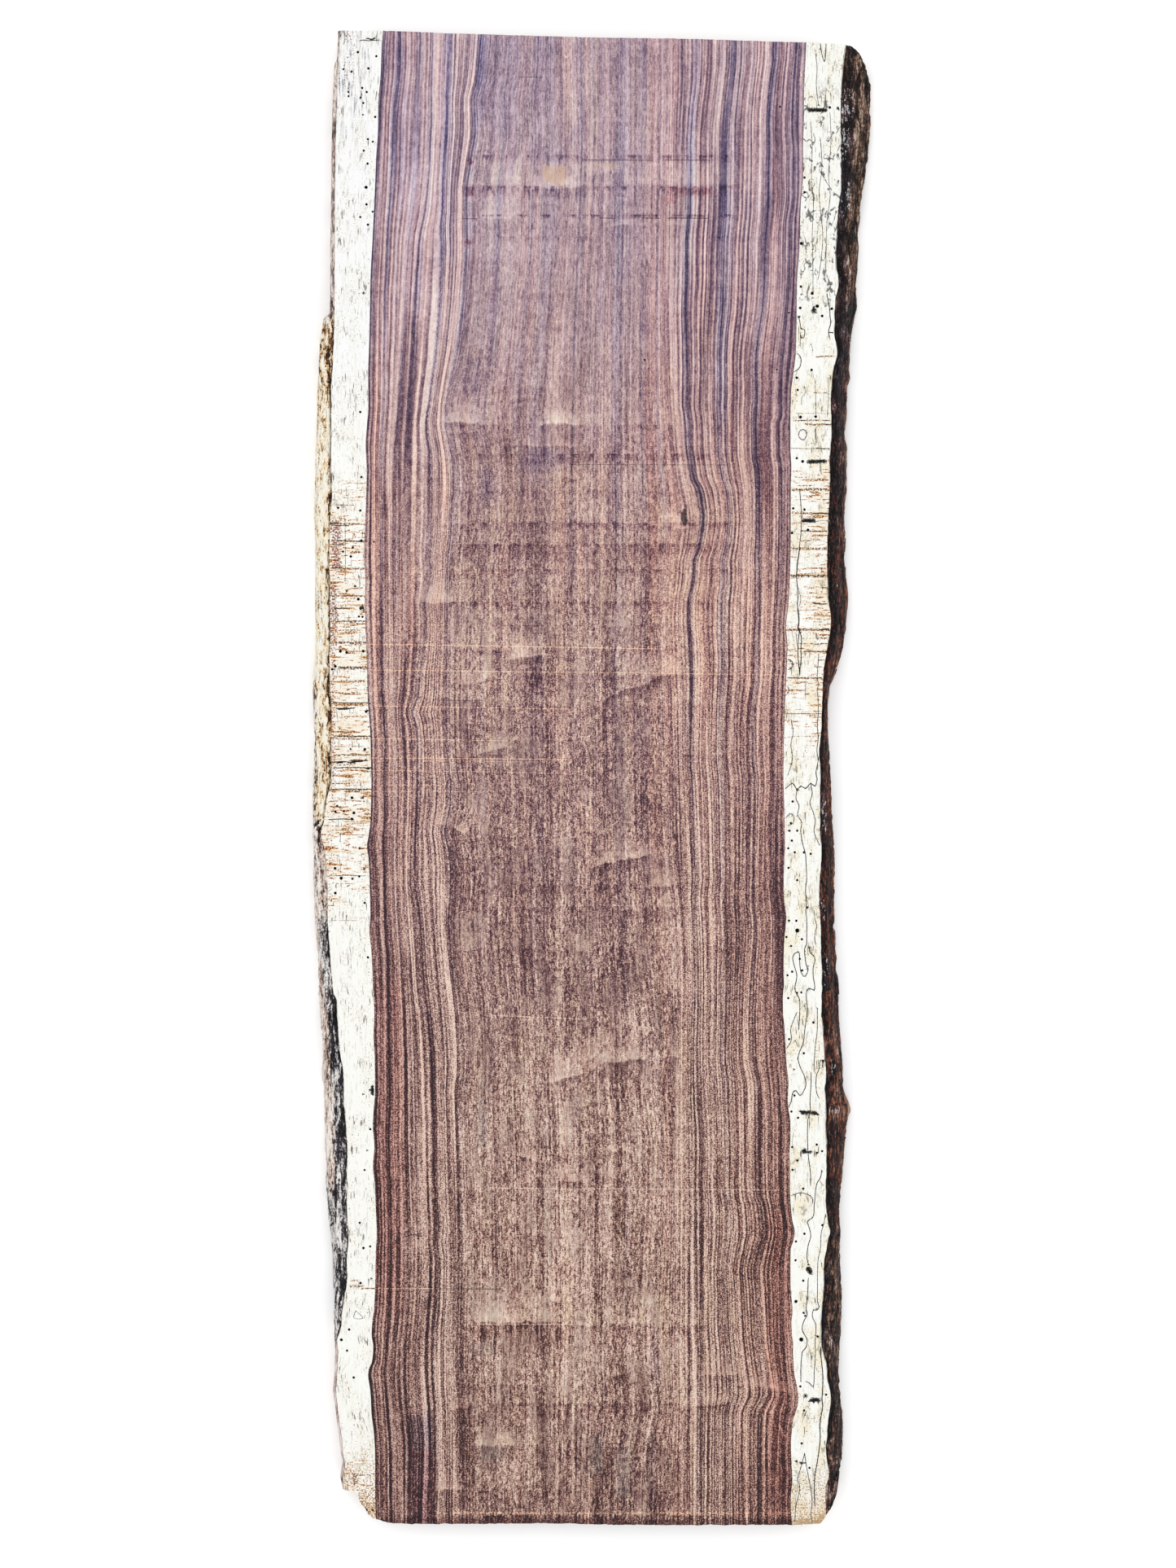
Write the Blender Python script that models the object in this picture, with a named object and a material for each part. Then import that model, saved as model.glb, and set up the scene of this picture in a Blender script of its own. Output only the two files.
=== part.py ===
"""Live edge slab of hardwood: one plank sawn through and through from a trunk,
flat on both sawn faces, with the natural curved edge and its bark left on.

Frame: metres, +Z up. The slab lies on its wide sawn face. X runs across it
(heartwood in the middle, sapwood and bark at both edges), Y runs along the
grain. The origin is the middle of the box that holds it, on the underside.
"""

import bmesh
import bpy
from mathutils import Vector, noise

# ---------------------------------------------------------------- dimensions
THICKNESS = 0.054        # between the two sawn faces
STATIONS = 88            # cross-sections along the grain
BARK_LIP = 0.0012        # how far the bark's upper rim sits below the sawn face
BARK_ROUGHNESS = 0.0016  # height of the lumps on the bark
GAP_WIDTH = 0.0018       # crack between the sapwood and the loose inner bark
GAP_DEPTH = 0.016        # deepest part of that crack
GAP_FROM, GAP_TO = -0.020, 0.520   # the stretch of the left edge where it opens
GAP_FADE = 0.060         # length over which the crack closes at its ends
CLOSED_GAP = 0.0005      # the shallow line that is left where it is closed

MM = 0.001

# Outline in plan, in millimetres: (distance along the grain, distance across).
# "rim" is the edge of the flat upper face, where the sapwood ends.
# "brow" is the furthest reach of the bark below it.
LEFT_RIM = [
    (918, -310), (855, -313), (755, -316), (595, -317), (517, -318), (415, -320),
    (315, -322), (145, -323), (0, -321), (-40, -325), (-67, -332), (-92, -328),
    (-156, -325), (-205, -323), (-265, -317), (-307, -312), (-361, -306),
    (-472, -301), (-565, -299), (-637, -304), (-694, -313), (-745, -315),
    (-812, -308), (-866, -306), (-918, -304),
]
LEFT_BROW = [
    (918, -314), (864, -319), (795, -322), (595, -324), (575, -327), (565, -333),
    (534, -337), (455, -340), (386, -343), (335, -344), (215, -342), (137, -344),
    (95, -345), (61, -344), (-59, -345), (-161, -343), (-223, -338), (-290, -336),
    (-334, -333), (-419, -330), (-505, -329), (-543, -325), (-601, -320),
    (-685, -319), (-745, -319), (-812, -312), (-866, -310), (-918, -308),
]
RIGHT_RIM = [
    (918, 311), (845, 306), (725, 305), (668, 300), (608, 303), (546, 297),
    (523, 300), (495, 295), (415, 293), (355, 291), (279, 288), (193, 292),
    (148, 287), (75, 282), (30, 278), (-65, 280), (-154, 278), (-254, 281),
    (-321, 285), (-373, 286), (-450, 288), (-521, 286), (-558, 292),
    (-601, 285), (-652, 282), (-720, 287), (-765, 292), (-825, 287),
    (-857, 290), (-918, 287),
]
RIGHT_BROW = [
    (918, 347), (878, 346), (775, 343), (753, 340), (725, 335), (677, 330),
    (590, 328), (546, 322), (495, 319), (464, 317), (425, 314), (355, 315),
    (310, 314), (221, 318), (175, 313), (148, 307), (126, 300), (112, 294),
    (75, 292), (25, 295), (-65, 300), (-172, 300), (-223, 302), (-250, 306),
    (-303, 307), (-367, 311), (-413, 317), (-439, 316), (-521, 309),
    (-583, 308), (-661, 310), (-723, 307), (-765, 308), (-808, 311), (-918, 311),
]

# The two cross-cut ends: (distance across, distance along the grain). The
# upper end runs a little out of square. One corner of the lower end has
# crumbled away, and the bark is worn back at both right-hand corners.
FAR_END = [
    (-345, 917), (-258, 917), (-122, 912), (15, 909), (192, 905), (263, 902),
    (308, 901), (318, 898), (330, 892), (340, 881), (346, 870),
]
NEAR_END = [
    (-345, -862), (-306, -875), (-295, -877), (-287, -883), (-283, -892),
    (-277, -902), (-267, -910), (-242, -916), (-217, -917), (-10, -917),
    (110, -918), (250, -918), (280, -917), (287, -912), (295, -900),
    (303, -888), (308, -868), (312, -850),
]

# Section of the bark: (share of the way from rim to brow, share of the
# thickness). It leaves the upper face as a rough shoulder and is fullest low
# down, because the upper face lies nearer to the bark of the round trunk.
RIGHT_SECTION = [(0.22, 0.955), (0.50, 0.84), (0.78, 0.60), (0.95, 0.36), (1.00, 0.18), (0.93, 0.0)]
LEFT_SECTION = [(0.90, 0.0), (1.00, 0.20), (0.97, 0.45), (0.88, 0.72), (0.74, 0.90)]

# Columns of the two flat faces, measured in from the rims, so that the crumbled
# corner of the lower end is followed by upright strips.
FLAT_LEFT = [0.012, 0.024, 0.034, 0.060]
FLAT_MIDDLE = [0.33, 0.66]
FLAT_RIGHT = [0.030, 0.010]


# ------------------------------------------------------------------- helpers
def curve(points, at):
    """Smooth curve through a falling or rising list of (position, value) in mm."""
    pts = sorted((a * MM, b * MM) for a, b in points)
    if at <= pts[0][0]:
        return pts[0][1]
    if at >= pts[-1][0]:
        return pts[-1][1]
    slopes = []
    for i in range(len(pts)):
        a, b = pts[max(i - 1, 0)], pts[min(i + 1, len(pts) - 1)]
        slopes.append((b[1] - a[1]) / (b[0] - a[0]))
    i = max(k for k in range(len(pts) - 1) if pts[k][0] <= at)
    (x0, y0), (x1, y1) = pts[i], pts[i + 1]
    h = x1 - x0
    t = (at - x0) / h
    chord = (y1 - y0) / h
    m0 = max(min(slopes[i], 3 * abs(chord)), -3 * abs(chord)) * h
    m1 = max(min(slopes[i + 1], 3 * abs(chord)), -3 * abs(chord)) * h
    return (
        y0 * (2 * t**3 - 3 * t**2 + 1)
        + m0 * (t**3 - 2 * t**2 + t)
        + y1 * (3 * t**2 - 2 * t**3)
        + m1 * (t**3 - t**2)
    )


def smoothstep(a, b, x):
    t = max(0.0, min(1.0, (x - a) / (b - a)))
    return t * t * (3 - 2 * t)


def gap_share(y):
    """0 where the crack on the left edge is closed, 1 where it is fully open."""
    return smoothstep(GAP_FROM - GAP_FADE, GAP_FROM, y) * (
        1 - smoothstep(GAP_TO, GAP_TO + GAP_FADE, y)
    )


def lump(x, y, z):
    """Height of the bark's own relief at a point, in metres."""
    p = Vector((x, y, z))
    return BARK_ROUGHNESS * (
        0.65 * noise.noise(p * 26.0) + 0.35 * noise.noise(p * 61.0 + Vector((7.1, 3.3, 1.9)))
    )


def section_at(y):
    """The slab's cross-section at one place along the grain, as (x, z) going
    round from the left rim across the top, down the right bark, back across
    the underside and up the left bark."""
    left, right = curve(LEFT_RIM, y), curve(RIGHT_RIM, y)
    left_brow, right_brow = curve(LEFT_BROW, y), curve(RIGHT_BROW, y)
    width = right - left
    columns = (
        [left + d for d in FLAT_LEFT]
        + [left + share * width for share in FLAT_MIDDLE]
        + [right - d for d in FLAT_RIGHT]
    )
    points = [(left, THICKNESS)]
    points += [(x, THICKNESS) for x in columns]
    points += [(right, THICKNESS), (right + 0.0008, THICKNESS - 2 * BARK_LIP)]
    for share, height in RIGHT_SECTION:
        x = right + share * (right_brow - right)
        z = min(height * THICKNESS, THICKNESS - BARK_LIP)
        if height > 0:
            x += lump(x, y, z)
        points.append((x, z))
    points += [(x, 0.0) for x in reversed(columns)]
    reach = left - left_brow
    for share, height in LEFT_SECTION:
        x = left - share * reach
        z = height * THICKNESS
        if height > 0:
            x += lump(x, y, z) * min(1.0, reach / 0.012)
        points.append((x, z))
    opening = gap_share(y)
    gap = CLOSED_GAP + (min(GAP_WIDTH, 0.3 * reach) - CLOSED_GAP) * opening
    deep = THICKNESS - 2 * BARK_LIP - (GAP_DEPTH - 2 * BARK_LIP) * opening
    points += [
        (left - max(0.40 * reach, gap + 0.0006), THICKNESS - 1.6 * BARK_LIP),
        (left - gap - 0.0003, THICKNESS - BARK_LIP),
        (left - 0.7 * gap - 0.0003, deep),
        (left - 0.0003, deep),
    ]
    return points, len(columns)


# ------------------------------------------------------------------ the slab
def slab_mesh():
    mesh = bmesh.new()
    rings = []
    columns = 0
    for k in range(STATIONS + 1):
        share = k / STATIONS
        nominal = 0.917 - 1.834 * share
        points, columns = section_at(nominal)
        ring = []
        for i in range(len(points)):
            x, y = points[i][0], nominal
            for _ in range(4):
                y = (1 - share) * curve(FAR_END, x) + share * curve(NEAR_END, x)
                x = section_at(y)[0][i][0]
            ring.append(mesh.verts.new((x, y, points[i][1])))
        rings.append(ring)
    n = len(rings[0])
    for a, b in zip(rings, rings[1:]):
        for i in range(n):
            j = (i + 1) % n
            mesh.faces.new((a[i], a[j], b[j], b[i]))
    # Each cut end: upright strips between the two flat faces, and one polygon
    # at each side that takes in the bark.
    first_top, last_top = 1, columns
    right_side = columns + 1 + 1 + len(RIGHT_SECTION)
    first_bottom = right_side + 1
    last_bottom = first_bottom + columns - 1
    for ring in (rings[0], rings[-1]):
        for c in range(columns - 1):
            top_a, top_b = ring[first_top + c], ring[first_top + c + 1]
            low_a, low_b = ring[last_bottom - c], ring[last_bottom - c - 1]
            mesh.faces.new((top_a, top_b, low_b, low_a))
        mesh.faces.new([ring[i] for i in range(last_top, first_bottom + 1)])
        mesh.faces.new(
            [ring[i] for i in range(last_bottom, n)] + [ring[0], ring[first_top]]
        )
    bmesh.ops.triangulate(mesh, faces=mesh.faces[:])
    bmesh.ops.recalc_face_normals(mesh, faces=mesh.faces[:])
    # The origin goes to the middle of the box, on the underside.
    xs = [v.co.x for v in mesh.verts]
    ys = [v.co.y for v in mesh.verts]
    middle = Vector(((min(xs) + max(xs)) / 2, (min(ys) + max(ys)) / 2, 0.0))
    for v in mesh.verts:
        v.co -= middle
    data = bpy.data.meshes.new("slab")
    mesh.to_mesh(data)
    mesh.free()
    return data


def wood():
    """Oiled heartwood colour, for the plain model."""
    material = bpy.data.materials.new("slab_wood")
    material.use_nodes = True
    shader = material.node_tree.nodes["Principled BSDF"]
    shader.inputs["Base Color"].default_value = (0.33, 0.20, 0.18, 1.0)
    shader.inputs["Roughness"].default_value = 0.6
    shader.inputs["Metallic"].default_value = 0.0
    return material


for old in list(bpy.data.objects):
    bpy.data.objects.remove(old, do_unlink=True)

slab = bpy.data.objects.new("slab", slab_mesh())
bpy.context.scene.collection.objects.link(slab)
slab.data.materials.append(wood())
slab.data.set_sharp_from_angle(angle=0.6)
for polygon in slab.data.polygons:
    polygon.use_smooth = True
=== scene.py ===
"""Looks of the live edge slab: sawn top and underside with figured heartwood,
pale sapwood bored by beetles and drawn over with dark fungus lines, cross-cut
ends, and the bark left on both long edges.

Plan positions below are written in sheet millimetres: `px` runs from left to
right across the slab and `py` runs down its length, as on a drawing sheet.
"""

import math

import bpy
import numpy as np
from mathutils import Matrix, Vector, geometry


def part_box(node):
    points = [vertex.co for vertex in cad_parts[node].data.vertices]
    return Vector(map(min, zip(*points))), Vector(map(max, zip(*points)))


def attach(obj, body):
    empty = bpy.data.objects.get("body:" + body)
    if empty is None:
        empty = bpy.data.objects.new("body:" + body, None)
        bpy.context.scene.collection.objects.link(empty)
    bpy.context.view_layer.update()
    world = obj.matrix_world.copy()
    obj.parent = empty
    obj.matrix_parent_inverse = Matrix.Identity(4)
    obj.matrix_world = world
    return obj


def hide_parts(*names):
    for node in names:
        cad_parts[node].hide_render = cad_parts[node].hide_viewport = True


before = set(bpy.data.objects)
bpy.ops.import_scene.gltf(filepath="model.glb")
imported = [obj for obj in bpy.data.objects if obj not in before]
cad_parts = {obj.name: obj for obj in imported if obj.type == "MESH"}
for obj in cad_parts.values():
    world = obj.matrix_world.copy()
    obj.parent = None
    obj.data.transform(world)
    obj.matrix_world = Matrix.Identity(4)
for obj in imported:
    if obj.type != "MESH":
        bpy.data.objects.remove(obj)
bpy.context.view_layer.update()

THICK = float(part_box("slab")[1].z) * 1000.0  # mm
SHEET_X, SHEET_Y = 728.15, 955.23  # the sheet point over the frame's origin
EYE_X, EYE_Y, EYE_H = 722.5, 963.0, 3400.0  # the sheet point that is seen square on
PITH_X, PITH_DOWN = 712.0, 130.0  # the trunk's middle lies below the upper face

rng = np.random.default_rng(20260)


# =====================================================================
# number helpers
# =====================================================================
def lattice(ix, iy, iz, seed):
    h = (ix * 374761393 + iy * 668265263 + iz * 1274126177 + seed * 2246822519) & 0xFFFFFFFF
    h = ((h ^ (h >> 15)) * 2246822519) & 0xFFFFFFFF
    h = ((h ^ (h >> 13)) * 3266489917) & 0xFFFFFFFF
    return ((h ^ (h >> 16)) & 0xFFFFFF) / 16777215.0


def vnoise(x, y, z=0.0, seed=0):
    """Smooth value noise, 0 to 1."""
    x, y, z = np.broadcast_arrays(
        np.asarray(x, float), np.asarray(y, float), np.asarray(z, float)
    )
    xi, yi, zi = (np.floor(a).astype(np.int64) for a in (x, y, z))
    fx, fy, fz = x - xi, y - yi, z - zi
    fx, fy, fz = (f * f * (3 - 2 * f) for f in (fx, fy, fz))
    out = np.zeros(x.shape)
    for dx in (0, 1):
        for dy in (0, 1):
            for dz in (0, 1):
                w = (fx if dx else 1 - fx) * (fy if dy else 1 - fy) * (fz if dz else 1 - fz)
                out += w * lattice(xi + dx, yi + dy, zi + dz, seed)
    return out


def fbm(x, y, z=0.0, seed=0, octaves=4, gain=0.5):
    total, size, norm = 0.0, 1.0, 0.0
    for o in range(octaves):
        k = 2.03**o
        total = total + size * (2 * vnoise(np.asarray(x) * k, np.asarray(y) * k, np.asarray(z) * k, seed + 17 * o) - 1)
        norm += size
        size *= gain
    return total / norm


def ridge(x, y, z=0.0, seed=0):
    return 1 - np.abs(2 * vnoise(x, y, z, seed) - 1) * 2


def smooth(a, b, x):
    t = np.clip((np.asarray(x, float) - a) / (b - a), 0, 1)
    return t * t * (3 - 2 * t)


def pchip(points):
    """Smooth curve without overshoot through (position, value) pairs."""
    p = np.array(sorted(points), float)
    x, y = p[:, 0], p[:, 1]
    keep = np.concatenate([[True], np.diff(x) > 1e-6])
    x, y = x[keep], y[keep]
    h = np.diff(x)
    d = np.diff(y) / h
    m = np.zeros(len(x))
    same = d[:-1] * d[1:] > 0
    with np.errstate(divide="ignore", invalid="ignore"):
        m[1:-1] = np.where(same, 2 * d[:-1] * d[1:] / (d[:-1] + d[1:]), 0)
    m[0], m[-1] = d[0], d[-1]

    def value(q):
        q = np.clip(np.asarray(q, float), x[0], x[-1])
        i = np.clip(np.searchsorted(x, q) - 1, 0, len(x) - 2)
        t = (q - x[i]) / h[i]
        return (
            y[i] * (2 * t**3 - 3 * t**2 + 1)
            + h[i] * m[i] * (t**3 - 2 * t**2 + t)
            + y[i + 1] * (3 * t**2 - 2 * t**3)
            + h[i] * m[i + 1] * (t**3 - t**2)
        )

    return value


def down(points):
    """A line given as (px, py) pairs, as a function px(py)."""
    return pchip([(py, px) for px, py in points])


def across(points):
    """A line given as (px, py) pairs, as a function py(px)."""
    return pchip([(px, py) for px, py in points])


def xyz(px, py, z_mm):
    """Sheet millimetres and height to metres in the part's frame."""
    px, py, z = np.broadcast_arrays(np.asarray(px, float), np.asarray(py, float), np.asarray(z_mm, float))
    return np.stack([(px - SHEET_X) / 1000, (SHEET_Y - py) / 1000, z / 1000], axis=-1)


def spread(value, eye, depth):
    """Where a point really is that looks to be at `value` and lies `depth` mm down."""
    return eye + (value - eye) * (1 + depth / EYE_H)


# =====================================================================
# outlines in sheet millimetres
# =====================================================================
LEFT_HEART = down([
    (470.7, 38), (469, 58), (468.2, 77), (467.8, 89), (465.5, 118), (464.7, 135), (464.4, 160),
    (462.3, 192), (460.5, 237), (457.9, 291), (455.2, 344), (454.3, 390), (453.2, 431), (452.3, 458),
    (452.5, 500), (451, 520), (449.2, 547), (450.5, 578), (449.6, 620), (448.7, 645), (447.4, 680),
    (449, 716), (448.3, 740), (449.2, 774), (451, 818), (451.9, 860), (453.2, 876), (455, 902),
    (455.9, 938), (456.3, 960), (455.4, 1005), (452.8, 1027), (451, 1039), (453.2, 1058), (454.6, 1100),
    (455, 1125), (453.7, 1142), (456.3, 1169), (458.6, 1220), (459.9, 1245), (459, 1271), (460.4, 1298),
    (460.8, 1340), (459, 1365), (458, 1381), (460, 1410), (458.2, 1430), (460.8, 1460), (461.7, 1485),
    (463, 1516), (461.7, 1538), (461.3, 1560), (460.8, 1582), (459.5, 1610), (457.7, 1621), (456.6, 1640),
    (458.6, 1654), (457.2, 1672), (453.2, 1682), (452.3, 1689.5), (453.7, 1700), (455.3, 1712),
    (456.5, 1737), (459.7, 1763), (461, 1795), (461, 1827), (461.6, 1865), (462, 1880),
])
RIGHT_HEART = down([
    (990.7, 54), (989, 89), (987.8, 118), (987.8, 146), (986.8, 180), (986.8, 216), (985.7, 232),
    (984, 250), (982.8, 287), (981.4, 320), (980, 333), (979.2, 356), (978.8, 391), (977.9, 432),
    (974.7, 460), (972, 482), (971.2, 514), (971.2, 549), (972.3, 574), (971.6, 600), (971.6, 654),
    (971.2, 689), (969, 740), (965.8, 771), (967.6, 794), (966.7, 820), (964, 880), (962.7, 951),
    (964.5, 1020), (964.5, 1038), (963.4, 1065), (963, 1082), (964, 1109), (966.3, 1127), (965, 1140),
    (963.4, 1160), (962.7, 1196), (963.4, 1208), (962, 1224), (962.2, 1245), (963.6, 1258), (964.9, 1280),
    (966, 1300), (967.1, 1313), (968.9, 1329.5), (968, 1350), (968.9, 1362), (971.2, 1379), (971.2, 1398),
    (970.3, 1416), (970.7, 1440), (970.7, 1462), (971.6, 1480), (973.4, 1498), (976.5, 1513), (974.3, 1526),
    (971.6, 1534), (971.2, 1556), (971.4, 1580), (973.8, 1611), (972.5, 1623), (973.4, 1642), (974.7, 1651),
    (974.3, 1660), (975.2, 1674), (976, 1687), (978.8, 1700), (980.5, 1710), (981, 1720), (978.4, 1733),
    (974.6, 1744), (973, 1758), (971.9, 1774), (972.5, 1796), (973.6, 1818), (971.9, 1835), (971.4, 1850),
    (973, 1871), (973, 1885),
])
LEFT_RIM = down([
    (418, 37), (415, 100), (412, 200), (411, 360), (410.8, 393), (409.5, 438), (407.7, 467), (407.2, 480),
    (407.2, 594), (408.6, 604), (405.9, 640), (405, 680), (405.4, 707), (405.9, 740), (406.3, 782),
    (405, 809), (407.7, 885), (407.2, 910), (407.7, 938), (406.8, 960), (400.5, 987), (397.9, 1010),
    (394.3, 1022), (399.6, 1047), (401.4, 1076), (402.8, 1111), (402.8, 1125), (405, 1160), (406.8, 1187),
    (410.4, 1220), (413.9, 1229), (415.7, 1262), (418.4, 1298), (422, 1316), (422.9, 1356), (425.5, 1382),
    (426.9, 1427), (426.4, 1460), (426.9, 1494), (428.7, 1520), (426.4, 1547), (426.9, 1569), (423.8, 1591),
    (422, 1603), (420, 1618), (419.7, 1628), (415.9, 1640), (414.6, 1649), (415.4, 1658), (413.6, 1700),
    (412.7, 1705.5), (415, 1728.5), (418.2, 1754), (420, 1767), (422, 1788), (424.2, 1798.6),
    (421.6, 1820), (424, 1830.5), (424.5, 1840),
])
LEFT_OUT = down([
    (417.3, 37), (417, 60), (416.2, 72), (412.7, 78), (412, 91), (410.4, 123), (409.8, 160), (408.6, 250),
    (407.5, 360), (407, 382), (404, 386), (399, 389.5), (398.3, 396), (394.7, 421), (393.4, 449), (392, 500),
    (390.7, 525), (388.9, 569), (388, 620), (388.9, 645), (389.8, 689), (389.4, 740), (389.8, 800),
    (387.6, 818), (386.7, 836), (386.3, 860), (387.6, 894), (387, 960), (386.7, 1014), (388, 1058),
    (388.9, 1116), (390.7, 1151), (393.4, 1178), (394.3, 1220), (395.6, 1245), (397.9, 1289), (400, 1340),
    (401.4, 1374), (402.3, 1418), (402.3, 1460), (404, 1474), (405.9, 1498), (409.5, 1520), (411.7, 1556),
    (412, 1580), (413.5, 1605), (413.4, 1640), (414, 1658), (412.4, 1700), (411.6, 1705.5), (414, 1728.5),
    (417.2, 1754), (419.1, 1767), (421.1, 1788), (423.2, 1798.6), (420.4, 1820), (422.8, 1830.5), (423.3, 1840),
])
RIGHT_RIM = down([
    (1038.6, 54), (1035, 80), (1033, 110), (1032.8, 180), (1033.2, 230), (1030, 254), (1027.4, 287), (1026, 320),
    (1030.5, 347), (1026, 370), (1024.7, 409), (1028.3, 432), (1022.5, 460), (1020.3, 496), (1021.6, 515),
    (1020.7, 540), (1019, 567), (1019, 600), (1017, 645), (1016.3, 676), (1016.3, 735), (1018, 742),
    (1020.7, 762), (1018.9, 780), (1014.5, 807), (1011.8, 825), (1009.6, 880), (1008, 907), (1006.4, 925),
    (1007.8, 947), (1007.3, 1020), (1008.7, 1040), (1008.7, 1057), (1007.3, 1078), (1006.4, 1091),
    (1006.4, 1109), (1007.3, 1118), (1008.2, 1136), (1008.7, 1160), (1008.2, 1178), (1009.6, 1191),
    (1009.6, 1214), (1009, 1240), (1010, 1258), (1011.8, 1276), (1013, 1300), (1014.9, 1312), (1014.5, 1327),
    (1012.7, 1337), (1013.6, 1350), (1014, 1362), (1014, 1398), (1015.4, 1405), (1015, 1425), (1015.4, 1440),
    (1014, 1458), (1014, 1476), (1015.8, 1494), (1018, 1507), (1020.2, 1513), (1017, 1523), (1015.4, 1534),
    (1013.6, 1543), (1012.2, 1556), (1011.5, 1580), (1009.6, 1607), (1007.8, 1625), (1008.2, 1638),
    (1009.5, 1655), (1015, 1676), (1016.3, 1696), (1019, 1707), (1020.7, 1720), (1018.6, 1736), (1016.4, 1758),
    (1014.8, 1780), (1016.4, 1796), (1018.6, 1812), (1014.4, 1828), (1014.2, 1845), (1014.6, 1858), (1013.5, 1870),
])
RIGHT_OUT = down([
    (1069.4, 87), (1068, 150), (1067, 180), (1064, 202), (1059, 230), (1056.4, 256), (1054.2, 278), (1055, 292),
    (1053.5, 320), (1052, 347), (1052.4, 365), (1050, 382), (1046, 409), (1043.5, 427), (1043, 460), (1039.5, 472),
    (1041.3, 491), (1038.6, 518), (1037.7, 530), (1039.9, 545), (1039, 572), (1039, 600), (1037.7, 645),
    (1038.6, 676), (1039.9, 707), (1041.7, 734), (1039, 762), (1036.8, 780), (1031.4, 807), (1024.3, 829),
    (1018, 843), (1015.8, 880), (1017, 907), (1018.9, 930), (1021.6, 951), (1022.5, 987), (1024.3, 1020),
    (1024.5, 1091), (1024.3, 1127), (1025.2, 1160), (1026.5, 1178), (1027.9, 1196), (1030.5, 1205), (1031.4, 1222),
    (1031, 1240), (1031.4, 1258), (1032.3, 1276), (1034, 1300), (1035, 1322), (1036.8, 1345), (1039, 1355),
    (1040.8, 1368), (1040.8, 1379), (1039.5, 1394), (1037.7, 1412), (1035.9, 1430), (1035, 1440), (1033.7, 1458),
    (1032.8, 1476), (1031.9, 1494), (1031.4, 1507), (1032.3, 1522), (1031.9, 1538), (1032.8, 1556), (1033.7, 1580),
    (1034, 1616), (1033.2, 1642), (1031.4, 1660), (1031, 1678), (1030.5, 1696), (1031.8, 1720), (1033.8, 1742),
    (1034.8, 1763), (1034.8, 1812), (1034.8, 1840),
])
TOP_END = across([
    (380, 36), (417, 37.2), (470, 37.8), (560, 41.2), (606, 42.4), (663, 44.1), (740, 46.2), (843, 47.6), (920, 50),
    (990.7, 52.1), (1015, 52.7), (1035.5, 53.9), (1041, 54.4), (1052.7, 60.2), (1060.7, 69.4), (1067.6, 79.7),
    (1069.5, 86), (1074, 92), (1090, 94),
])
LOW_END = across([
    (380, 1826), (423.4, 1830.5), (433.6, 1831.8), (441, 1838), (442.5, 1845.8), (449.5, 1853.5), (451.4, 1858.6),
    (461.6, 1866), (486, 1871.4), (511, 1871.8), (700, 1871.2), (720, 1872.3), (834, 1873.1), (975.5, 1873),
    (1006.6, 1871.3), (1012, 1866.4), (1016.4, 1860), (1020.7, 1854.5), (1025, 1847), (1029.4, 1837),
    (1031.6, 1826), (1034.8, 1812), (1040, 1808), (1060, 1806),
])

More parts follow.
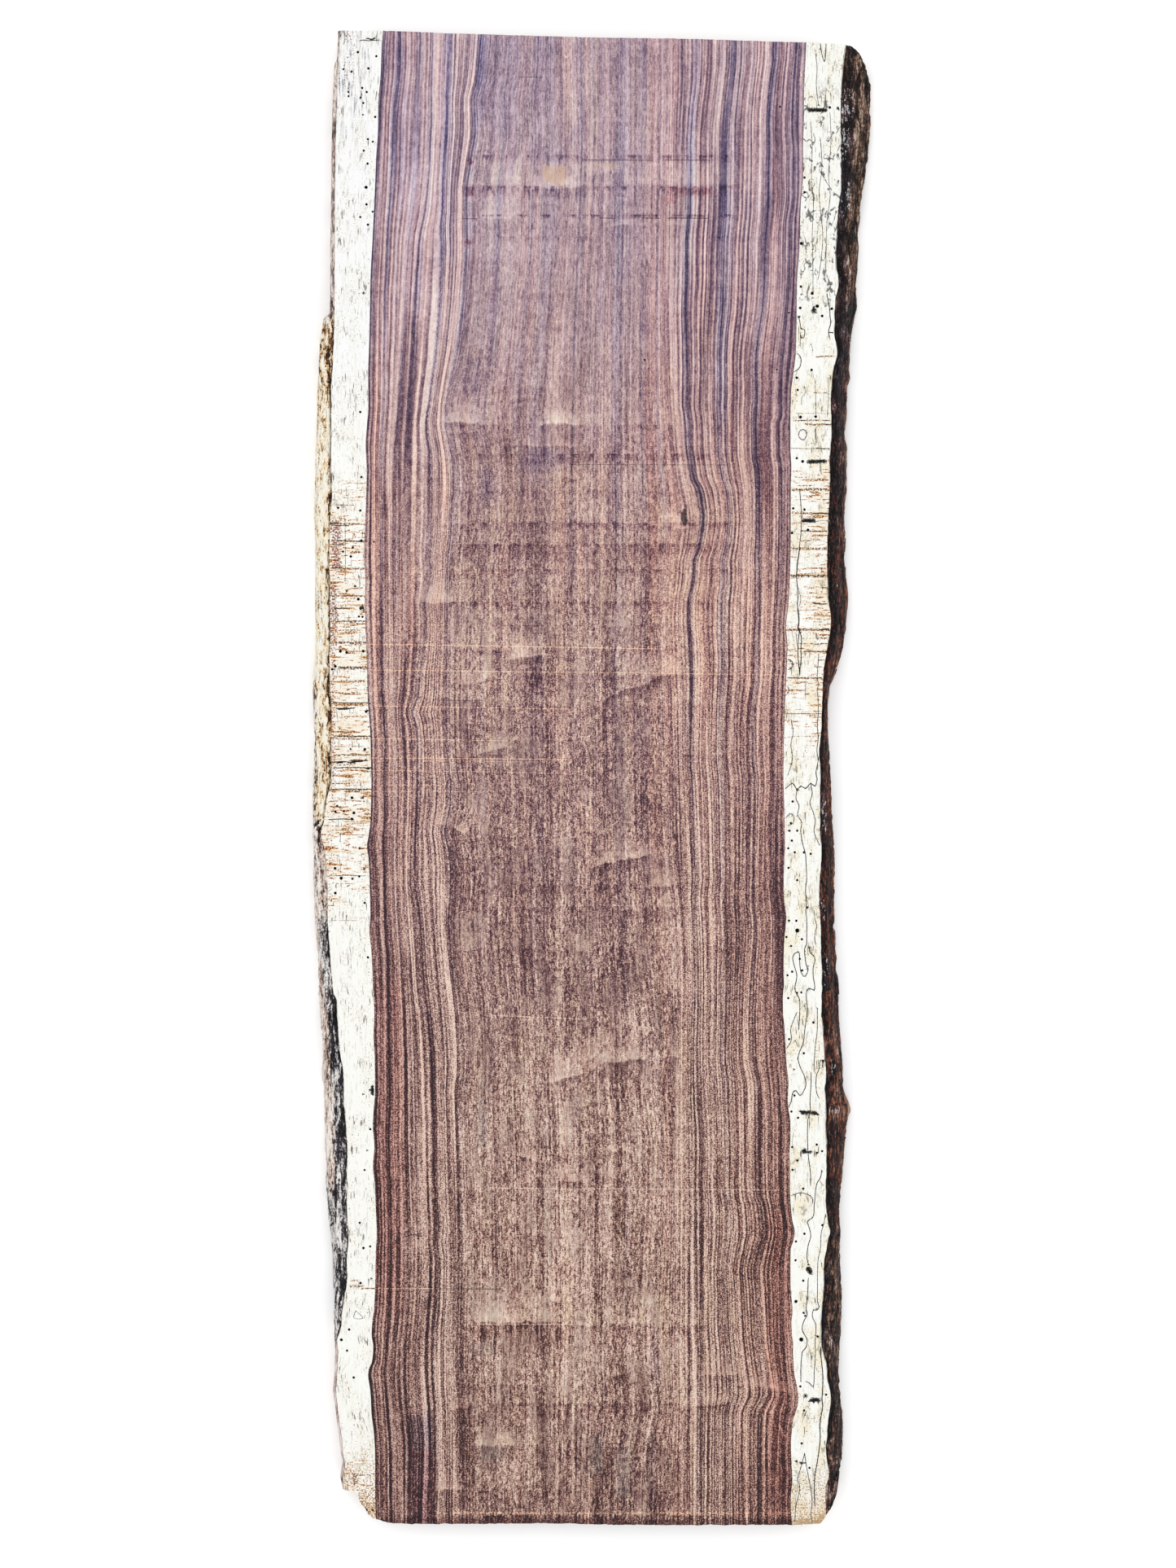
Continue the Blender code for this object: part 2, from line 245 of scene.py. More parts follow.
# The growth rings as they cross the upper face, each with the number that
# names it. Numbers run like millimetres across the middle of the slab.
HEART_FROM, HEART_TO = 456.0, 963.6
RINGS = [
    (472.0, down([
        (490.8, 41), (490.2, 66), (489.6, 89), (487.3, 112), (484.5, 135), (483.3, 158), (482.5, 184), (480.2, 237),
        (477.5, 273), (476.6, 309), (473.9, 353), (473, 380), (472, 440), (471, 494), (469.5, 529), (467.7, 583),
        (469.5, 654), (469.5, 700), (470.4, 807), (471, 843), (473, 879), (474, 914), (472, 960), (473, 1005),
        (471, 1031), (472, 1067), (473, 1112), (474.8, 1148), (477.5, 1183), (478, 1220), (479.3, 1309), (480, 1363),
        (478.4, 1399), (480, 1434), (481, 1534), (480, 1587), (478.4, 1623), (475.7, 1659), (474, 1685),
        (475.7, 1712), (480, 1780), (481, 1870),
    ])),
    (499.0, down([
        (531.5, 43), (529.3, 157), (527.5, 201), (522, 255), (515.9, 291), (512.3, 326), (509.6, 371), (505.5, 440),
        (502.5, 500), (499.5, 560), (498.5, 620), (497, 700), (497, 780), (495, 843), (492.5, 870), (494, 900),
        (498, 960), (496, 1040), (498, 1112), (503, 1183), (508, 1260), (512, 1363), (514, 1460), (517, 1534),
        (514, 1620), (510, 1659), (511, 1712), (516, 1780), (515, 1870),
    ])),
    (513.0, down([
        (550.5, 43), (549.9, 77), (549.3, 112), (548.2, 158), (547, 184), (545.4, 219), (544.5, 255), (542.7, 282),
        (543.6, 309), (541.8, 344), (540, 380), (535.5, 440), (532, 467), (529.3, 494), (525.7, 520), (526.6, 538),
        (529.3, 556), (530, 583), (529.3, 619), (527.5, 654), (525.7, 685), (527.5, 700), (524, 727), (520.4, 741),
        (522, 771), (521, 789), (518.6, 807), (515.9, 825), (514, 852), (510.5, 864), (506, 875), (510.5, 888),
        (513, 914), (513, 960), (510.5, 1031), (509.6, 1085), (514, 1112), (516.8, 1139), (520.4, 1201),
        (524.8, 1247), (529.3, 1300), (531, 1336), (532.9, 1372), (533.8, 1443), (534.6, 1480), (536.4, 1507),
        (533.8, 1525), (537.3, 1551), (537.3, 1587), (535.5, 1614), (532.9, 1641), (532.9, 1703), (534.6, 1730),
        (534.6, 1807), (533, 1868),
    ])),
    (554.0, down([
        (594, 42), (591, 77), (587.6, 100), (581.8, 123), (583, 158), (577.5, 199), (572, 240), (573, 290),
        (568, 371), (562, 420), (552, 470), (547, 505), (547, 520), (550.7, 540), (556, 574), (557, 601), (555, 619),
        (554, 654), (549, 700), (549, 754), (548, 867), (552, 950), (554, 960), (553.4, 987), (549, 1010),
        (547, 1022), (550.7, 1040), (554.3, 1076), (552.5, 1103), (550.7, 1130), (556, 1192), (562, 1235),
        (565, 1309), (561.4, 1345), (563, 1399), (565, 1470), (566, 1560), (564, 1660), (566, 1760), (566, 1870),
    ])),
    (690.0, down([
        (700, 44), (702, 160), (700, 250), (694, 371), (690, 480), (688, 600), (688, 760), (688, 900), (688, 1100),
        (690, 1280), (694, 1420), (695, 1600), (693, 1740), (692, 1870),
    ])),
    (795.0, down([
        (792, 46), (791, 160), (790, 300), (789, 480), (792, 640), (791, 800), (792, 960), (796, 1060), (800, 1150),
        (807, 1238), (811, 1280), (807, 1336), (810.7, 1372), (814, 1420), (811, 1520), (805, 1660), (811, 1730),
        (802, 1780), (800, 1870),
    ])),
    (828.0, down([
        (823, 48), (822, 160), (820, 300), (819, 440), (822, 520), (827, 580), (833, 640), (828, 700), (822, 760),
        (825, 860), (827, 960), (830, 1060), (836, 1130), (838, 1220), (836, 1354), (835, 1480), (834, 1600),
        (834, 1760), (833, 1870),
    ])),
    (850.0, down([
        (855.9, 49), (854.8, 89), (853, 112), (850.5, 135), (848, 176), (848, 222), (847, 260), (844.3, 296),
        (843.3, 352), (842.4, 389), (842.9, 440), (842, 494), (845.5, 520), (846.4, 547), (849, 565), (853.6, 588),
        (860.7, 601), (864.3, 619), (866, 635), (860.7, 670), (853.6, 690), (851.8, 718), (847.3, 736), (846.4, 762),
        (848, 789), (850, 825), (849, 896), (848, 932), (850, 960), (852.7, 1014), (855.4, 1076), (852.7, 1103),
        (854.5, 1139), (857, 1220), (855.4, 1291), (855.4, 1327), (859, 1390), (859.8, 1416), (858, 1452),
        (859, 1480), (859, 1632), (860.7, 1659), (860, 1870),
    ])),
    (927.7, down([
        (953.4, 52), (952.8, 72), (950.5, 89), (947, 118), (945.3, 146), (945, 186), (944, 222), (943.2, 260),
        (940.4, 297), (939.5, 343), (936.7, 380), (929.5, 440), (929.5, 485), (927.7, 520), (927.7, 556),
        (931.3, 583), (932, 619), (932, 654), (931, 690), (932, 700), (931, 771), (929.5, 834), (926.8, 861),
        (925, 896), (925, 932), (927.7, 960), (926.8, 1014), (925.9, 1067), (925.9, 1103), (928.6, 1139), (924, 1210),
        (923, 1265), (923, 1300), (929.5, 1336), (930.4, 1372), (930.4, 1443), (932, 1470), (935.7, 1480), (939, 1512),
        (934, 1534), (928.6, 1560), (931, 1587), (934, 1641), (937.5, 1668), (943, 1700), (944, 1712), (932, 1738),
        (932, 1863),
    ])),
    (955.0, down([
        (979.8, 54), (978, 77), (976.3, 100), (974.6, 158), (976.5, 185), (976.5, 241), (972, 278), (972, 333),
        (966, 420), (962.5, 467), (962.5, 511), (959, 520), (959, 556), (961.6, 574), (961, 689), (957, 789), (957, 825),
        (955, 834), (955, 960), (951.8, 1014), (951.8, 1085), (955, 1130), (955, 1174), (953, 1230), (957, 1320),
        (961, 1390), (961, 1470), (966, 1512), (962, 1560), (963, 1640), (966, 1690), (969, 1718), (965, 1745),
        (962, 1790), (962, 1870),
    ])),
]


def ring_number(px, py):
    """Which growth ring crosses the upper face there."""
    px, py = np.asarray(px, float), np.asarray(py, float)
    knots = [(HEART_FROM, LEFT_HEART(py))]
    knots += [(number, line(py)) for number, line in RINGS]
    knots += [(HEART_TO, RIGHT_HEART(py))]
    out = np.where(px < knots[0][1], HEART_FROM + (px - knots[0][1]), HEART_TO + (px - knots[-1][1]))
    for (na, xa), (nb, xb) in zip(knots, knots[1:]):
        inside = (px >= xa) & (px <= xb)
        t = (px - xa) / np.maximum(xb - xa, 0.5)
        out = np.where(inside, na + (nb - na) * t, out)
    return out


def ring_number_deep(px, py, depth):
    """The same below the upper face: the rings are round about the pith."""
    reach = depth * (2 * PITH_DOWN - depth)
    side = px - PITH_X
    q = side**2 - reach
    level = PITH_X + np.where(
        q > 0, np.sign(side) * np.sqrt(np.maximum(q, 0)), 0.6 * np.sqrt(np.maximum(-q, 0))
    )
    return ring_number(level, py)


# =====================================================================
# marks on the upper face: (kind, strength, half width, points)
# =====================================================================
# kinds: "ink" dark fungus line or crack, "org" rusty saw stain, "saw" pale
# cross scratch
LINES = []


def mark(kind, strength, half, *points):
    LINES.append((kind, strength, half, list(points)))


# pale scratches left by the saw, right across the heartwood
for y0, y1, x0, x1, power in [
    (668, 668.5, 525, 719, 0.35), (673, 673, 700, 896, 0.3), (703, 703.5, 467, 618, 0.4), (738, 738.5, 554, 690, 0.35),
    (738, 737.5, 730, 790, 0.3), (756, 756.5, 790, 900, 0.35), (767.5, 768, 440, 606, 0.45), (791, 797, 440, 807, 0.75),
    (823, 829, 454, 965, 0.6), (867, 871, 440, 703, 0.7), (907, 910, 440, 622, 0.6), (931, 933, 454, 704, 0.75),
    (934.5, 936, 520, 660, 0.5), (931, 931, 730, 791, 0.4), (946, 950, 454, 704, 0.55), (964, 965, 456, 540, 0.6),
    (972, 972.5, 456, 600, 0.5), (1088, 1088.5, 789, 843, 0.35), (1112, 1112.5, 750, 854, 0.3), (1129, 1129.5, 889, 966, 0.45),
    (1182, 1182, 744, 905, 0.3), (1241, 1247, 500, 640, 0.4), (1247, 1252, 595, 720, 0.85), (1250, 1250, 714, 814, 0.4),
    (1257, 1260, 825, 959, 0.35), (1272, 1272, 659, 690, 0.5), (1338, 1338, 630, 711, 0.4), (1459, 1461, 600, 720, 0.75),
    (1460, 1462, 720, 955, 0.75), (1517.5, 1518, 786, 914, 0.4), (1582.7, 1583.2, 461, 560, 0.9), (1583.2, 1584, 560, 685, 0.4),
    (1626.4, 1626.8, 585, 704, 0.8), (1594, 1594, 640, 700, 0.35), (1420, 1421, 640, 700, 0.3), (1560, 1561, 590, 650, 0.3),
    (560, 560.5, 700, 780, 0.3), (1700, 1701, 600, 680, 0.3),
]:
    middle = (x0 + x1) / 2
    mark("saw", power, 0.9, (x0, y0), (middle, (y0 + y1) / 2 - 0.2), (x1, y1))

# rusty and sooty bars across the sapwood, left edge
for y, x0, x1, half, power, soot in [
    (620.5, 413, 435, 0.8, 0.6, 0.3), (643, 402, 414, 1.6, 0.5, 0.9), (643.5, 414, 442, 1.0, 0.8, 0.25),
    (645.8, 408, 427, 0.8, 0.3, 0.55), (653, 420, 442, 0.9, 0.5, 0.0), (664, 405, 425, 0.9, 0.8, 0.35),
    (664.9, 424, 449, 0.9, 0.9, 0.55), (669.3, 412, 422, 0.9, 0.6, 0.6), (697.6, 403, 419, 0.9, 0.4, 0.9),
    (698.6, 418, 447, 1.7, 0.85, 0.0), (703.5, 421, 436, 1.2, 0.35, 0.1), (711, 418, 436, 0.7, 0.5, 0.1),
    (732.2, 405, 449, 1.0, 0.95, 0.35), (735, 420, 437, 1.2, 0.5, 0.0), (743.5, 416, 441, 2.2, 0.4, 0.0),
    (747.6, 413, 427, 1.2, 0.5, 0.85), (763.2, 407, 450, 1.2, 1.0, 0.3), (765.5, 430, 441, 1.2, 0.6, 0.0),
    (774, 418, 441, 0.9, 0.7, 0.0), (778, 415, 424, 1.2, 0.4, 0.1), (789.4, 411, 450, 1.6, 1.0, 0.25),
    (791.5, 433, 444, 1.4, 0.7, 0.0), (800.6, 414, 446, 0.6, 0.35, 0.0), (820.4, 417, 450, 2.2, 0.85, 0.35),
    (828, 417, 440, 3.0, 0.22, 0.0), (837, 420, 446, 1.9, 0.75, 0.0), (842, 435, 442, 0.9, 0.4, 0.1),
    (850.5, 434, 442, 0.8, 0.5, 0.2), (863.6, 409, 454, 1.0, 0.7, 0.55), (866, 412, 446, 1.6, 0.7, 0.0),
    (870.6, 415, 429, 1.4, 0.3, 1.0), (870, 431, 435, 1.3, 0.3, 1.0), (880.5, 418, 450, 1.2, 0.5, 0.1),
    (890, 417, 447, 6.0, 0.2, 0.0), (904.6, 409, 455, 0.9, 0.9, 0.5), (907.4, 413, 452, 1.6, 0.6, 0.0),
    (917.2, 414, 446, 0.9, 0.5, 0.15), (927.5, 408, 458, 1.2, 0.9, 0.25), (936, 412, 426, 0.9, 0.2, 0.8),
    (934.6, 431, 447, 1.2, 0.2, 1.0), (940, 414, 430, 1.2, 0.5, 0.2), (943.3, 409, 450, 0.9, 0.8, 0.45),
    (943.6, 450, 455.5, 1.2, 0.0, 1.0), (951, 420, 442, 1.4, 0.45, 0.0), (961, 425, 452, 2.6, 0.35, 0.0),
    (962.8, 409, 430, 0.8, 0.5, 0.35), (969.8, 404, 456, 0.9, 0.8, 0.55), (972.3, 425, 444, 1.6, 0.8, 0.0),
    (984, 406, 448, 0.9, 0.6, 0.15), (1006.7, 405, 434, 0.8, 0.3, 0.7), (1009, 424, 456, 1.5, 0.5, 0.0),
    (1020, 406, 442, 0.9, 0.45, 0.2), (1046, 402, 434, 1.2, 0.35, 0.05), (1057.5, 405, 433, 1.0, 0.3, 0.1),
    (1076, 401, 448, 0.8, 0.3, 0.35), (1092, 430, 444, 1.8, 0.4, 0.0), (1108, 405, 430, 0.8, 0.25, 0.2),
    (1131, 404, 440, 0.7, 0.25, 0.2), (1212, 414, 446, 0.7, 0.2, 0.1), (602, 412, 432, 0.7, 0.25, 0.15),
    (581, 411, 440, 0.6, 0.2, 0.1), (545, 410, 430, 0.6, 0.2, 0.1), (1582.8, 444, 461, 0.8, 0.8, 0.1),
    (1573, 432, 440, 1.4, 0.5, 0.2), (1580, 430, 446, 2.4, 0.45, 0.2), (1812, 441, 458, 0.8, 0.9, 0.1),
]:
    wave = 0.35 * math.sin(y * 1.7)
    if power > 0:
        mark("org", min(1.0, power * 1.25), half * 1.5, (x0, y + wave), ((x0 + x1) / 2, y - wave), (x1, y + wave * 0.5))
    if soot > 0:
        mark("ink", soot, max(0.8, half * 0.7), (x0, y - 0.3 + wave), ((x0 + x1) / 2, y - 0.5 - wave), (x1, y - 0.2))

# the same on the right edge
for y, x0, x1, half, power, soot in [
    (438, 1004, 1028, 1.2, 0.5, 0.35), (482.5, 1001, 1020, 1.0, 0.5, 0.2), (508, 978, 1020, 0.7, 0.2, 0.25),
    (516.6, 977, 1021, 1.0, 0.6, 0.35), (521.5, 990, 1014, 1.3, 0.75, 0.2), (521.5, 1012, 1024, 1.2, 0.5, 0.8),
    (551, 972, 1005, 0.9, 0.3, 0.35), (551, 1004, 1019, 1.0, 0.4, 0.75), (601.5, 974, 1019, 1.7, 0.8, 0.3),
    (630.3, 974, 1000, 1.4, 0.7, 0.15), (631, 999, 1018, 1.6, 0.5, 0.7), (652.5, 985, 1017, 1.3, 0.5, 0.55),
    (664, 988, 1010, 1.1, 0.6, 0.0), (674, 973, 1017, 1.5, 0.8, 0.25), (707.5, 972, 1017, 1.8, 0.85, 0.4),
    (721, 988, 1011, 1.0, 0.5, 0.0), (722, 1010, 1017, 1.4, 0.5, 0.5), (742, 985, 1002, 0.8, 0.3, 0.15),
    (742, 1001, 1018, 1.3, 0.4, 0.8), (755, 1001, 1017, 2.4, 0.5, 0.05), (764, 1000, 1010, 0.9, 0.3, 0.3),
    (773.5, 967, 1021, 1.7, 0.75, 0.25), (773.5, 1009, 1020, 1.8, 0.3, 0.85), (784, 1003, 1018, 1.4, 0.7, 0.25),
    (791.5, 996, 1010, 0.8, 0.1, 0.4), (800, 968, 979, 0.9, 0.5, 0.1), (800.5, 988, 1017, 1.1, 0.4, 0.65),
    (811, 1005, 1015, 1.2, 0.4, 0.3), (819.3, 1004, 1013, 0.8, 0.9, 0.0), (833, 968, 1011, 1.3, 0.6, 0.45),
    (877, 967, 1010, 0.9, 0.35, 0.4), (905, 968, 1006, 0.7, 0.25, 0.25), (930, 970, 1005, 0.7, 0.2, 0.2),
    (694, 1008, 1016, 0.8, 0.3, 0.3), (688, 990, 1012, 1.0, 0.2, 0.05), (535, 1010, 1020, 0.8, 0.15, 0.2),
    (640, 1004, 1016, 1.2, 0.15, 0.3), (730, 1008, 1017, 1.2, 0.35, 0.1), (1058, 1000, 1008, 0.8, 0.4, 0.1),
]:
    wave = 0.35 * math.sin(y * 2.3)
    mark("org", min(1.0, power * 1.25), half * 1.6, (x0, y + wave), ((x0 + x1) / 2, y - wave), (x1, y + wave * 0.5))
    if soot > 0:
        mark("ink", soot * 0.85, max(0.8, half * 0.7), (x0, y - 0.3 + wave), ((x0 + x1) / 2, y - 0.4 - wave), (x1, y - 0.2))

# dark fungus lines in the right sapwood
for power, half, points in [
    (0.75, 0.7, [(1008, 53.6), (1009, 63), (1013, 76), (1014.5, 66), (1015, 54)]),
    (0.55, 0.6, [(1002, 66), (1004, 84), (1003, 104), (1005.5, 128)]),
    (0.5, 0.6, [(996, 150), (998, 180), (997, 214), (999.5, 250), (998, 290), (998.8, 320), (999, 357)]),
    (0.55, 0.6, [(1008, 170), (1010, 205), (1006.5, 236), (1008.5, 262), (1011, 290), (1008.5, 322), (1005.5, 342)]),
    (0.5, 0.6, [(1020, 140), (1021, 175), (1018, 215), (1020, 240), (1016, 275), (1014.8, 322), (1013, 344)]),
    (0.75, 0.8, [(1016, 361), (1018, 372), (1019.5, 380), (1020, 390), (1021, 396), (1019, 403), (1018, 408), (1019, 414)]),
    (0.9, 0.9, [(1018, 408.5), (1025, 408.5)]),
    (0.65, 0.7, [(982, 391), (983.5, 400), (984, 405), (988, 403.6), (989, 409), (987, 416), (984, 414), (983.2, 409)]),
    (0.6, 0.6, [(983.5, 413), (983, 425)]),
    (0.7, 0.7, [(979.5, 434), (983.5, 438), (984.2, 445), (982, 452.5), (976, 456.5)]),
    (0.4, 0.5, [(997, 424), (999, 430), (998, 433)]),
    (0.45, 0.6, [(1001.5, 466), (1002, 482), (1002.5, 500), (1002.3, 510)]),
    (0.45, 0.6, [(1017.5, 465), (1018, 484), (1017, 505), (1016.5, 512)]),
    (0.4, 0.6, [(988.5, 475), (989.8, 483), (985.5, 487), (984.8, 496)]),
    (0.55, 0.7, [(981, 534), (983.4, 528.3), (987.5, 527.4), (991.2, 531), (990.8, 536), (987.2, 540.6), (983, 539), (981, 534)]),
    (0.35, 0.6, [(1007.3, 567), (1007.7, 579)]),
    (0.7, 0.7, [(982.6, 600), (983.4, 612), (984.4, 624), (985, 640), (984.2, 655), (983, 665), (982.3, 675)]),
    (0.9, 1.0, [(982.3, 675), (981, 685), (979.6, 692), (979.4, 698), (978.7, 708)]),
    (0.75, 0.8, [(978.7, 708), (979.8, 722), (980.5, 735), (979.6, 741), (981, 751)]),
    (0.45, 0.6, [(981, 722), (984, 737), (982.5, 744)]),
    (1.0, 1.1, [(981, 751), (981.6, 765), (980.5, 771), (983, 776.5)]),
    (0.75, 0.8, [(982.2, 776), (981, 786), (980.4, 800), (981.4, 816), (982.6, 827)]),
    (0.75, 0.8, [(983, 776.5), (985, 785), (984, 796), (984.4, 808), (983.2, 820), (982.6, 829)]),
    (0.7, 0.7, [(968.3, 810), (972, 811), (974.2, 815), (972.5, 821), (968.6, 822.5)]),
    (0.5, 0.6, [(967.5, 843), (969.5, 846), (968.5, 851.5), (966.5, 853)]),
    (0.55, 0.7, [(1006, 803), (1004.6, 825), (1004.2, 835), (1006.2, 840), (1004, 847), (1005, 855), (1005.5, 876)]),
    (0.45, 0.6, [(990.2, 836), (989.4, 856)]),
    (0.7, 0.7, [(1005.5, 877), (1004.3, 892), (1005.4, 906), (1003.8, 921), (1005.2, 934), (1002.6, 949), (1004.2, 957)]),
    (0.5, 0.7, [(972, 884), (974.5, 899), (971.8, 915), (973.8, 930), (970.2, 946), (968, 952)]),
    (0.75, 0.75, [(966, 968), (974, 962), (979.5, 970), (984, 965), (990, 969), (996, 962), (1001.5, 966), (1004.2, 957)]),
    (0.7, 0.7, [(979.5, 970), (978, 981), (982, 990), (980, 1001), (985, 1010), (983.7, 1020)]),
    (0.65, 0.7, [(996, 962), (998.2, 975), (995, 986), (998.6, 996), (1001.8, 1008), (1000.2, 1021), (1004.6, 1033), (1007.8, 1040)]),
    (0.6, 0.7, [(966.2, 1004), (971, 999), (975.6, 1003), (974.6, 1011), (969, 1014)]),
    (0.7, 0.75, [(983.7, 1020), (985.9, 1035), (989.5, 1048.6), (990.4, 1060), (991.2, 1081), (989.9, 1090), (990.4, 1105),
                 (990.8, 1114), (989.9, 1120), (991.2, 1127), (991.2, 1160)]),
    (0.6, 0.7, [(1001.5, 1130), (1003.7, 1137), (1001.5, 1147), (1001, 1154), (1002.4, 1160)]),
    (0.7, 0.75, [(991.2, 1160), (988.6, 1165), (989.5, 1178), (991, 1187), (993.2, 1190), (990.8, 1197.5), (988.6, 1200),
                 (984.6, 1195), (983, 1187), (982.3, 1173), (981.4, 1168.5), (978.3, 1170), (974.3, 1174), (974.3, 1180),
                 (977, 1189.5), (979.2, 1199), (976.5, 1214), (977.9, 1219), (982.3, 1227), (982.8, 1240), (982.3, 1251),
                 (981.4, 1264.5)]),
    (0.6, 0.7, [(978.8, 1244), (971.6, 1263.6), (972.5, 1274), (971.6, 1280), (967, 1287)]),
    (0.7, 0.75, [(994.4, 1166), (995.7, 1171), (1000.2, 1174), (1001.5, 1181), (999.3, 1187), (999.3, 1200), (1001, 1210),
                 (1000.6, 1217), (997.5, 1215), (993, 1214), (990.8, 1222), (992, 1240), (990.4, 1254), (988.6, 1267),
                 (986.8, 1282), (982.3, 1292), (980.5, 1300)]),
    (0.6, 0.7, [(1004.2, 1240), (1004.2, 1265), (1002, 1283), (1000.6, 1300), (1000.2, 1315)]),
    (0.7, 0.75, [(980, 1300), (983.7, 1312), (987.7, 1320), (990.4, 1331), (988.6, 1338), (983.4, 1346), (980.5, 1343),
                 (977.4, 1339), (973.8, 1343), (972.5, 1352), (970, 1358)]),
    (0.7, 0.75, [(996.6, 1318), (996.6, 1330), (995.3, 1354), (995.7, 1366), (992.6, 1376), (992.6, 1412), (994.5, 1430),
                 (996, 1442), (996, 1455)]),
    (0.6, 0.7, [(1013, 1303), (1008, 1302), (1006.4, 1313), (1003.8, 1319), (1002.4, 1331), (1003.8, 1343), (1006.4, 1349)]),
    (0.7, 0.75, [(1009.5, 1440), (1008, 1447), (1004.5, 1452), (1002.5, 1460), (1000.5, 1480), (999, 1495), (992, 1500),
                 (994, 1507), (996, 1515), (996, 1520), (993, 1530), (991.5, 1545), (993, 1552)]),
    (0.5, 0.7, [(1007.5, 1451), (1013, 1458)]),
    (0.6, 0.7, [(974, 1468), (983, 1465), (992, 1467), (998, 1471), (998.5, 1478)]),
    (0.55, 0.7, [(1014.6, 1490), (1012.5, 1502), (1009, 1515), (1008, 1535), (1005.5, 1545), (1004.5, 1562), (1004.5, 1580)]),
    (0.7, 0.75, [(993, 1572), (992.4, 1588), (990.5, 1607), (992, 1615), (988, 1622), (985.5, 1632), (987, 1637),
                 (991.5, 1645), (990.5, 1655), (986, 1660), (985, 1668), (984, 1680), (984, 1697)]),
    (0.65, 0.7, [(1004.5, 1584), (1004.5, 1600), (1006.5, 1605), (1003.5, 1610), (1000, 1608), (998, 1615), (999, 1620),
                 (1002.5, 1627), (1001.5, 1650), (1002, 1662), (1000.5, 1685), (1000, 1700), (999, 1704), (995, 1699),
                 (990.5, 1697)]),
    (0.85, 0.9, [(1008.4, 1652), (1008.7, 1665), (1010.9, 1687), (1010.9, 1705), (1010, 1720), (1011, 1726), (1007.7, 1748),
                 (1007.7, 1769), (1003.4, 1801), (1001.2, 1812), (1000.7, 1834), (1001.2, 1850)]),
    (0.6, 0.7, [(988.7, 1785), (986, 1796), (982.2, 1809), (980, 1818), (982.8, 1826), (981, 1838), (977.9, 1850), (976.8, 1868)]),
    (0.6, 0.7, [(988.7, 1785), (990.9, 1801), (994.7, 1821), (998, 1843), (996.3, 1861), (998, 1869)]),
    (0.9, 1.0, [(985.5, 1797), (990, 1797)]),
    # left sapwood
    (0.8, 0.7, [(443, 49.6), (448, 49.0), (453, 50.2), (459, 49.2), (465, 49.8)]), (0.7, 1.2, [(452, 47.2), (456, 48.4), (460, 47.0)]),
    (0.35, 0.6, [(444.5, 664.9), (446, 650)]),
    (0.45, 0.6, [(418.5, 1023), (418, 1033)]),
    (0.4, 0.6, [(437, 1610), (446, 1619), (434.5, 1619), (437, 1610)]),
    (0.35, 0.7, [(424, 640), (424.5, 690), (424, 712)]),
    (0.3, 0.7, [(416, 1050), (418, 1062), (418.5, 1072)]),
    # fine shake in the heartwood
    (0.55, 0.5, [(825, 524), (818, 551), (814, 579), (808, 610), (801, 638)]),
    (0.45, 0.5, [(700.7, 1031), (700.9, 1100), (700.5, 1174)]),
    (0.35, 0.5, [(814.3, 870), (814.6, 923)]),
    (0.5, 0.8, [(702.5, 1723), (695, 1745), (690, 1771), (688, 1807)]),
]:
    mark("ink", power, half, *points)

# smooth pale strokes of the figure, partly a painted sheen, and dark speckled ones, partly painted shade
for kind, power, half, points in [
    ("drk", 0.45, 9, [(742, 872), (741, 884), (739, 902)]), ("drk", 0.3, 14, [(800, 672), (840, 664), (860, 654)]),
    ("pal", 0.8, 8, [(814, 637), (824, 634), (833, 636)]), ("drk", 0.4, 14, [(852, 560), (858, 590), (872, 606)]),
    ("drk", 0.4, 12, [(560, 880), (575, 915), (560, 950)]), ("drk", 0.45, 13, [(588, 1230), (600, 1265), (590, 1300)]),
    ("drk", 0.4, 12, [(560, 1150), (566, 1190), (574, 1240)]), ("drk", 0.35, 14, [(640, 1160), (640, 1230), (630, 1290)]),
    ("gry", 0.6, 7, [(590, 1354), (592, 1380), (590, 1404)]), ("ink", 0.7, 1.2, [(499, 1519), (508, 1516.5), (518, 1519)]),
    ("gry", 0.35, 12, [(700, 340), (708, 420), (706, 470)]), ("gry", 0.3, 12, [(700, 480), (702, 520)]),
    ("blu", 0.45, 8, [(655, 60), (650, 130), (632, 190), (612, 250), (606, 330)]),
    ("blu", 0.4, 7, [(706, 160), (698, 182), (690, 200)]), ("pal", 0.5, 9, [(620, 232), (640, 196), (652, 170), (668, 150)]),
    ("pal", 0.4, 8, [(600, 262), (618, 236), (636, 222)]), ("blu", 0.35, 6, [(612, 280), (610, 370), (608, 470)]),
    ("drk", 0.5, 6, [(704, 1722), (696, 1742), (691, 1768)]),
]:
    mark(kind, power, half, *points)
# the knot and its pale eye
mark("ink", 1.0, 4.6, (840.6, 629.5), (840, 635), (842, 642))
for x0, y0 in [(508, 1072), (509.5, 1079), (507.5, 1087), (517, 1315), (571, 1547.5), (595, 1549), (602, 1561), (673, 1547),
               (663, 1592), (652, 1686), (562, 1835), (681, 1857), (930, 1577), (918, 1637), (961, 1757), (984.3, 91),
               (989, 90), (959, 816), (695, 70), (752, 1548), (640, 1290), (664, 1338), (905, 1668), (888, 1530)]:
    mark("saw", 1.0, 1.5, (x0, y0 - 0.8), (x0 + 0.5, y0 + 0.9))
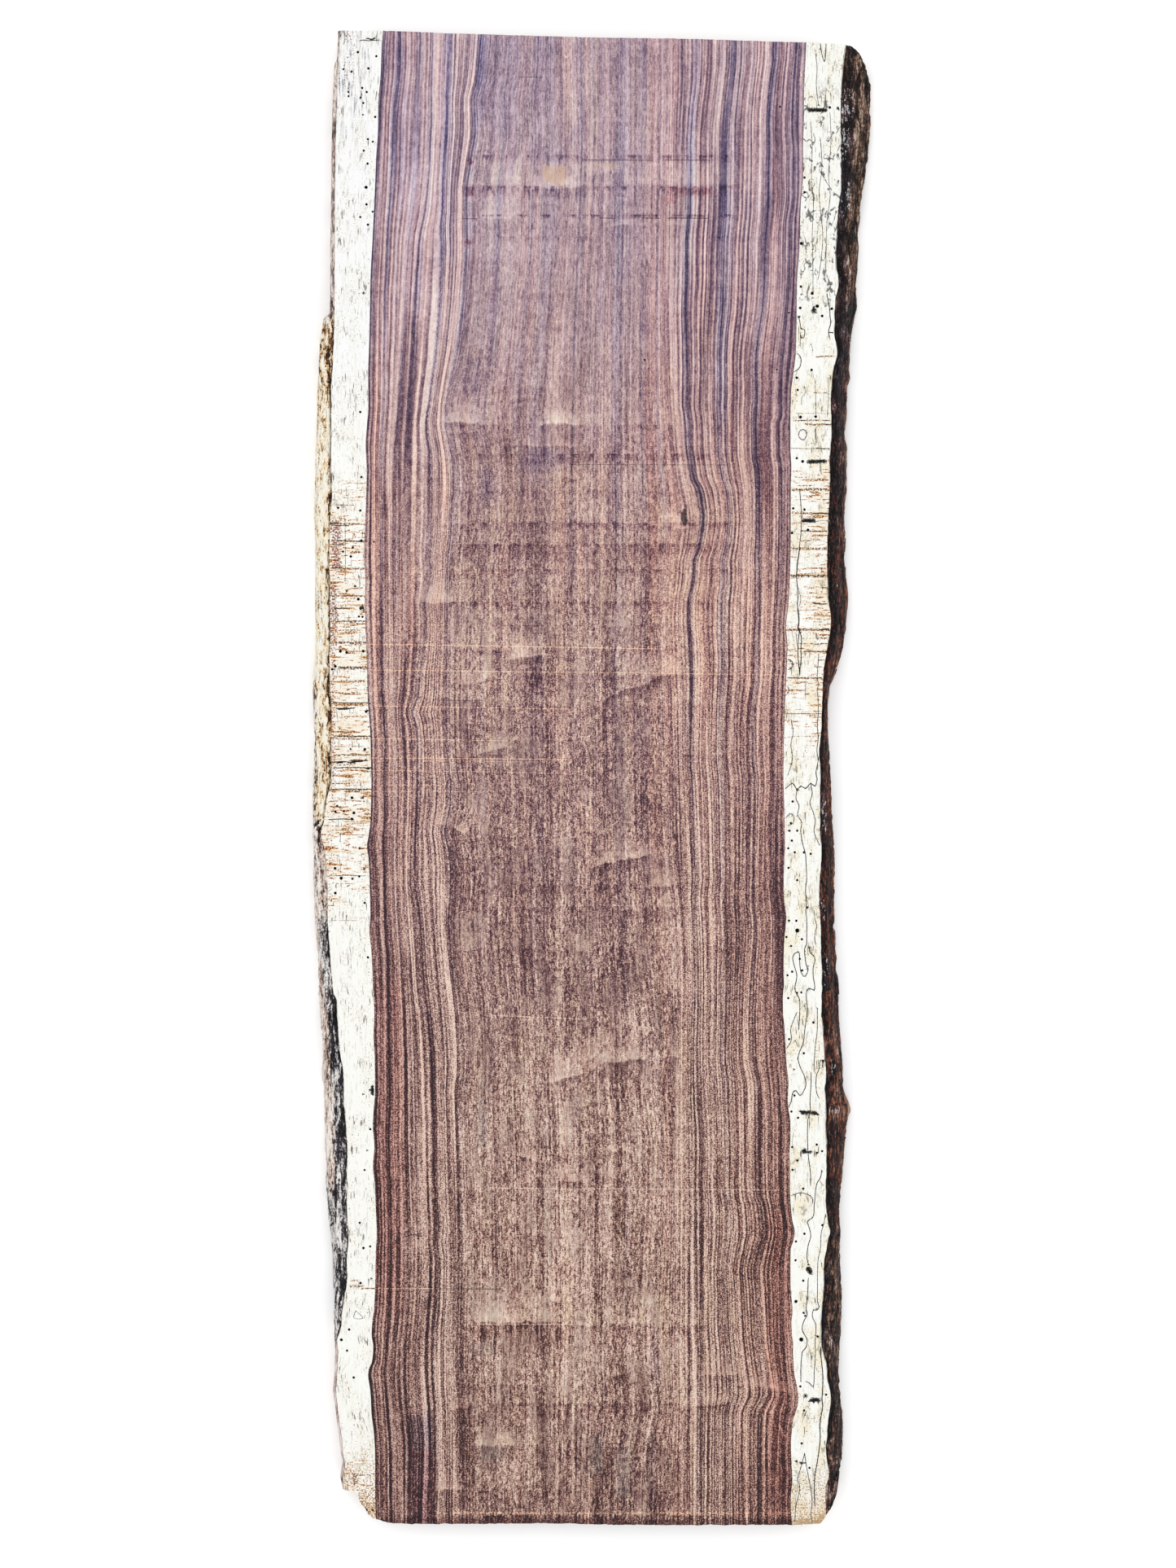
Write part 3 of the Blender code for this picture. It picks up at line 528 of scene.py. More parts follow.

# Steps of the figure: a crisp line with smooth pale wood above it, partly a painted sheen, and dark speckled wood
# below, partly painted shade. (pale, its height, dark, its height, points of the line)
FIGURES = [
    (0.9, 16, 0.75, 9, [(546, 520), (556, 519), (572, 519.5), (590, 519)]),
    (0.3, 6, 0.7, 9, [(548, 530), (560, 534), (576, 531), (590, 530)]),
    (0.9, 13, 0.75, 12, [(660, 523), (668, 521), (690, 520.5), (712, 521)]),
    (0.5, 10, 0.4, 10, [(652, 536), (658, 528), (666, 523)]),
    (0.4, 8, 0.6, 14, [(640, 548), (668, 547), (700, 548), (722, 547)]),
    (0.8, 18, 0.75, 11, [(508, 741.5), (525, 740), (545, 740.5), (562, 739)]),
    (1.0, 24, 0.8, 24, [(624, 810), (640, 808), (655, 806), (669, 805)]),
    (0.85, 13, 0.55, 12, [(560, 838), (580, 839.5), (600, 833), (616, 832)]),
    (0.3, 8, 0.85, 6, [(526, 858.5), (545, 857.5), (568, 859.5), (598, 862)]),
    (0.40, 18, 0.95, 16, [(738, 872), (743, 860), (758, 851), (780, 845), (796, 840), (806, 832), (822, 828), (843, 826)]),
    (0.7, 10, 0.7, 9, [(553, 926), (575, 931), (596, 924), (618, 918), (640, 908)]),
    (0.7, 12, 0.4, 9, [(530, 1016), (546, 1013), (560, 1019), (578, 1026)]),
    (0.95, 17, 0.95, 18, [(724, 1066), (740, 1061), (760, 1058), (780, 1054), (798, 1050)]),
    (0.6, 9, 0.5, 6, [(730, 1050), (742, 1043), (754, 1038)]),
    (0.6, 10, 0.8, 9, [(792, 1087), (812, 1089), (836, 1085)]),
    (0.2, 6, 0.5, 16, [(640, 1036), (664, 1034), (690, 1038)]),
    (0.5, 8, 0.6, 10, [(648, 1115), (668, 1114)]),
    (0.2, 6, 0.55, 9, [(592, 1118), (616, 1117)]),
    (0.5, 10, 0.7, 9, [(748, 1117), (784, 1118), (824, 1113)]),
    (0.6, 10, 0.65, 12, [(704, 1168), (728, 1169)]),
    (0.4, 10, 0.5, 12, [(556, 1166), (584, 1168)]),
    (0.85, 34, 0.75, 22, [(672, 1330), (704, 1322), (728, 1314), (742, 1305), (764, 1303), (796, 1301)]),
    (0.3, 8, 0.8, 13, [(806, 1306), (818, 1298), (836, 1300)]),
    (0.7, 10, 0.75, 11, [(630, 1417), (646, 1422), (666, 1432)]),
    (0.7, 15, 0.8, 7, [(676, 1452), (700, 1451), (722, 1452)]),
    (0.5, 9, 0.6, 8, [(726, 1440), (748, 1444), (768, 1453)]),
    (0.4, 8, 0.75, 6, [(492, 1520), (500, 1511), (512, 1508), (526, 1512)]),
    (0.5, 6, 0.4, 6, [(500, 1528), (512, 1531), (524, 1527)]),
    (0.85, 26, 0.8, 24, [(580, 1626), (610, 1624), (650, 1623), (690, 1625)]),
    (0.7, 12, 0.3, 6, [(636, 1603), (662, 1601), (692, 1597)]),
    (0.7, 9, 0.2, 6, [(734, 1612), (752, 1613), (770, 1609)]),
    (0.6, 12, 0.3, 8, [(780, 1602), (804, 1600)]),
    (0.7, 18, 0.6, 10, [(858, 1690), (884, 1689), (914, 1686)]),
    (0.4, 8, 0.75, 14, [(748, 1690), (776, 1688)]),
    (0.7, 9, 0.3, 6, [(682, 1713), (700, 1712)]),
    (0.8, 11, 0.8, 14, [(552, 1731), (566, 1730), (586, 1727)]),
    (0.75, 18, 0.5, 10, [(582, 1776), (610, 1775), (638, 1773)]),
    (0.75, 12, 0.75, 14, [(530, 1831), (548, 1830.5), (570, 1830)]),
    (0.5, 14, 0.8, 20, [(846, 1728), (872, 1726), (900, 1722)]),
    (0.8, 12, 0.35, 8, [(905, 1702), (930, 1703), (955, 1707), (976, 1710)]),
    (0.7, 16, 0.5, 12, [(640, 233), (672, 231), (700, 230), (720, 227)]),
    (0.2, 6, 0.7, 10, [(648, 252), (676, 250), (690, 252)]),
    (0.5, 8, 0.6, 9, [(752, 277), (784, 276)]),
    (0.7, 18, 0.35, 8, [(590, 268), (612, 269), (640, 267)]),
    (0.6, 9, 0.6, 14, [(800, 648), (812, 645), (828, 647), (848, 650)]),
    (0.5, 9, 0.4, 8, [(556, 643), (574, 643)]),
    (0.75, 20, 0.2, 6, [(758, 831), (772, 829), (786, 826), (798, 823)]),
    (0.7, 18, 0.1, 5, [(812, 826), (824, 824), (838, 822)]),
    (0.6, 12, 0.4, 10, [(744, 771), (760, 769), (778, 770)]),
    (0.5, 8, 0.6, 9, [(804, 1202), (814, 1201), (824, 1202)]),
    (0.4, 8, 0.55, 10, [(654, 1272), (664, 1273), (678, 1276)]),
    (0.5, 12, 0.35, 8, [(746, 1415), (758, 1414), (772, 1416)]),
]


def figure_line(points):
    line = resample(points, 2.4)
    line[:, 1] += 2.6 * fbm(line[:, 0] / 9, line[:, 1] / 60, 0, 55, 2) + 1.6 * fbm(line[:, 0] / 2.8, line[:, 1] / 40, 0, 57, 2)
    return line


# broken dark rows where a ring was torn by the saw: (y, x0, x1, strength)
for y, x0, x1, power in [
    (267.8, 737, 755, 0.55), (267.8, 789, 811, 0.55), (267.8, 824, 870, 0.6), (196.5, 716, 800, 0.5), (196.5, 818, 872, 0.5),
    (268.5, 569, 585, 0.5), (570.5, 700, 893, 0.35), (1583, 540, 615, 0.55), (94.6, 638, 663, 0.4), (1518, 786, 914, 0.25),
    (860, 533, 594, 0.4),
]:
    mark("ink", power, 0.9, (x0, y), (x1, y + 0.4))

# beetle holes: (px, py, diameter)
HOLES = [
    (439.7, 64, 2.6), (462.4, 69, 2.3), (452.7, 84, 2.4), (422, 85, 2.0), (432, 88, 2.2), (445, 108, 2.3), (450.6, 113, 2.2),
    (428.2, 113, 1.9), (428.2, 118.2, 1.9), (443, 120, 2.2), (446.4, 126.5, 2.1), (461, 143.5, 2.3), (452, 171, 2.2),
    (458, 174, 2.0), (447, 185, 2.1), (451.6, 201, 2.3), (449.8, 230, 3.4), (450.4, 251, 2.4), (458, 260, 2.0),
    (442.7, 266.6, 2.2), (452, 276, 2.4), (442.7, 506, 2.3), (444, 586, 2.3), (442.7, 627, 2.3), (444, 664.4, 2.8),
    (459.3, 665.5, 1.8), (433.5, 672.5, 2.3), (431, 683.5, 2.5), (421.5, 677.5, 2.2), (415.5, 623.8, 2.4), (436.5, 720, 2.0),
    (426, 726, 1.6), (440.3, 736, 3.0), (441, 757.3, 2.2), (445.4, 757.6, 2.2), (418.3, 800, 3.0), (426, 801.6, 2.8),
    (446.3, 799.8, 2.8), (412, 818.3, 3.0), (408.4, 822, 2.6), (449.8, 874, 2.8), (448.2, 920.4, 2.8), (430.8, 920, 1.8),
    (432.5, 979.8, 2.9), (446, 980, 1.8), (414.3, 990, 2.2), (412.2, 997, 2.3), (422.5, 996.5, 2.4), (434.8, 998.5, 3.0),
    (432.6, 1006, 2.6), (411.8, 1066.6, 3.0), (419.3, 1078.6, 3.4), (433, 1079.5, 2.2), (441.5, 1076.5, 2.2), (412, 1097, 2.8),
    (448, 1109, 2.3), (452, 1176, 2.3), (455, 1387, 2.1), (448, 1437, 2.0), (442, 1502, 2.2), (454.8, 1531, 2.1),
    (446.6, 1533, 2.4), (443, 1576, 2.4), (429, 1633, 2.4), (426.4, 1659, 2.2), (434.6, 1692, 2.4), (419.4, 1645.7, 3.0),
    (452, 873, 1.4), (449.5, 1853, 2.6), (458, 1855, 1.8),
    (958.5, 131, 2.2), (969.5, 384, 2.0), (792, 442, 2.0), (954.5, 454, 1.8), (1019.6, 132, 2.6), (1029.7, 133, 2.2),
    (988.5, 218, 2.4), (988.5, 236, 2.4), (984.6, 299, 3.2), (984, 352, 2.5), (998, 360.4, 3.4), (1004.2, 376, 3.8),
    (1010.2, 388, 2.8), (1022, 379.2, 2.8), (983.3, 378.2, 2.8), (997.3, 454.4, 2.5), (979, 464, 2.6), (980, 479, 2.2),
    (983.6, 512.4, 3.2), (1002.3, 511.8, 2.8), (979, 562.8, 2.4), (986.2, 566.8, 3.0), (974.7, 624.4, 2.4), (988.5, 626, 2.4),
    (992.8, 650.8, 2.6), (973.2, 654.6, 2.6), (974, 984.5, 2.3), (971.8, 1011, 2.3), (969.8, 1020.4, 2.2), (979.5, 1020.3, 2.2),
    (973, 1032.5, 2.3), (968.6, 1042, 2.1), (976.6, 1047, 2.3), (987.9, 1047, 2.2), (996.2, 1048.8, 2.2), (968.9, 1066, 2.2),
    (979.6, 1081, 2.3), (992, 1114.6, 2.0), (1004.6, 1121.6, 3.2), (969.5, 1131, 2.3), (978.4, 1131, 2.3), (979.6, 1143, 4.6),
    (966.4, 1151, 2.1), (985.3, 1153.7, 2.3), (972, 1162, 2.2), (982.8, 1178, 2.1), (985.6, 1192, 2.3), (973.4, 1193.5, 2.3),
    (967.6, 1198, 2.1), (979.2, 1219.6, 2.1), (984.6, 1219, 2.1), (968.5, 1226, 2.2), (999.3, 1256, 2.3), (969.6, 1276.4, 2.2),
    (987.7, 1293.7, 2.3), (976.3, 1345.7, 2.2), (972.4, 1365.4, 2.2), (980.7, 1373, 2.2), (1003.5, 1406, 2.3), (973.4, 1409, 2.2),
    (1010.2, 1414, 2.1), (1003.8, 1416, 2.2), (979.8, 1425.4, 2.3), (974, 1437, 2.2), (987, 1460, 2.3), (988.4, 1515.5, 2.3),
    (1010.5, 1505, 2.3), (978, 1525, 2.3), (977.5, 1548, 2.2), (987, 1573, 2.3), (978, 1598.5, 3.4), (987.5, 1612.6, 2.2),
    (989.4, 1616.2, 2.0), (1004.6, 1641.6, 2.3), (984.6, 1645.4, 4.6), (983.4, 1703, 2.3), (989.6, 1714.6, 2.6),
    (1015, 1713, 2.2), (988, 1732.5, 2.3), (985, 1773, 2.3), (978.5, 1795, 2.2), (994.7, 1803, 2.2),
]
# slots where a gallery runs along the surface: (x0, y0, x1, y1, width)
SLOTS = [
    (995.6, 135, 1015.2, 135.4, 2.4), (995.4, 567.2, 1001.6, 566.8, 2.4), (1004.8, 566.8, 1011.6, 566.4, 2.4),
    (986.2, 640, 999.2, 639.8, 2.5), (1000, 377.5, 999.8, 381.4, 1.6), (983.6, 1365.7, 994.8, 1366.4, 1.9),
    (996.6, 1366.8, 1004.6, 1368.6, 1.7), (986.4, 1413.2, 993.8, 1415.6, 2.0), (992.6, 1557.6, 995.6, 1563.4, 3.2),
    (995.6, 1720, 1005.2, 1720.2, 2.6), (442.6, 747.2, 446.4, 747, 2.2), (416.6, 870.9, 427.6, 870.4, 2.2),
    (431.6, 936.2, 445.6, 934.4, 2.2), (450.9, 944.3, 455, 943, 1.7), (415.6, 936.8, 419.6, 936.6, 1.7),
    (457.6, 1334.6, 458, 1344.6, 1.7),
]
# rings left by plugged holes, drawn as a thin line round: (px, py, radius)
RING_MARKS = [
    (445.7, 141, 1.7), (446.6, 360, 1.9), (446, 1344, 1.7), (451, 1413, 1.6), (456, 1570.5, 1.6), (1029.7, 133, 2.6),
    (975.4, 1313.6, 1.7), (442, 1042, 1.9), (447.5, 1067.5, 1.9), (984.5, 361.6, 1.8), (1014, 376, 1.5), (989.6, 1714.6, 3.0),
    (660.5, 1710, 1.9), (695.5, 70, 1.6), (925.6, 241, 2.0), (939, 1788, 4.2), (959, 1492, 2.0), (444, 980, 1.6),
]
for cx, cy, r in RING_MARKS:
    kind = "saw" if HEART_FROM < cx < HEART_TO and 475 < cx < 962 else "ink"
    mark(kind, 0.6, 0.5, *[(cx + r * math.cos(a), cy + r * math.sin(a)) for a in np.linspace(0, 2 * math.pi, 9)])

# soft patches: (kind, strength, x0, y0, x1, y1, soft across, soft along)
# "pal" smooth pale figure, partly a painted sheen, "drk" dark speckled figure, partly painted shade, "org" rust, "gry"
# slate-grey stain, "blu" bluish dark stripe, "red" maroon, "wrm" yellowish
PATCHES = [
    ("pal", 0.55, 813, 630, 836, 645, 4, 3), ("drk", 0.4, 604, 875, 622, 891, 5, 4), ("pal", 0.45, 764, 1264, 791, 1298, 7, 6),
    ("pal", 0.45, 686, 1356, 703, 1446, 4, 10), ("pal", 0.35, 583, 1350, 598, 1436, 4, 10), ("drk", 0.4, 706, 1462, 725, 1498, 5, 9),
    ("drk", 0.4, 655, 1175, 677, 1218, 6, 9), ("drk", 0.28, 808, 1320, 820, 1450, 4, 16), ("pal", 0.35, 700, 577, 712, 600, 4, 4),
    ("wrm", 0.9, 665, 203, 695, 228, 9, 5), ("drk", 0.75, 672, 231, 719, 245, 10, 4), ("drk", 0.75, 651, 249, 674, 264, 7, 4),
    ("drk", 0.35, 655, 244, 735, 270, 20, 9), ("pal", 0.75, 700, 199, 767, 211, 8, 3), ("wrm", 0.45, 712, 199, 762, 211, 10, 3),
    ("pal", 0.55, 818, 199, 877, 228, 9, 3), ("pal", 0.4, 767, 200, 818, 226, 9, 4), ("red", 0.5, 820, 229, 877, 241, 6, 3),
    ("red", 0.35, 893, 224, 910, 233, 5, 3), ("red", 0.4, 812, 241, 836, 252, 6, 4), ("pal", 0.6, 754, 268, 785, 277, 7, 3),
    ("drk", 0.55, 761, 276, 779, 290, 6, 4), ("red", 0.8, 574, 194, 582, 204, 3, 3), ("red", 0.9, 573, 229, 581, 241, 3, 4),
    ("red", 0.7, 570, 293, 580, 304, 4, 4), ("drk", 0.4, 569, 312, 580, 344, 4, 6), ("drk", 0.6, 681, 458, 708, 503, 8, 9),
    ("pal", 0.75, 556, 508, 590, 520, 9, 3), ("pal", 0.8, 663, 509, 699, 521, 8, 3),
    ("drk", 0.75, 661, 522, 714, 547, 8, 3), ("blu", 0.5, 640, 552, 699, 578, 10, 5), ("drk", 0.4, 640, 540, 700, 600, 14, 12),
    ("pal", 0.5, 679, 579, 697, 602, 5, 3), ("pal", 0.45, 679, 628, 697, 641, 5, 3), ("drk", 0.6, 681, 641, 698, 651, 5, 3),
    ("pal", 0.35, 679, 653, 699, 668, 5, 3), ("drk", 0.65, 679, 668, 698, 686, 5, 3), ("pal", 0.4, 608, 609, 630, 643, 7, 4),
    ("pal", 0.45, 556, 630, 573, 643, 5, 4), ("blu", 0.5, 594, 578, 609, 620, 5, 6), ("drk", 0.45, 713, 544, 731, 570, 6, 4),
    ("pal", 0.5, 716, 578, 733, 598, 5, 3), ("pal", 0.5, 711, 609, 733, 643, 6, 3), ("drk", 0.45, 712, 643, 731, 668, 6, 3),
    ("pal", 0.5, 517, 716, 570, 741, 12, 3), ("drk", 0.6, 527, 741, 571, 760, 8, 3),
    ("pal", 0.55, 545, 770, 625, 797, 14, 6), ("drk", 0.5, 625, 811, 667, 845, 9, 4),
    ("drk", 0.5, 591, 838, 614, 856, 7, 4), ("drk", 0.6, 532, 855, 596, 868, 9, 3),
    ("drk", 0.35, 545, 868, 600, 892, 12, 9), 
    ("pal", 0.4, 679, 710, 709, 737, 7, 4), ("pal", 0.45, 576, 913, 593, 922, 5, 3),
    ("drk", 0.35, 600, 905, 660, 960, 16, 12), ("drk", 0.3, 720, 1084, 745, 1180, 9, 20),
    ("drk", 0.65, 803, 1086, 830, 1098, 5, 3), ("drk", 0.55, 788, 1113, 822, 1128, 8, 3), ("pal", 0.55, 650, 1105, 666, 1114, 5, 3),
    ("drk", 0.55, 590, 1060, 604, 1075, 4, 5), ("drk", 0.5, 616, 1058, 628, 1078, 4, 6), ("drk", 0.5, 626, 1098, 640, 1114, 5, 5),
    ("drk", 0.55, 632, 1128, 645, 1144, 5, 5), ("drk", 0.55, 783, 1146, 812, 1194, 8, 10), ("drk", 0.5, 706, 1168, 730, 1187, 7, 4),
    ("pal", 0.35, 681, 1030, 695, 1175, 4, 14), ("pal", 0.45, 690, 1296, 745, 1320, 14, 5),
    
    ("drk", 0.5, 726, 1436, 753, 1453, 7, 4),
    ("pal", 0.45, 686, 1380, 705, 1436, 6, 6), ("pal", 0.55, 721, 1426, 748, 1441, 7, 3), ("blu", 0.25, 583, 1366, 598, 1406, 5, 6),
    ("pal", 0.35, 583, 1366, 598, 1406, 5, 6), ("pal", 0.5, 583, 1583, 652, 1625, 8, 4), ("pal", 0.35, 636, 1586, 684, 1605, 8, 3),
    ("drk", 0.6, 600, 1628, 683, 1662, 12, 4), ("gry", 0.5, 578, 1649, 606, 1666, 7, 4), ("drk", 0.5, 636, 1604, 652, 1617, 5, 3),
    ("pal", 0.4, 686, 1520, 705, 1695, 4, 10), ("pal", 0.45, 861, 1666, 894, 1686, 8, 4), ("drk", 0.6, 861, 1720, 898, 1741, 7, 3),
    ("drk", 0.45, 845, 1729, 893, 1765, 9, 6), ("pal", 0.7, 563, 1719, 581, 1731, 6, 3), ("drk", 0.65, 555, 1731, 584, 1751, 6, 3),
    ("pal", 0.6, 584, 1753, 635, 1776, 12, 5), ("gry", 0.6, 590, 1776, 621, 1794, 8, 4), ("pal", 0.6, 535, 1822, 564, 1831, 8, 3),
    ("drk", 0.65, 536, 1832, 570, 1855, 8, 4), ("gry", 0.6, 723, 1765, 741, 1812, 4, 6), ("gry", 0.6, 757, 1780, 774, 1839, 4, 6),
    ("drk", 0.6, 503, 1735, 534, 1872, 5, 12), ("blu", 0.9, 504, 1738, 533, 1872, 4, 12), ("red", 0.5, 505, 1780, 533, 1872, 4, 14), ("blu", 0.5, 797, 1762, 806, 1868, 3, 12),
    ("blu", 0.45, 801, 1636, 810, 1698, 3, 8), ("red", 0.35, 940, 1478, 972, 1872, 10, 30), ("red", 0.35, 458, 1190, 500, 1640, 12, 60),
    ("drk", 0.55, 940, 1706, 956, 1728, 5, 5), ("pal", 0.4, 506, 1500, 522, 1512, 6, 4),
    # the top third is cooler, partly a painted sky reflection; broad blotches of tone
    ("blu", 0.75, 586, 42, 600, 150, 5, 20), ("blu", 0.45, 600, 42, 640, 170, 14, 30), ("blu", 0.5, 655, 42, 678, 140, 6, 22),
    ("blu", 0.35, 645, 130, 672, 200, 9, 16), ("blu", 0.2, 884, 48, 893, 300, 4, 20), ("blu", 0.3, 757, 150, 770, 330, 5, 30),
    ("blu", 0.4, 480, 40, 500, 240, 8, 50), ("blu", 0.4, 540, 40, 556, 320, 6, 40), ("blu", 0.3, 500, 120, 520, 380, 9, 40),
    ("blu", 0.35, 570, 440, 590, 485, 6, 12), ("drk", 0.3, 570, 440, 592, 486, 6, 9), ("blu", 0.35, 880, 350, 895, 530, 6, 30),
    ("drk", 0.3, 600, 470, 700, 610, 40, 40), ("drk", 0.30, 580, 880, 700, 1250, 40, 70), ("drk", 0.22, 760, 1120, 830, 1240, 25, 30),
    ("pal", 0.25, 700, 560, 860, 800, 50, 60), ("pal", 0.22, 560, 1580, 860, 1720, 60, 50), ("pal", 0.2, 590, 1470, 800, 1600, 60, 40),
    ("drk", 0.3, 470, 1690, 980, 1885, 60, 40), ("drk", 0.25, 580, 1330, 780, 1470, 50, 40),
    # sapwood stains, left
    ("gry", 0.7, 424.4, 36, 428.4, 56, 1.5, 5), ("gry", 0.6, 422.6, 64, 425.8, 102, 1.3, 7), ("gry", 0.6, 421.6, 98, 424.6, 131, 1.2, 7),
    ("gry", 0.6, 435.4, 36, 438.8, 62, 1.4, 6), ("gry", 0.5, 431.6, 52, 434.6, 86, 1.2, 7), ("gry", 0.35, 419, 36, 440, 130, 5, 22),
    ("org", 0.22, 408, 640, 424, 692, 5, 12), ("gry", 0.75, 405, 636, 420, 706, 4, 10), ("gry", 0.75, 405, 716, 415, 800, 3, 10),
    ("gry", 0.65, 405, 770, 413, 860, 3, 12), ("org", 0.18, 416, 872, 450, 906, 8, 6), ("gry", 0.6, 405, 850, 414, 1010, 4, 16), ("gry", 0.45, 398, 1010, 412, 1120, 4, 20),
    ("wrm", 0.55, 417, 818, 446, 850, 8, 6), ("wrm", 0.7, 416, 874, 450, 910, 8, 6), ("wrm", 0.55, 412, 925, 455, 975, 9, 8),
    ("wrm", 0.35, 414, 690, 448, 790, 9, 16), ("gry", 0.4, 396, 1000, 410, 1230, 5, 30), ("wrm", 0.3, 404, 1000, 450, 1110, 10, 20),
    ("wrm", 0.5, 412, 1756, 460, 1870, 12, 16), ("org", 0.75, 431, 1809, 441, 1828, 3.5, 5), ("org", 0.25, 424, 1798, 452, 1860, 9, 12),
    ("org", 0.5, 454, 1850, 462, 1868, 3, 5), ("gry", 0.25, 410, 300, 420, 600, 4, 60), ("org", 0.4, 428, 1572, 447, 1588, 6, 4),
    # sapwood stains, right
    ("org", 0.20, 1016, 60, 1036, 134, 7, 16), ("wrm", 0.35, 1012, 54, 1036, 150, 8, 16), ("org", 0.4, 1010, 646, 1017, 735, 3, 14),
    ("wrm", 0.45, 985, 595, 1018, 612, 8, 4), ("wrm", 0.4, 980, 665, 1017, 715, 9, 8), ("wrm", 0.4, 985, 740, 1020, 812, 9, 10),
    ("org", 0.22, 1006, 1243, 1011, 1302, 2.5, 10), ("wrm", 0.5, 1004, 1243, 1012, 1302, 3, 10), ("wrm", 0.4, 966, 1852, 1012, 1880, 9, 12),
    ("org", 0.3, 968, 1866, 1010, 1880, 9, 5), ("wrm", 0.3, 968, 1400, 1014, 1640, 12, 30), ("org", 0.16, 1010, 1668, 1022, 1870, 4, 14),
    ("gry", 0.3, 1012, 1668, 1022, 1870, 4, 14), ("wrm", 0.3, 968, 1000, 1008, 1240, 12, 40), ("wrm", 0.25, 972, 430, 1020, 600, 12, 40),
    ("gry", 0.25, 1000, 330, 1020, 350, 5, 8),
]
KINDS = ("ink", "org", "saw", "pal", "drk", "gry", "blu", "red", "wrm")


def polyline_distance(points, qx, qy):
    best = np.full(qx.shape, 1e9)
    for (x0, y0), (x1, y1) in zip(points, points[1:]):
        dx, dy = x1 - x0, y1 - y0
        t = np.clip(((qx - x0) * dx + (qy - y0) * dy) / (dx * dx + dy * dy + 1e-9), 0, 1)
        best = np.minimum(best, np.hypot(qx - x0 - t * dx, qy - y0 - t * dy))
    return best


def resample(points, step):
    """Points every `step` mm along a smooth line through the given ones."""
    p = np.array(points, float)
    seg = np.hypot(*np.diff(p, axis=0).T)
    s = np.concatenate([[0], np.cumsum(seg)])
    n = max(2, int(round(s[-1] / step)) + 1)
    q = np.linspace(0, s[-1], n)
    if len(p) < 3:
        return np.stack([np.interp(q, s, p[:, 0]), np.interp(q, s, p[:, 1])], axis=1)
    m = np.zeros_like(p)
    m[1:-1] = (p[2:] - p[:-2]) / (s[2:] - s[:-2])[:, None]
    m[0], m[-1] = (p[1] - p[0]) / seg[0], (p[-1] - p[-2]) / seg[-1]
    i = np.clip(np.searchsorted(s, q) - 1, 0, len(s) - 2)
    h = seg[i][:, None]
    t = ((q - s[i]) / seg[i])[:, None]
    return (
        p[i] * (2 * t**3 - 3 * t**2 + 1)
        + h * m[i] * (t**3 - 2 * t**2 + t)
        + p[i + 1] * (3 * t**2 - 2 * t**3)
        + h * m[i + 1] * (t**3 - t**2)
    )


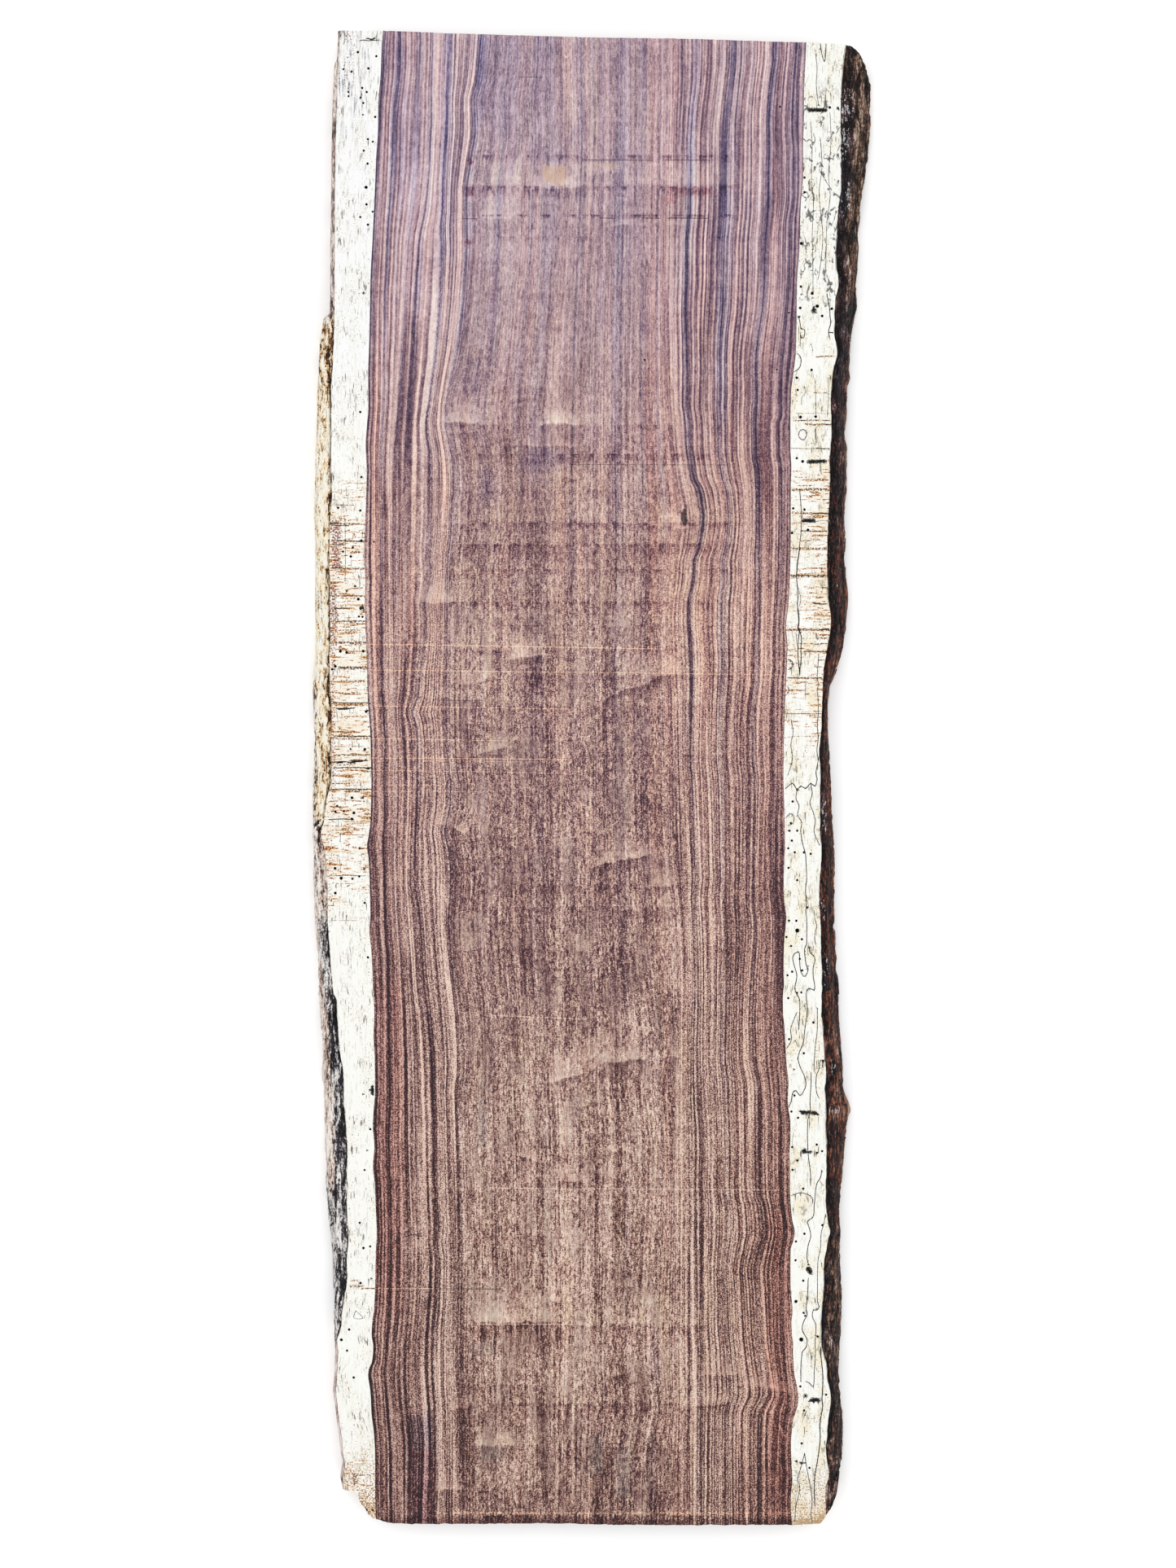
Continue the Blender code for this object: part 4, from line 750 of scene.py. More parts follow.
def mark_values(px, py):
    """Strength of every kind of mark at these places on the upper face."""
    out = {k: np.zeros(len(px)) for k in KINDS}
    wob_x = 3.0 * fbm(px / 9, py / 16, 0, 51, 3)
    wob_y = 2.6 * fbm(px / 5, py / 40, 0, 52, 3)
    for kind, strength, x0, y0, x1, y1, sx, sy in PATCHES:
        near = (px > x0 - sx - 6) & (px < x1 + sx + 6) & (py > y0 - sy - 6) & (py < y1 + sy + 6)
        if not near.any():
            continue
        scale = min(1.0, (x1 - x0) / 14)
        qx, qy = px[near] + wob_x[near] * scale, py[near] + wob_y[near] * min(1.0, sy / 3) * 0.6
        ex, ey = max(sx, 3.0) * 0.6, max(sy, 4.0) * 0.6
        v = smooth(x0 - ex, x0 + ex, qx) * (1 - smooth(x1 - ex, x1 + ex, qx))
        v = v * smooth(y0 - ey, y0 + ey, qy) * (1 - smooth(y1 - ey * 1.6, y1 + ey * 1.6, qy))
        if kind in ("pal", "drk"):
            v = v * 0.55
        if kind in ("org", "wrm") and strength < 0.7 and (x1 < 470 or x0 > 940):
            v = v * 0.5 * smooth(-0.35, 0.25, fbm(qx / 5, qy / 5, 0, 63, 2))
        out[kind][near] = np.maximum(out[kind][near], v * strength)
    for kind, strength, half, points in LINES:
        p = resample(points, 2.5)
        reach = half * 1.05
        near = (
            (px > p[:, 0].min() - reach) & (px < p[:, 0].max() + reach)
            & (py > p[:, 1].min() - reach) & (py < p[:, 1].max() + reach)
        )
        if not near.any():
            continue
        d = polyline_distance(p, px[near], py[near])
        v = strength * np.clip(1 - d / half, 0, 1) ** 0.7
        if kind == "ink":
            v = np.minimum(v * 1.35, 1.0)
        out[kind][near] = np.maximum(out[kind][near], v)
    # the pale band above each step is partly a painted sheen, and the dark band below it partly painted shade
    for pale, up, dark, down_, points in FIGURES:
        line = figure_line(points)
        x0, x1 = line[0, 0], line[-1, 0]
        near = (
            (px > x0 - 4) & (px < x1 + 4)
            & (py > line[:, 1].min() - 2.4 * up) & (py < line[:, 1].max() + 2.4 * down_)
        )
        if not near.any():
            continue
        qx = px[near]
        dy = py[near] - np.interp(qx, line[:, 0], line[:, 1])
        ends = smooth(x0 - 3, x0 + 4, qx) * (1 - smooth(x1 - 5, x1 + 3, qx))
        lens = 0.22 + 0.78 * np.sin(np.pi * np.clip((qx - x0) / (x1 - x0), 0, 1)) ** 0.7
        up, down_ = up * lens, down_ * lens
        ragged = fbm(qx / 3.0, py[near] / 14, 0, 59, 2)
        above = pale * ends * np.exp(-((np.minimum(dy, 0) / (1.42 * up * (1 + 0.7 * ragged))) ** 2)) * smooth(0.9, -0.9, dy)
        below = 0.62 * dark * ends * np.exp(-((np.maximum(dy, 0) / (1.5 * down_ * (1 + 0.8 * ragged))) ** 1.2)) * smooth(-0.9, 0.9, dy)
        out["pal"][near] = np.maximum(out["pal"][near], above)
        out["drk"][near] = np.maximum(out["drk"][near], below)
    # a dark lip round every hole
    for cx, cy, dia in HOLES:
        near = (np.abs(px - cx) < dia * 1.3 + 1) & (np.abs(py - cy) < dia * 1.3 + 1)
        if near.any():
            d = np.hypot(px[near] - cx, py[near] - cy) - dia / 2
            out["ink"][near] = np.maximum(out["ink"][near], 0.75 * np.clip(1 - d / 0.7, 0, 1))
    for x0, y0, x1, y1, wide in SLOTS:
        wide = wide * 0.55
        near = (px > min(x0, x1) - 3) & (px < max(x0, x1) + 3) & (py > min(y0, y1) - 3) & (py < max(y0, y1) + 3)
        if near.any():
            d = polyline_distance([(x0, y0), (x1, y1)], px[near], py[near]) - wide / 2
            out["ink"][near] = np.maximum(out["ink"][near], 0.7 * np.clip(1 - d / 0.7, 0, 1))
    return out


# =====================================================================
# the wood: one closed mesh
# =====================================================================
def flare(py, side):
    """How far the wood of that edge reaches out at the underside, mm."""
    if side < 0:
        rim, out = LEFT_RIM(py), spread(LEFT_OUT(py), EYE_X, 44)
        return -np.maximum(0.62 * (rim - out), 0.0)
    rim, out = RIGHT_RIM(py), spread(RIGHT_OUT(py), EYE_X, 44)
    return np.maximum(0.62 * (out - rim), 0.0)


def end_sway(px, seed, size):
    return size * (fbm(px / 7, 0, 0, seed, 3) + 0.6 * fbm(px / 2.2, 0, 0, seed + 5, 2))


def end_line(px, which):
    if which == "far":
        return TOP_END(px) + end_sway(px, 71, 0.35)
    return LOW_END(px) + end_sway(px, 72, 0.7)


def find_corner(rim, line):
    """Where an edge line meets an end line."""
    py = 60.0 if line(900.0) < 500 else 1850.0
    for _ in range(30):
        py = float(line(rim(py)))
    return float(rim(py)), py


def far(px):
    return end_line(px, "far")


def near_end(px):
    return end_line(px, "near")


corner_fl = find_corner(LEFT_RIM, far)
corner_fr = find_corner(RIGHT_RIM, far)
corner_nl = find_corner(LEFT_RIM, near_end)
corner_nr = find_corner(RIGHT_RIM, near_end)


def low_corner(corner, side, line):
    px = corner[0] + float(flare(corner[1], side))
    return px, float(line(px))


low_fl, low_fr = low_corner(corner_fl, -1, far), low_corner(corner_fr, 1, far)
low_nl, low_nr = low_corner(corner_nl, -1, near_end), low_corner(corner_nr, 1, near_end)


def end_points(a, b, low_a, low_b, line, n):
    """Matching points along an end, on the upper face and on the underside."""
    f = np.linspace(0, 1, n)
    up_x = a[0] + (b[0] - a[0]) * f
    low_x = low_a[0] + (low_b[0] - low_a[0]) * f
    return np.stack([up_x, line(up_x)], 1), np.stack([low_x, line(low_x)], 1)


def side_points(rim, side, a, b, low_a, low_b, n):
    f = np.linspace(0, 1, n)
    py = a[1] + (b[1] - a[1]) * f
    rough = 0.45 * fbm(py / 6, 0, 0, 81 + side, 3) * np.sin(np.pi * np.clip(f * 60, 0, 0.5)) * np.sin(np.pi * np.clip((1 - f) * 60, 0, 0.5))
    up = np.stack([rim(py) + rough, py], 1)
    low_y = low_a[1] + (low_b[1] - low_a[1]) * f
    low = np.stack([rim(py) + flare(py, side) + rough, low_y], 1)
    up[0], up[-1] = a, b
    low[0], low[-1] = low_a, low_b
    return up, low


up_far, low_far = end_points(corner_fl, corner_fr, low_fl, low_fr, far, 261)
up_right, low_right = side_points(RIGHT_RIM, 1, corner_fr, corner_nr, low_fr, low_nr, 641)
up_near, low_near = end_points(corner_nr, corner_nl, low_nr, low_nl, near_end, 261)
up_left, low_left = side_points(LEFT_RIM, -1, corner_nl, corner_fl, low_nl, low_fl, 641)

up_loop = np.concatenate([up_far[:-1], up_right[:-1], up_near[:-1], up_left[:-1]])
low_loop = np.concatenate([low_far[:-1], low_right[:-1], low_near[:-1], low_left[:-1]])
section_of_loop = np.concatenate([
    np.full(len(up_far) - 1, 0), np.full(len(up_right) - 1, 1), np.full(len(up_near) - 1, 2), np.full(len(up_left) - 1, 3),
])
LOOP = len(up_loop)


def plate(loop, inner, lines, rings):
    """Triangles over a flat outline. Returns points and faces; the first
    points are those of the loop, in order."""
    pts = [tuple(p) for p in loop]
    edges = [(i, (i + 1) % len(loop)) for i in range(len(loop))]
    for p in lines:
        base = len(pts)
        pts += [tuple(q) for q in p]
        edges += [(base + i, base + i + 1) for i in range(len(p) - 1)]
    for p in rings:
        base = len(pts)
        pts += [tuple(q) for q in p]
        edges += [(base + i, base + (i + 1) % len(p)) for i in range(len(p))]
    fixed = len(pts)
    pts += [tuple(q) for q in inner]
    got = geometry.delaunay_2d_cdt([Vector((float(a), float(b))) for a, b in pts], edges, [], 1, 1e-4)
    verts, _, faces, origin = got[0], got[1], got[2], got[3]
    co = np.array([(v.x, v.y) for v in verts])
    # loop points keep their own exact places and come first
    where = {}
    for new, olds in enumerate(origin):
        for old in olds:
            if old < len(loop):
                where[old] = new
    if len(where) != len(loop) or len(set(where.values())) != len(loop):
        raise RuntimeError("an outline point was lost")
    order = [where[i] for i in range(len(loop))]
    taken = set(order)
    rest = [i for i in range(len(co)) if i not in taken]
    index = {old: new for new, old in enumerate(order + rest)}
    co = co[order + rest]
    tri = np.array([[index[i] for i in f] for f in faces if len(f) == 3])
    # face the same way
    a, b, c = co[tri[:, 0]], co[tri[:, 1]], co[tri[:, 2]]
    area = (b[:, 0] - a[:, 0]) * (c[:, 1] - a[:, 1]) - (b[:, 1] - a[:, 1]) * (c[:, 0] - a[:, 0])
    tri = tri[np.abs(area) > 1e-9]
    area = area[np.abs(area) > 1e-9]
    tri[area > 0] = tri[area > 0][:, ::-1]
    return co, tri


def thin_out(inner, fixed, gap):
    """Leaves out inner points that crowd the fixed ones."""
    cell = gap
    keys = {}
    for x, y in fixed:
        keys.setdefault((int(math.floor(x / cell)), int(math.floor(y / cell))), []).append((x, y))
    keep = []
    for x, y in inner:
        i, j = int(math.floor(x / cell)), int(math.floor(y / cell))
        ok = True
        for di in (-1, 0, 1):
            for dj in (-1, 0, 1):
                for fx, fy in keys.get((i + di, j + dj), ()):
                    if (fx - x) ** 2 + (fy - y) ** 2 < gap * gap:
                        ok = False
                        break
                if not ok:
                    break
            if not ok:
                break
        if ok:
            keep.append((x, y))
    return keep


def offset_line(p, d):
    t = np.gradient(p, axis=0)
    n = np.stack([-t[:, 1], t[:, 0]], 1)
    n /= np.maximum(np.hypot(n[:, 0], n[:, 1]), 1e-9)[:, None]
    return p + n * d


def inside_top(p, margin):
    px, py = p[:, 0], p[:, 1]
    return (
        (px > LEFT_RIM(py) + margin) & (px < RIGHT_RIM(py) - margin)
        & (py > TOP_END(px) + margin) & (py < LOW_END(px) - margin)
    )


def clipped(p, margin=1.0):
    """The runs of a line that lie inside the upper face."""
    ok = inside_top(p, margin)
    runs, run = [], []
    for q, good in zip(p, ok):
        if good:
            run.append(q)
        elif len(run) > 1:
            runs.append(np.array(run))
            run = []
        else:
            run = []
    if len(run) > 1:
        runs.append(np.array(run))
    return runs


def build_top():
    lines, rings, holes = [], [], []
    for rim in (LEFT_HEART, RIGHT_HEART):
        py = np.arange(38, 1876, 4.0)
        lines += clipped(np.stack([rim(py), py], 1), 1.2)
    for kind, strength, half, points in LINES:
        if half > 5:
            continue
        p = resample(points, 3.2 if half < 1.3 else 4.0)
        for d in (-half, 0.0, half):
            lines += clipped(offset_line(p, d) if d else p, 1.0)
    for *_, points in FIGURES:
        p = figure_line(points)
        for d in (-0.9, 0.9):
            lines += clipped(p + np.array([0.0, d]), 1.0)
    for cx, cy, dia in HOLES:
        if not inside_top(np.array([[cx, cy]]), dia / 2 + 1.4)[0]:
            continue
        r = dia / 2
        n = 8
        turn = rng.uniform(0, 1)
        ang = (np.arange(n) + turn) * 2 * math.pi / n
        rr = r * (1 + rng.uniform(-0.09, 0.09, n))
        rings.append(np.stack([cx + rr * np.cos(ang), cy + rr * np.sin(ang)], 1))
        lip = r + 0.75
        rings.append(np.stack([cx + lip * np.cos(ang + 0.39), cy + lip * np.sin(ang + 0.39)], 1))
        holes.append(("hole", cx, cy, r))
    for x0, y0, x1, y1, wide in SLOTS:
        wide = wide * 0.55
        if not inside_top(np.array([[x0, y0], [x1, y1]]), wide / 2 + 1.2).all():
            continue
        length = math.hypot(x1 - x0, y1 - y0)
        ux, uy = (x1 - x0) / length, (y1 - y0) / length
        loop = []
        steps = max(3, int(length / 1.6))
        for k in range(steps + 1):
            t = k / steps
            w = wide / 2 * (0.8 + 0.25 * rng.uniform(-1, 1)) * (0.6 if k in (0, steps) else 1)
            loop.append((x0 + ux * length * t - uy * w, y0 + uy * length * t + ux * w))
        loop.append((x1 + ux * wide * 0.35, y1 + uy * wide * 0.35))
        for k in range(steps, -1, -1):
            t = k / steps
            w = wide / 2 * (0.8 + 0.25 * rng.uniform(-1, 1)) * (0.6 if k in (0, steps) else 1)
            loop.append((x0 + ux * length * t + uy * w, y0 + uy * length * t - ux * w))
        loop.append((x0 - ux * wide * 0.35, y0 - uy * wide * 0.35))
        rings.append(np.array(loop))
        holes.append(("slot", np.array(loop), 0, 0))
    fixed = [tuple(p) for p in up_loop]
    for p in lines + rings:
        fixed += [tuple(q) for q in p]
    rows = np.arange(39.0, 1873.0, 4.0)
    inner = []
    for k, py in enumerate(rows):
        px = np.arange(400.0 + (3.0 if k % 2 else 0.0), 1042.0, 6.0)
        row = np.stack([px, np.full(len(px), py)], 1)
        inner.append(row[inside_top(row, 1.4)])
    inner = np.concatenate(inner)
    inner = inner + rng.uniform(-0.25, 0.25, inner.shape)
    inner = thin_out([tuple(p) for p in inner], fixed, 1.35)
    co, tri = plate(up_loop, inner, lines, rings)
    return co, tri, holes


def in_polygon(poly, qx, qy):
    inside = np.zeros(qx.shape, bool)
    n = len(poly)
    for i in range(n):
        x0, y0 = poly[i]
        x1, y1 = poly[(i + 1) % n]
        cross = ((y0 > qy) != (y1 > qy)) & (qx < (x1 - x0) * (qy - y0) / (y1 - y0 + 1e-12) + x0)
        inside ^= cross
    return inside


top_co, top_tri, top_holes = build_top()
centre = top_co[top_tri].mean(axis=1)
pit_of_face = np.full(len(top_tri), -1)
for k, (what, a, b, r) in enumerate(top_holes):
    if what == "hole":
        hit = np.hypot(centre[:, 0] - a, centre[:, 1] - b) < r * 0.98
    else:
        lo, hi = a.min(0) - 1, a.max(0) + 1
        box = (centre[:, 0] > lo[0]) & (centre[:, 0] < hi[0]) & (centre[:, 1] > lo[1]) & (centre[:, 1] < hi[1])
        hit = np.zeros(len(centre), bool)
        hit[box] = in_polygon(a, centre[box, 0], centre[box, 1])
    pit_of_face[hit & (pit_of_face < 0)] = k

# ---- assemble
verts = []       # sheet px, sheet py, z mm
depth_of = []    # how dark a pit point is
faces = []
uvs = []         # one (u, v) per corner, in face order

values = mark_values(top_co[:, 0], top_co[:, 1])
relief = 0.06 * fbm(top_co[:, 0] / 40, top_co[:, 1] / 90, 0, 31, 3)
relief = relief - 0.22 * values["saw"] - 0.18 * np.minimum(values["ink"], 0.6)
relief[:LOOP] = np.minimum(relief[:LOOP], 0) - 0.12
top_z = THICK + np.minimum(relief, 0.04)

all_px = [top_co[:, 0]]
all_py = [top_co[:, 1]]
all_z = [top_z]
all_mark = {k: [values[k]] for k in KINDS}
count = len(top_co)


def add_points(px, py, z, **marks):
    global count
    start = count
    px, py, z = np.broadcast_arrays(np.asarray(px, float), np.asarray(py, float), np.asarray(z, float))
    all_px.append(px.ravel())
    all_py.append(py.ravel())
    all_z.append(z.ravel())
    n = px.size
    for k in KINDS:
        v = marks.get(k, 0.0)
        all_mark[k].append(np.full(n, v) if np.isscalar(v) else np.asarray(v, float).ravel())
    count += n
    return start


U_TOP = (0.004, 0.696)
U_LOW = (0.704, 0.930)


def uv_top(px, py):
    return U_TOP[0] + (px - 395) / 655 * (U_TOP[1] - U_TOP[0]), 0.997 - (py - 30) / 1850 * 0.994


def uv_low(px, py):
    return U_LOW[0] + (px - 372) / 704 * (U_LOW[1] - U_LOW[0]), 0.997 - (py - 30) / 1850 * 0.994


face_list, uv_list = [], []
flat_top = top_tri[pit_of_face < 0]
u, v = uv_top(top_co[:, 0], top_co[:, 1])
face_list.append(flat_top)
uv_list.append(np.stack([u[flat_top], v[flat_top]], -1))

for k, (what, a, b, r) in enumerate(top_holes):
    tris = top_tri[pit_of_face == k]
    if not len(tris):
        continue
    ids = np.unique(tris)
    mid = top_co[ids].mean(0)
    deep = rng.uniform(5.0, 9.0) if what == "hole" else rng.uniform(2.5, 4.5)
    shrink = 0.72
    lean = rng.uniform(-0.25, 0.25, 2) * (r if what == "hole" else 0.4)
    px = mid[0] + (top_co[ids, 0] - mid[0]) * shrink + lean[0] * 0.5
    py = mid[1] + (top_co[ids, 1] - mid[1]) * shrink + lean[1] * 0.5
    base = add_points(px, py, THICK - deep, ink=1.0)
    new = {int(o): base + i for i, o in enumerate(ids)}
    low = np.array([[new[int(i)] for i in t] for t in tris])
    uu, vv = uv_top(px, py)
    lookup = {base + i: (uu[i], vv[i]) for i in range(len(ids))}
    face_list.append(low)
    uv_list.append(np.array([[lookup[int(i)] for i in t] for t in low]))
    edge = {}
    for t in tris:
        for i in range(3):
            e = (int(t[i]), int(t[(i + 1) % 3]))
            if (e[1], e[0]) in edge:
                del edge[(e[1], e[0])]
            else:
                edge[e] = True
    wall, wall_uv = [], []
    for p, q in edge:
        up, uq = (u[p], v[p]), (u[q], v[q])
        lp, lq = lookup[new[p]], lookup[new[q]]
        wall += [(p, q, new[q]), (p, new[q], new[p])]
        wall_uv += [(up, uq, lq), (up, lq, lp)]
    face_list.append(np.array(wall))
    uv_list.append(np.array(wall_uv))

# underside
rows = np.arange(44.0, 1872.0, 15.0)
inner = []
for k, py in enumerate(rows):
    px = np.arange(372.0 + (7.5 if k % 2 else 0.0), 1080.0, 15.0)
    row = np.stack([px, np.full(len(px), py)], 1)
    left = LEFT_RIM(py) + float(flare(py, -1))
    right = RIGHT_RIM(py) + float(flare(py, 1))
    ok = (px > left + 3) & (px < right - 3) & (py > TOP_END(px) + 3) & (py < LOW_END(px) - 3)
    inner.append(row[ok])
inner = thin_out([tuple(p) for p in np.concatenate(inner)], [tuple(p) for p in low_loop], 3.0)
low_co, low_tri = plate(low_loop, inner, [], [])
low_drk = 0.5 * smooth(0.1, 0.5, fbm(low_co[:, 0] / 30, low_co[:, 1] / 22, 0, 91, 3))
low_pal = 0.5 * smooth(0.15, 0.5, fbm(low_co[:, 0] / 40, low_co[:, 1] / 18, 0, 92, 3))
low_base = add_points(low_co[:, 0], low_co[:, 1], 0.0, drk=low_drk, pal=low_pal)
u2, v2 = uv_low(low_co[:, 0], low_co[:, 1])
face_list.append(low_base + low_tri[:, ::-1])
uv_list.append(np.stack([u2[low_tri[:, ::-1]], v2[low_tri[:, ::-1]]], -1))

# walls all round, from the upper loop to the lower one
LAYERS = 12
share = np.linspace(0, 1, LAYERS + 1)[1:-1]
wall_px, wall_py, wall_z = [], [], []
normal_y = np.where(section_of_loop == 0, -1.0, np.where(section_of_loop == 2, 1.0, 0.0))
near_corner = np.zeros(LOOP)
for corner in (corner_fl, corner_fr, corner_nl, corner_nr):
    near_corner = np.maximum(near_corner, 1 - smooth(2, 14, np.hypot(up_loop[:, 0] - corner[0], up_loop[:, 1] - corner[1])))
CHECKS = [(505, 0, 2.2, 5), (598, 2, 1.6, 5), (654, 0, 1.6, 4), (702, 2, 2.0, 6), (741, 0, 1.7, 5), (812, 2, 1.6, 4), (846, 0, 1.6, 4), (905, 2, 1.8, 5)]
for s in share:
    px = up_loop[:, 0] + (low_loop[:, 0] - up_loop[:, 0]) * s
    py = up_loop[:, 1] + (low_loop[:, 1] - up_loop[:, 1]) * s
    z = np.full(LOOP, THICK * (1 - s))
    # saw marks: shallow arcs on the cut ends
    arc = 0.16 * np.sin((px * 0.55 + (z - 80) ** 2 / 90) * 0.9) + 0.28 * fbm(px / 4, z / 3, 0, 41, 3)
    dent = arc
    for cx, where, wide, deep in CHECKS:
        line = PITH_X + (cx - PITH_X) * (PITH_DOWN - THICK * s * 0.9) / PITH_DOWN
        cut = np.clip(1 - np.abs(px - line) / wide, 0, 1) * deep * smooth(1.0, 0.55, s + 0.15 * math.sin(cx))
        dent = dent + np.where(section_of_loop == where, cut, 0)
    py = py - normal_y * 0 + np.where(section_of_loop == 0, dent, 0) - np.where(section_of_loop == 2, dent, 0)
    side = np.where(section_of_loop == 1, 1.0, np.where(section_of_loop == 3, -1.0, 0.0))
    px = px + side * 0.5 * fbm(py / 14, z / 5, side, 43, 3) * (1 - near_corner)
    wall_px.append(px)
    wall_py.append(py)
    wall_z.append(z)
wall_px, wall_py, wall_z = np.array(wall_px), np.array(wall_py), np.array(wall_z)
wall_ink = np.zeros(wall_px.shape)
for cx, where, wide, deep in CHECKS:
    line = PITH_X + (cx - PITH_X) * (PITH_DOWN - (THICK - wall_z) * 0.9) / PITH_DOWN
    fade = smooth(1.0, 0.55, (1 - wall_z / THICK) + 0.15 * math.sin(cx))
    wall_ink = np.maximum(wall_ink, np.where(section_of_loop == where, np.clip(1.25 - np.abs(wall_px - line) / wide, 0, 1) * fade, 0))
wall_base = add_points(wall_px, wall_py, wall_z, ink=wall_ink * 0.9)
ring_ids = [np.arange(LOOP)] + [wall_base + r * LOOP + np.arange(LOOP) for r in range(LAYERS - 1)] + [low_base + np.arange(LOOP)]
perimeter = np.concatenate([[0], np.cumsum(np.hypot(*np.diff(np.vstack([up_loop, up_loop[:1]]), axis=0).T))])
band = {0: (0.936, 0.962, 0.505, 0.997), 2: (0.936, 0.962, 0.003, 0.495), 1: (0.966, 0.978, 0.003, 0.997), 3: (0.982, 0.994, 0.003, 0.997)}
start_of = {k: int(np.argmax(section_of_loop == k)) for k in range(4)}
length_of = {k: int((section_of_loop == k).sum()) for k in range(4)}
for r in range(LAYERS):
    a, b = ring_ids[r], ring_ids[r + 1]
    i = np.arange(LOOP)
    j = (i + 1) % LOOP
    t1 = np.stack([a[i], b[i], b[j]], 1)
    t2 = np.stack([a[i], b[j], a[j]], 1)
    sec = section_of_loop
    su0 = np.array([band[k][0] for k in range(4)])[sec]
    su1 = np.array([band[k][1] for k in range(4)])[sec]
    sv0 = np.array([band[k][2] for k in range(4)])[sec]
    sv1 = np.array([band[k][3] for k in range(4)])[sec]
    begin = np.array([start_of[k] for k in range(4)])[sec]
    total = np.array([length_of[k] for k in range(4)])[sec]
    va = sv0 + (sv1 - sv0) * (i - begin) / total
    vb = sv0 + (sv1 - sv0) * (i + 1 - begin) / total
    ua = su0 + (su1 - su0) * r / LAYERS
    ub = su0 + (su1 - su0) * (r + 1) / LAYERS
    face_list += [t1, t2]
    uv_list.append(np.stack([np.stack([ua, va], 1), np.stack([ub, va], 1), np.stack([ub, vb], 1)], 1))
    uv_list.append(np.stack([np.stack([ua, va], 1), np.stack([ub, vb], 1), np.stack([ua, vb], 1)], 1))

WP, WY, WZ = np.concatenate(all_px), np.concatenate(all_py), np.concatenate(all_z)
marks = {k: np.concatenate(all_mark[k]) for k in KINDS}
tris = np.concatenate(face_list)
corner_uv = np.concatenate(uv_list).reshape(-1, 2)


def make_mesh(name, co, tri, uv=None, smooth_faces=True):
    mesh = bpy.data.meshes.new(name)
    mesh.vertices.add(len(co))
    mesh.vertices.foreach_set("co", np.asarray(co, np.float32).ravel())
    mesh.loops.add(len(tri) * 3)
    mesh.loops.foreach_set("vertex_index", np.asarray(tri, np.int32).ravel())
    mesh.polygons.add(len(tri))
    mesh.polygons.foreach_set("loop_start", np.arange(0, len(tri) * 3, 3, dtype=np.int32))
    mesh.polygons.foreach_set("use_smooth", np.full(len(tri), smooth_faces))
    mesh.update(calc_edges=True)
    mesh.validate()
    if uv is not None:
        layer = mesh.uv_layers.new(name="OFBake")
        layer.data.foreach_set("uv", np.asarray(uv, np.float32).ravel())
    obj = bpy.data.objects.new(name, mesh)
    bpy.context.scene.collection.objects.link(obj)
    return obj


def point_value(obj, name, values):
    layer = obj.data.attributes.new(name, "FLOAT", "POINT")
    layer.data.foreach_set("value", np.asarray(values, np.float32))


def point_colour(obj, name, r, g, b, a=None):
    layer = obj.data.attributes.new(name, "FLOAT_COLOR", "POINT")
    a = np.ones(len(r)) if a is None else a
    layer.data.foreach_set("color", np.stack([r, g, b, a], 1).astype(np.float32).ravel())


slab = make_mesh("slab_wood", xyz(WP, WY, WZ), tris, corner_uv)
slab.data.set_sharp_from_angle(angle=math.radians(38))
rings_at = np.where(WZ > THICK - 1.5, ring_number(WP, WY), ring_number_deep(WP, WY, np.clip(THICK - WZ, 0, THICK)))
point_value(slab, "ring", rings_at)
point_colour(slab, "marks_a", marks["ink"], marks["org"], marks["saw"])
point_colour(slab, "marks_b", marks["pal"], marks["drk"], marks["gry"])
point_colour(slab, "marks_c", marks["blu"], marks["red"], marks["wrm"])


# =====================================================================
# bark
# =====================================================================
def bark_profile_right(rim, out, py):
    """Section points going out from the sapwood and down: offset from the
    rim (mm) and depth below the upper face (mm)."""
    w = out - rim
    shares = [0.0, 0.03, 0.075, 0.16, 0.28, 0.38, 0.50, 0.63, 0.76, 0.88, 0.965, 1.0, 0.985, 0.95]
    depths = [0.5, 3.2, 1.3, 0.8, 1.0, 2.2, 6.0, 13.0, 21.0, 30.0, 39.0, 45.0, 50.0, THICK]
    return [s * w for s in shares], depths


def settle(base, lo, hi, first, last):
    """Place along the edge: kept as given, and squeezed to the ends in the last 90 mm."""
    a, b = first + 90.0, last - 90.0
    start = lo + (a - lo) * (base - first) / (a - first)
    stop = hi - (hi - b) * (last - base) / (last - b)
    return np.where(base < a, start, np.where(base > b, stop, base))


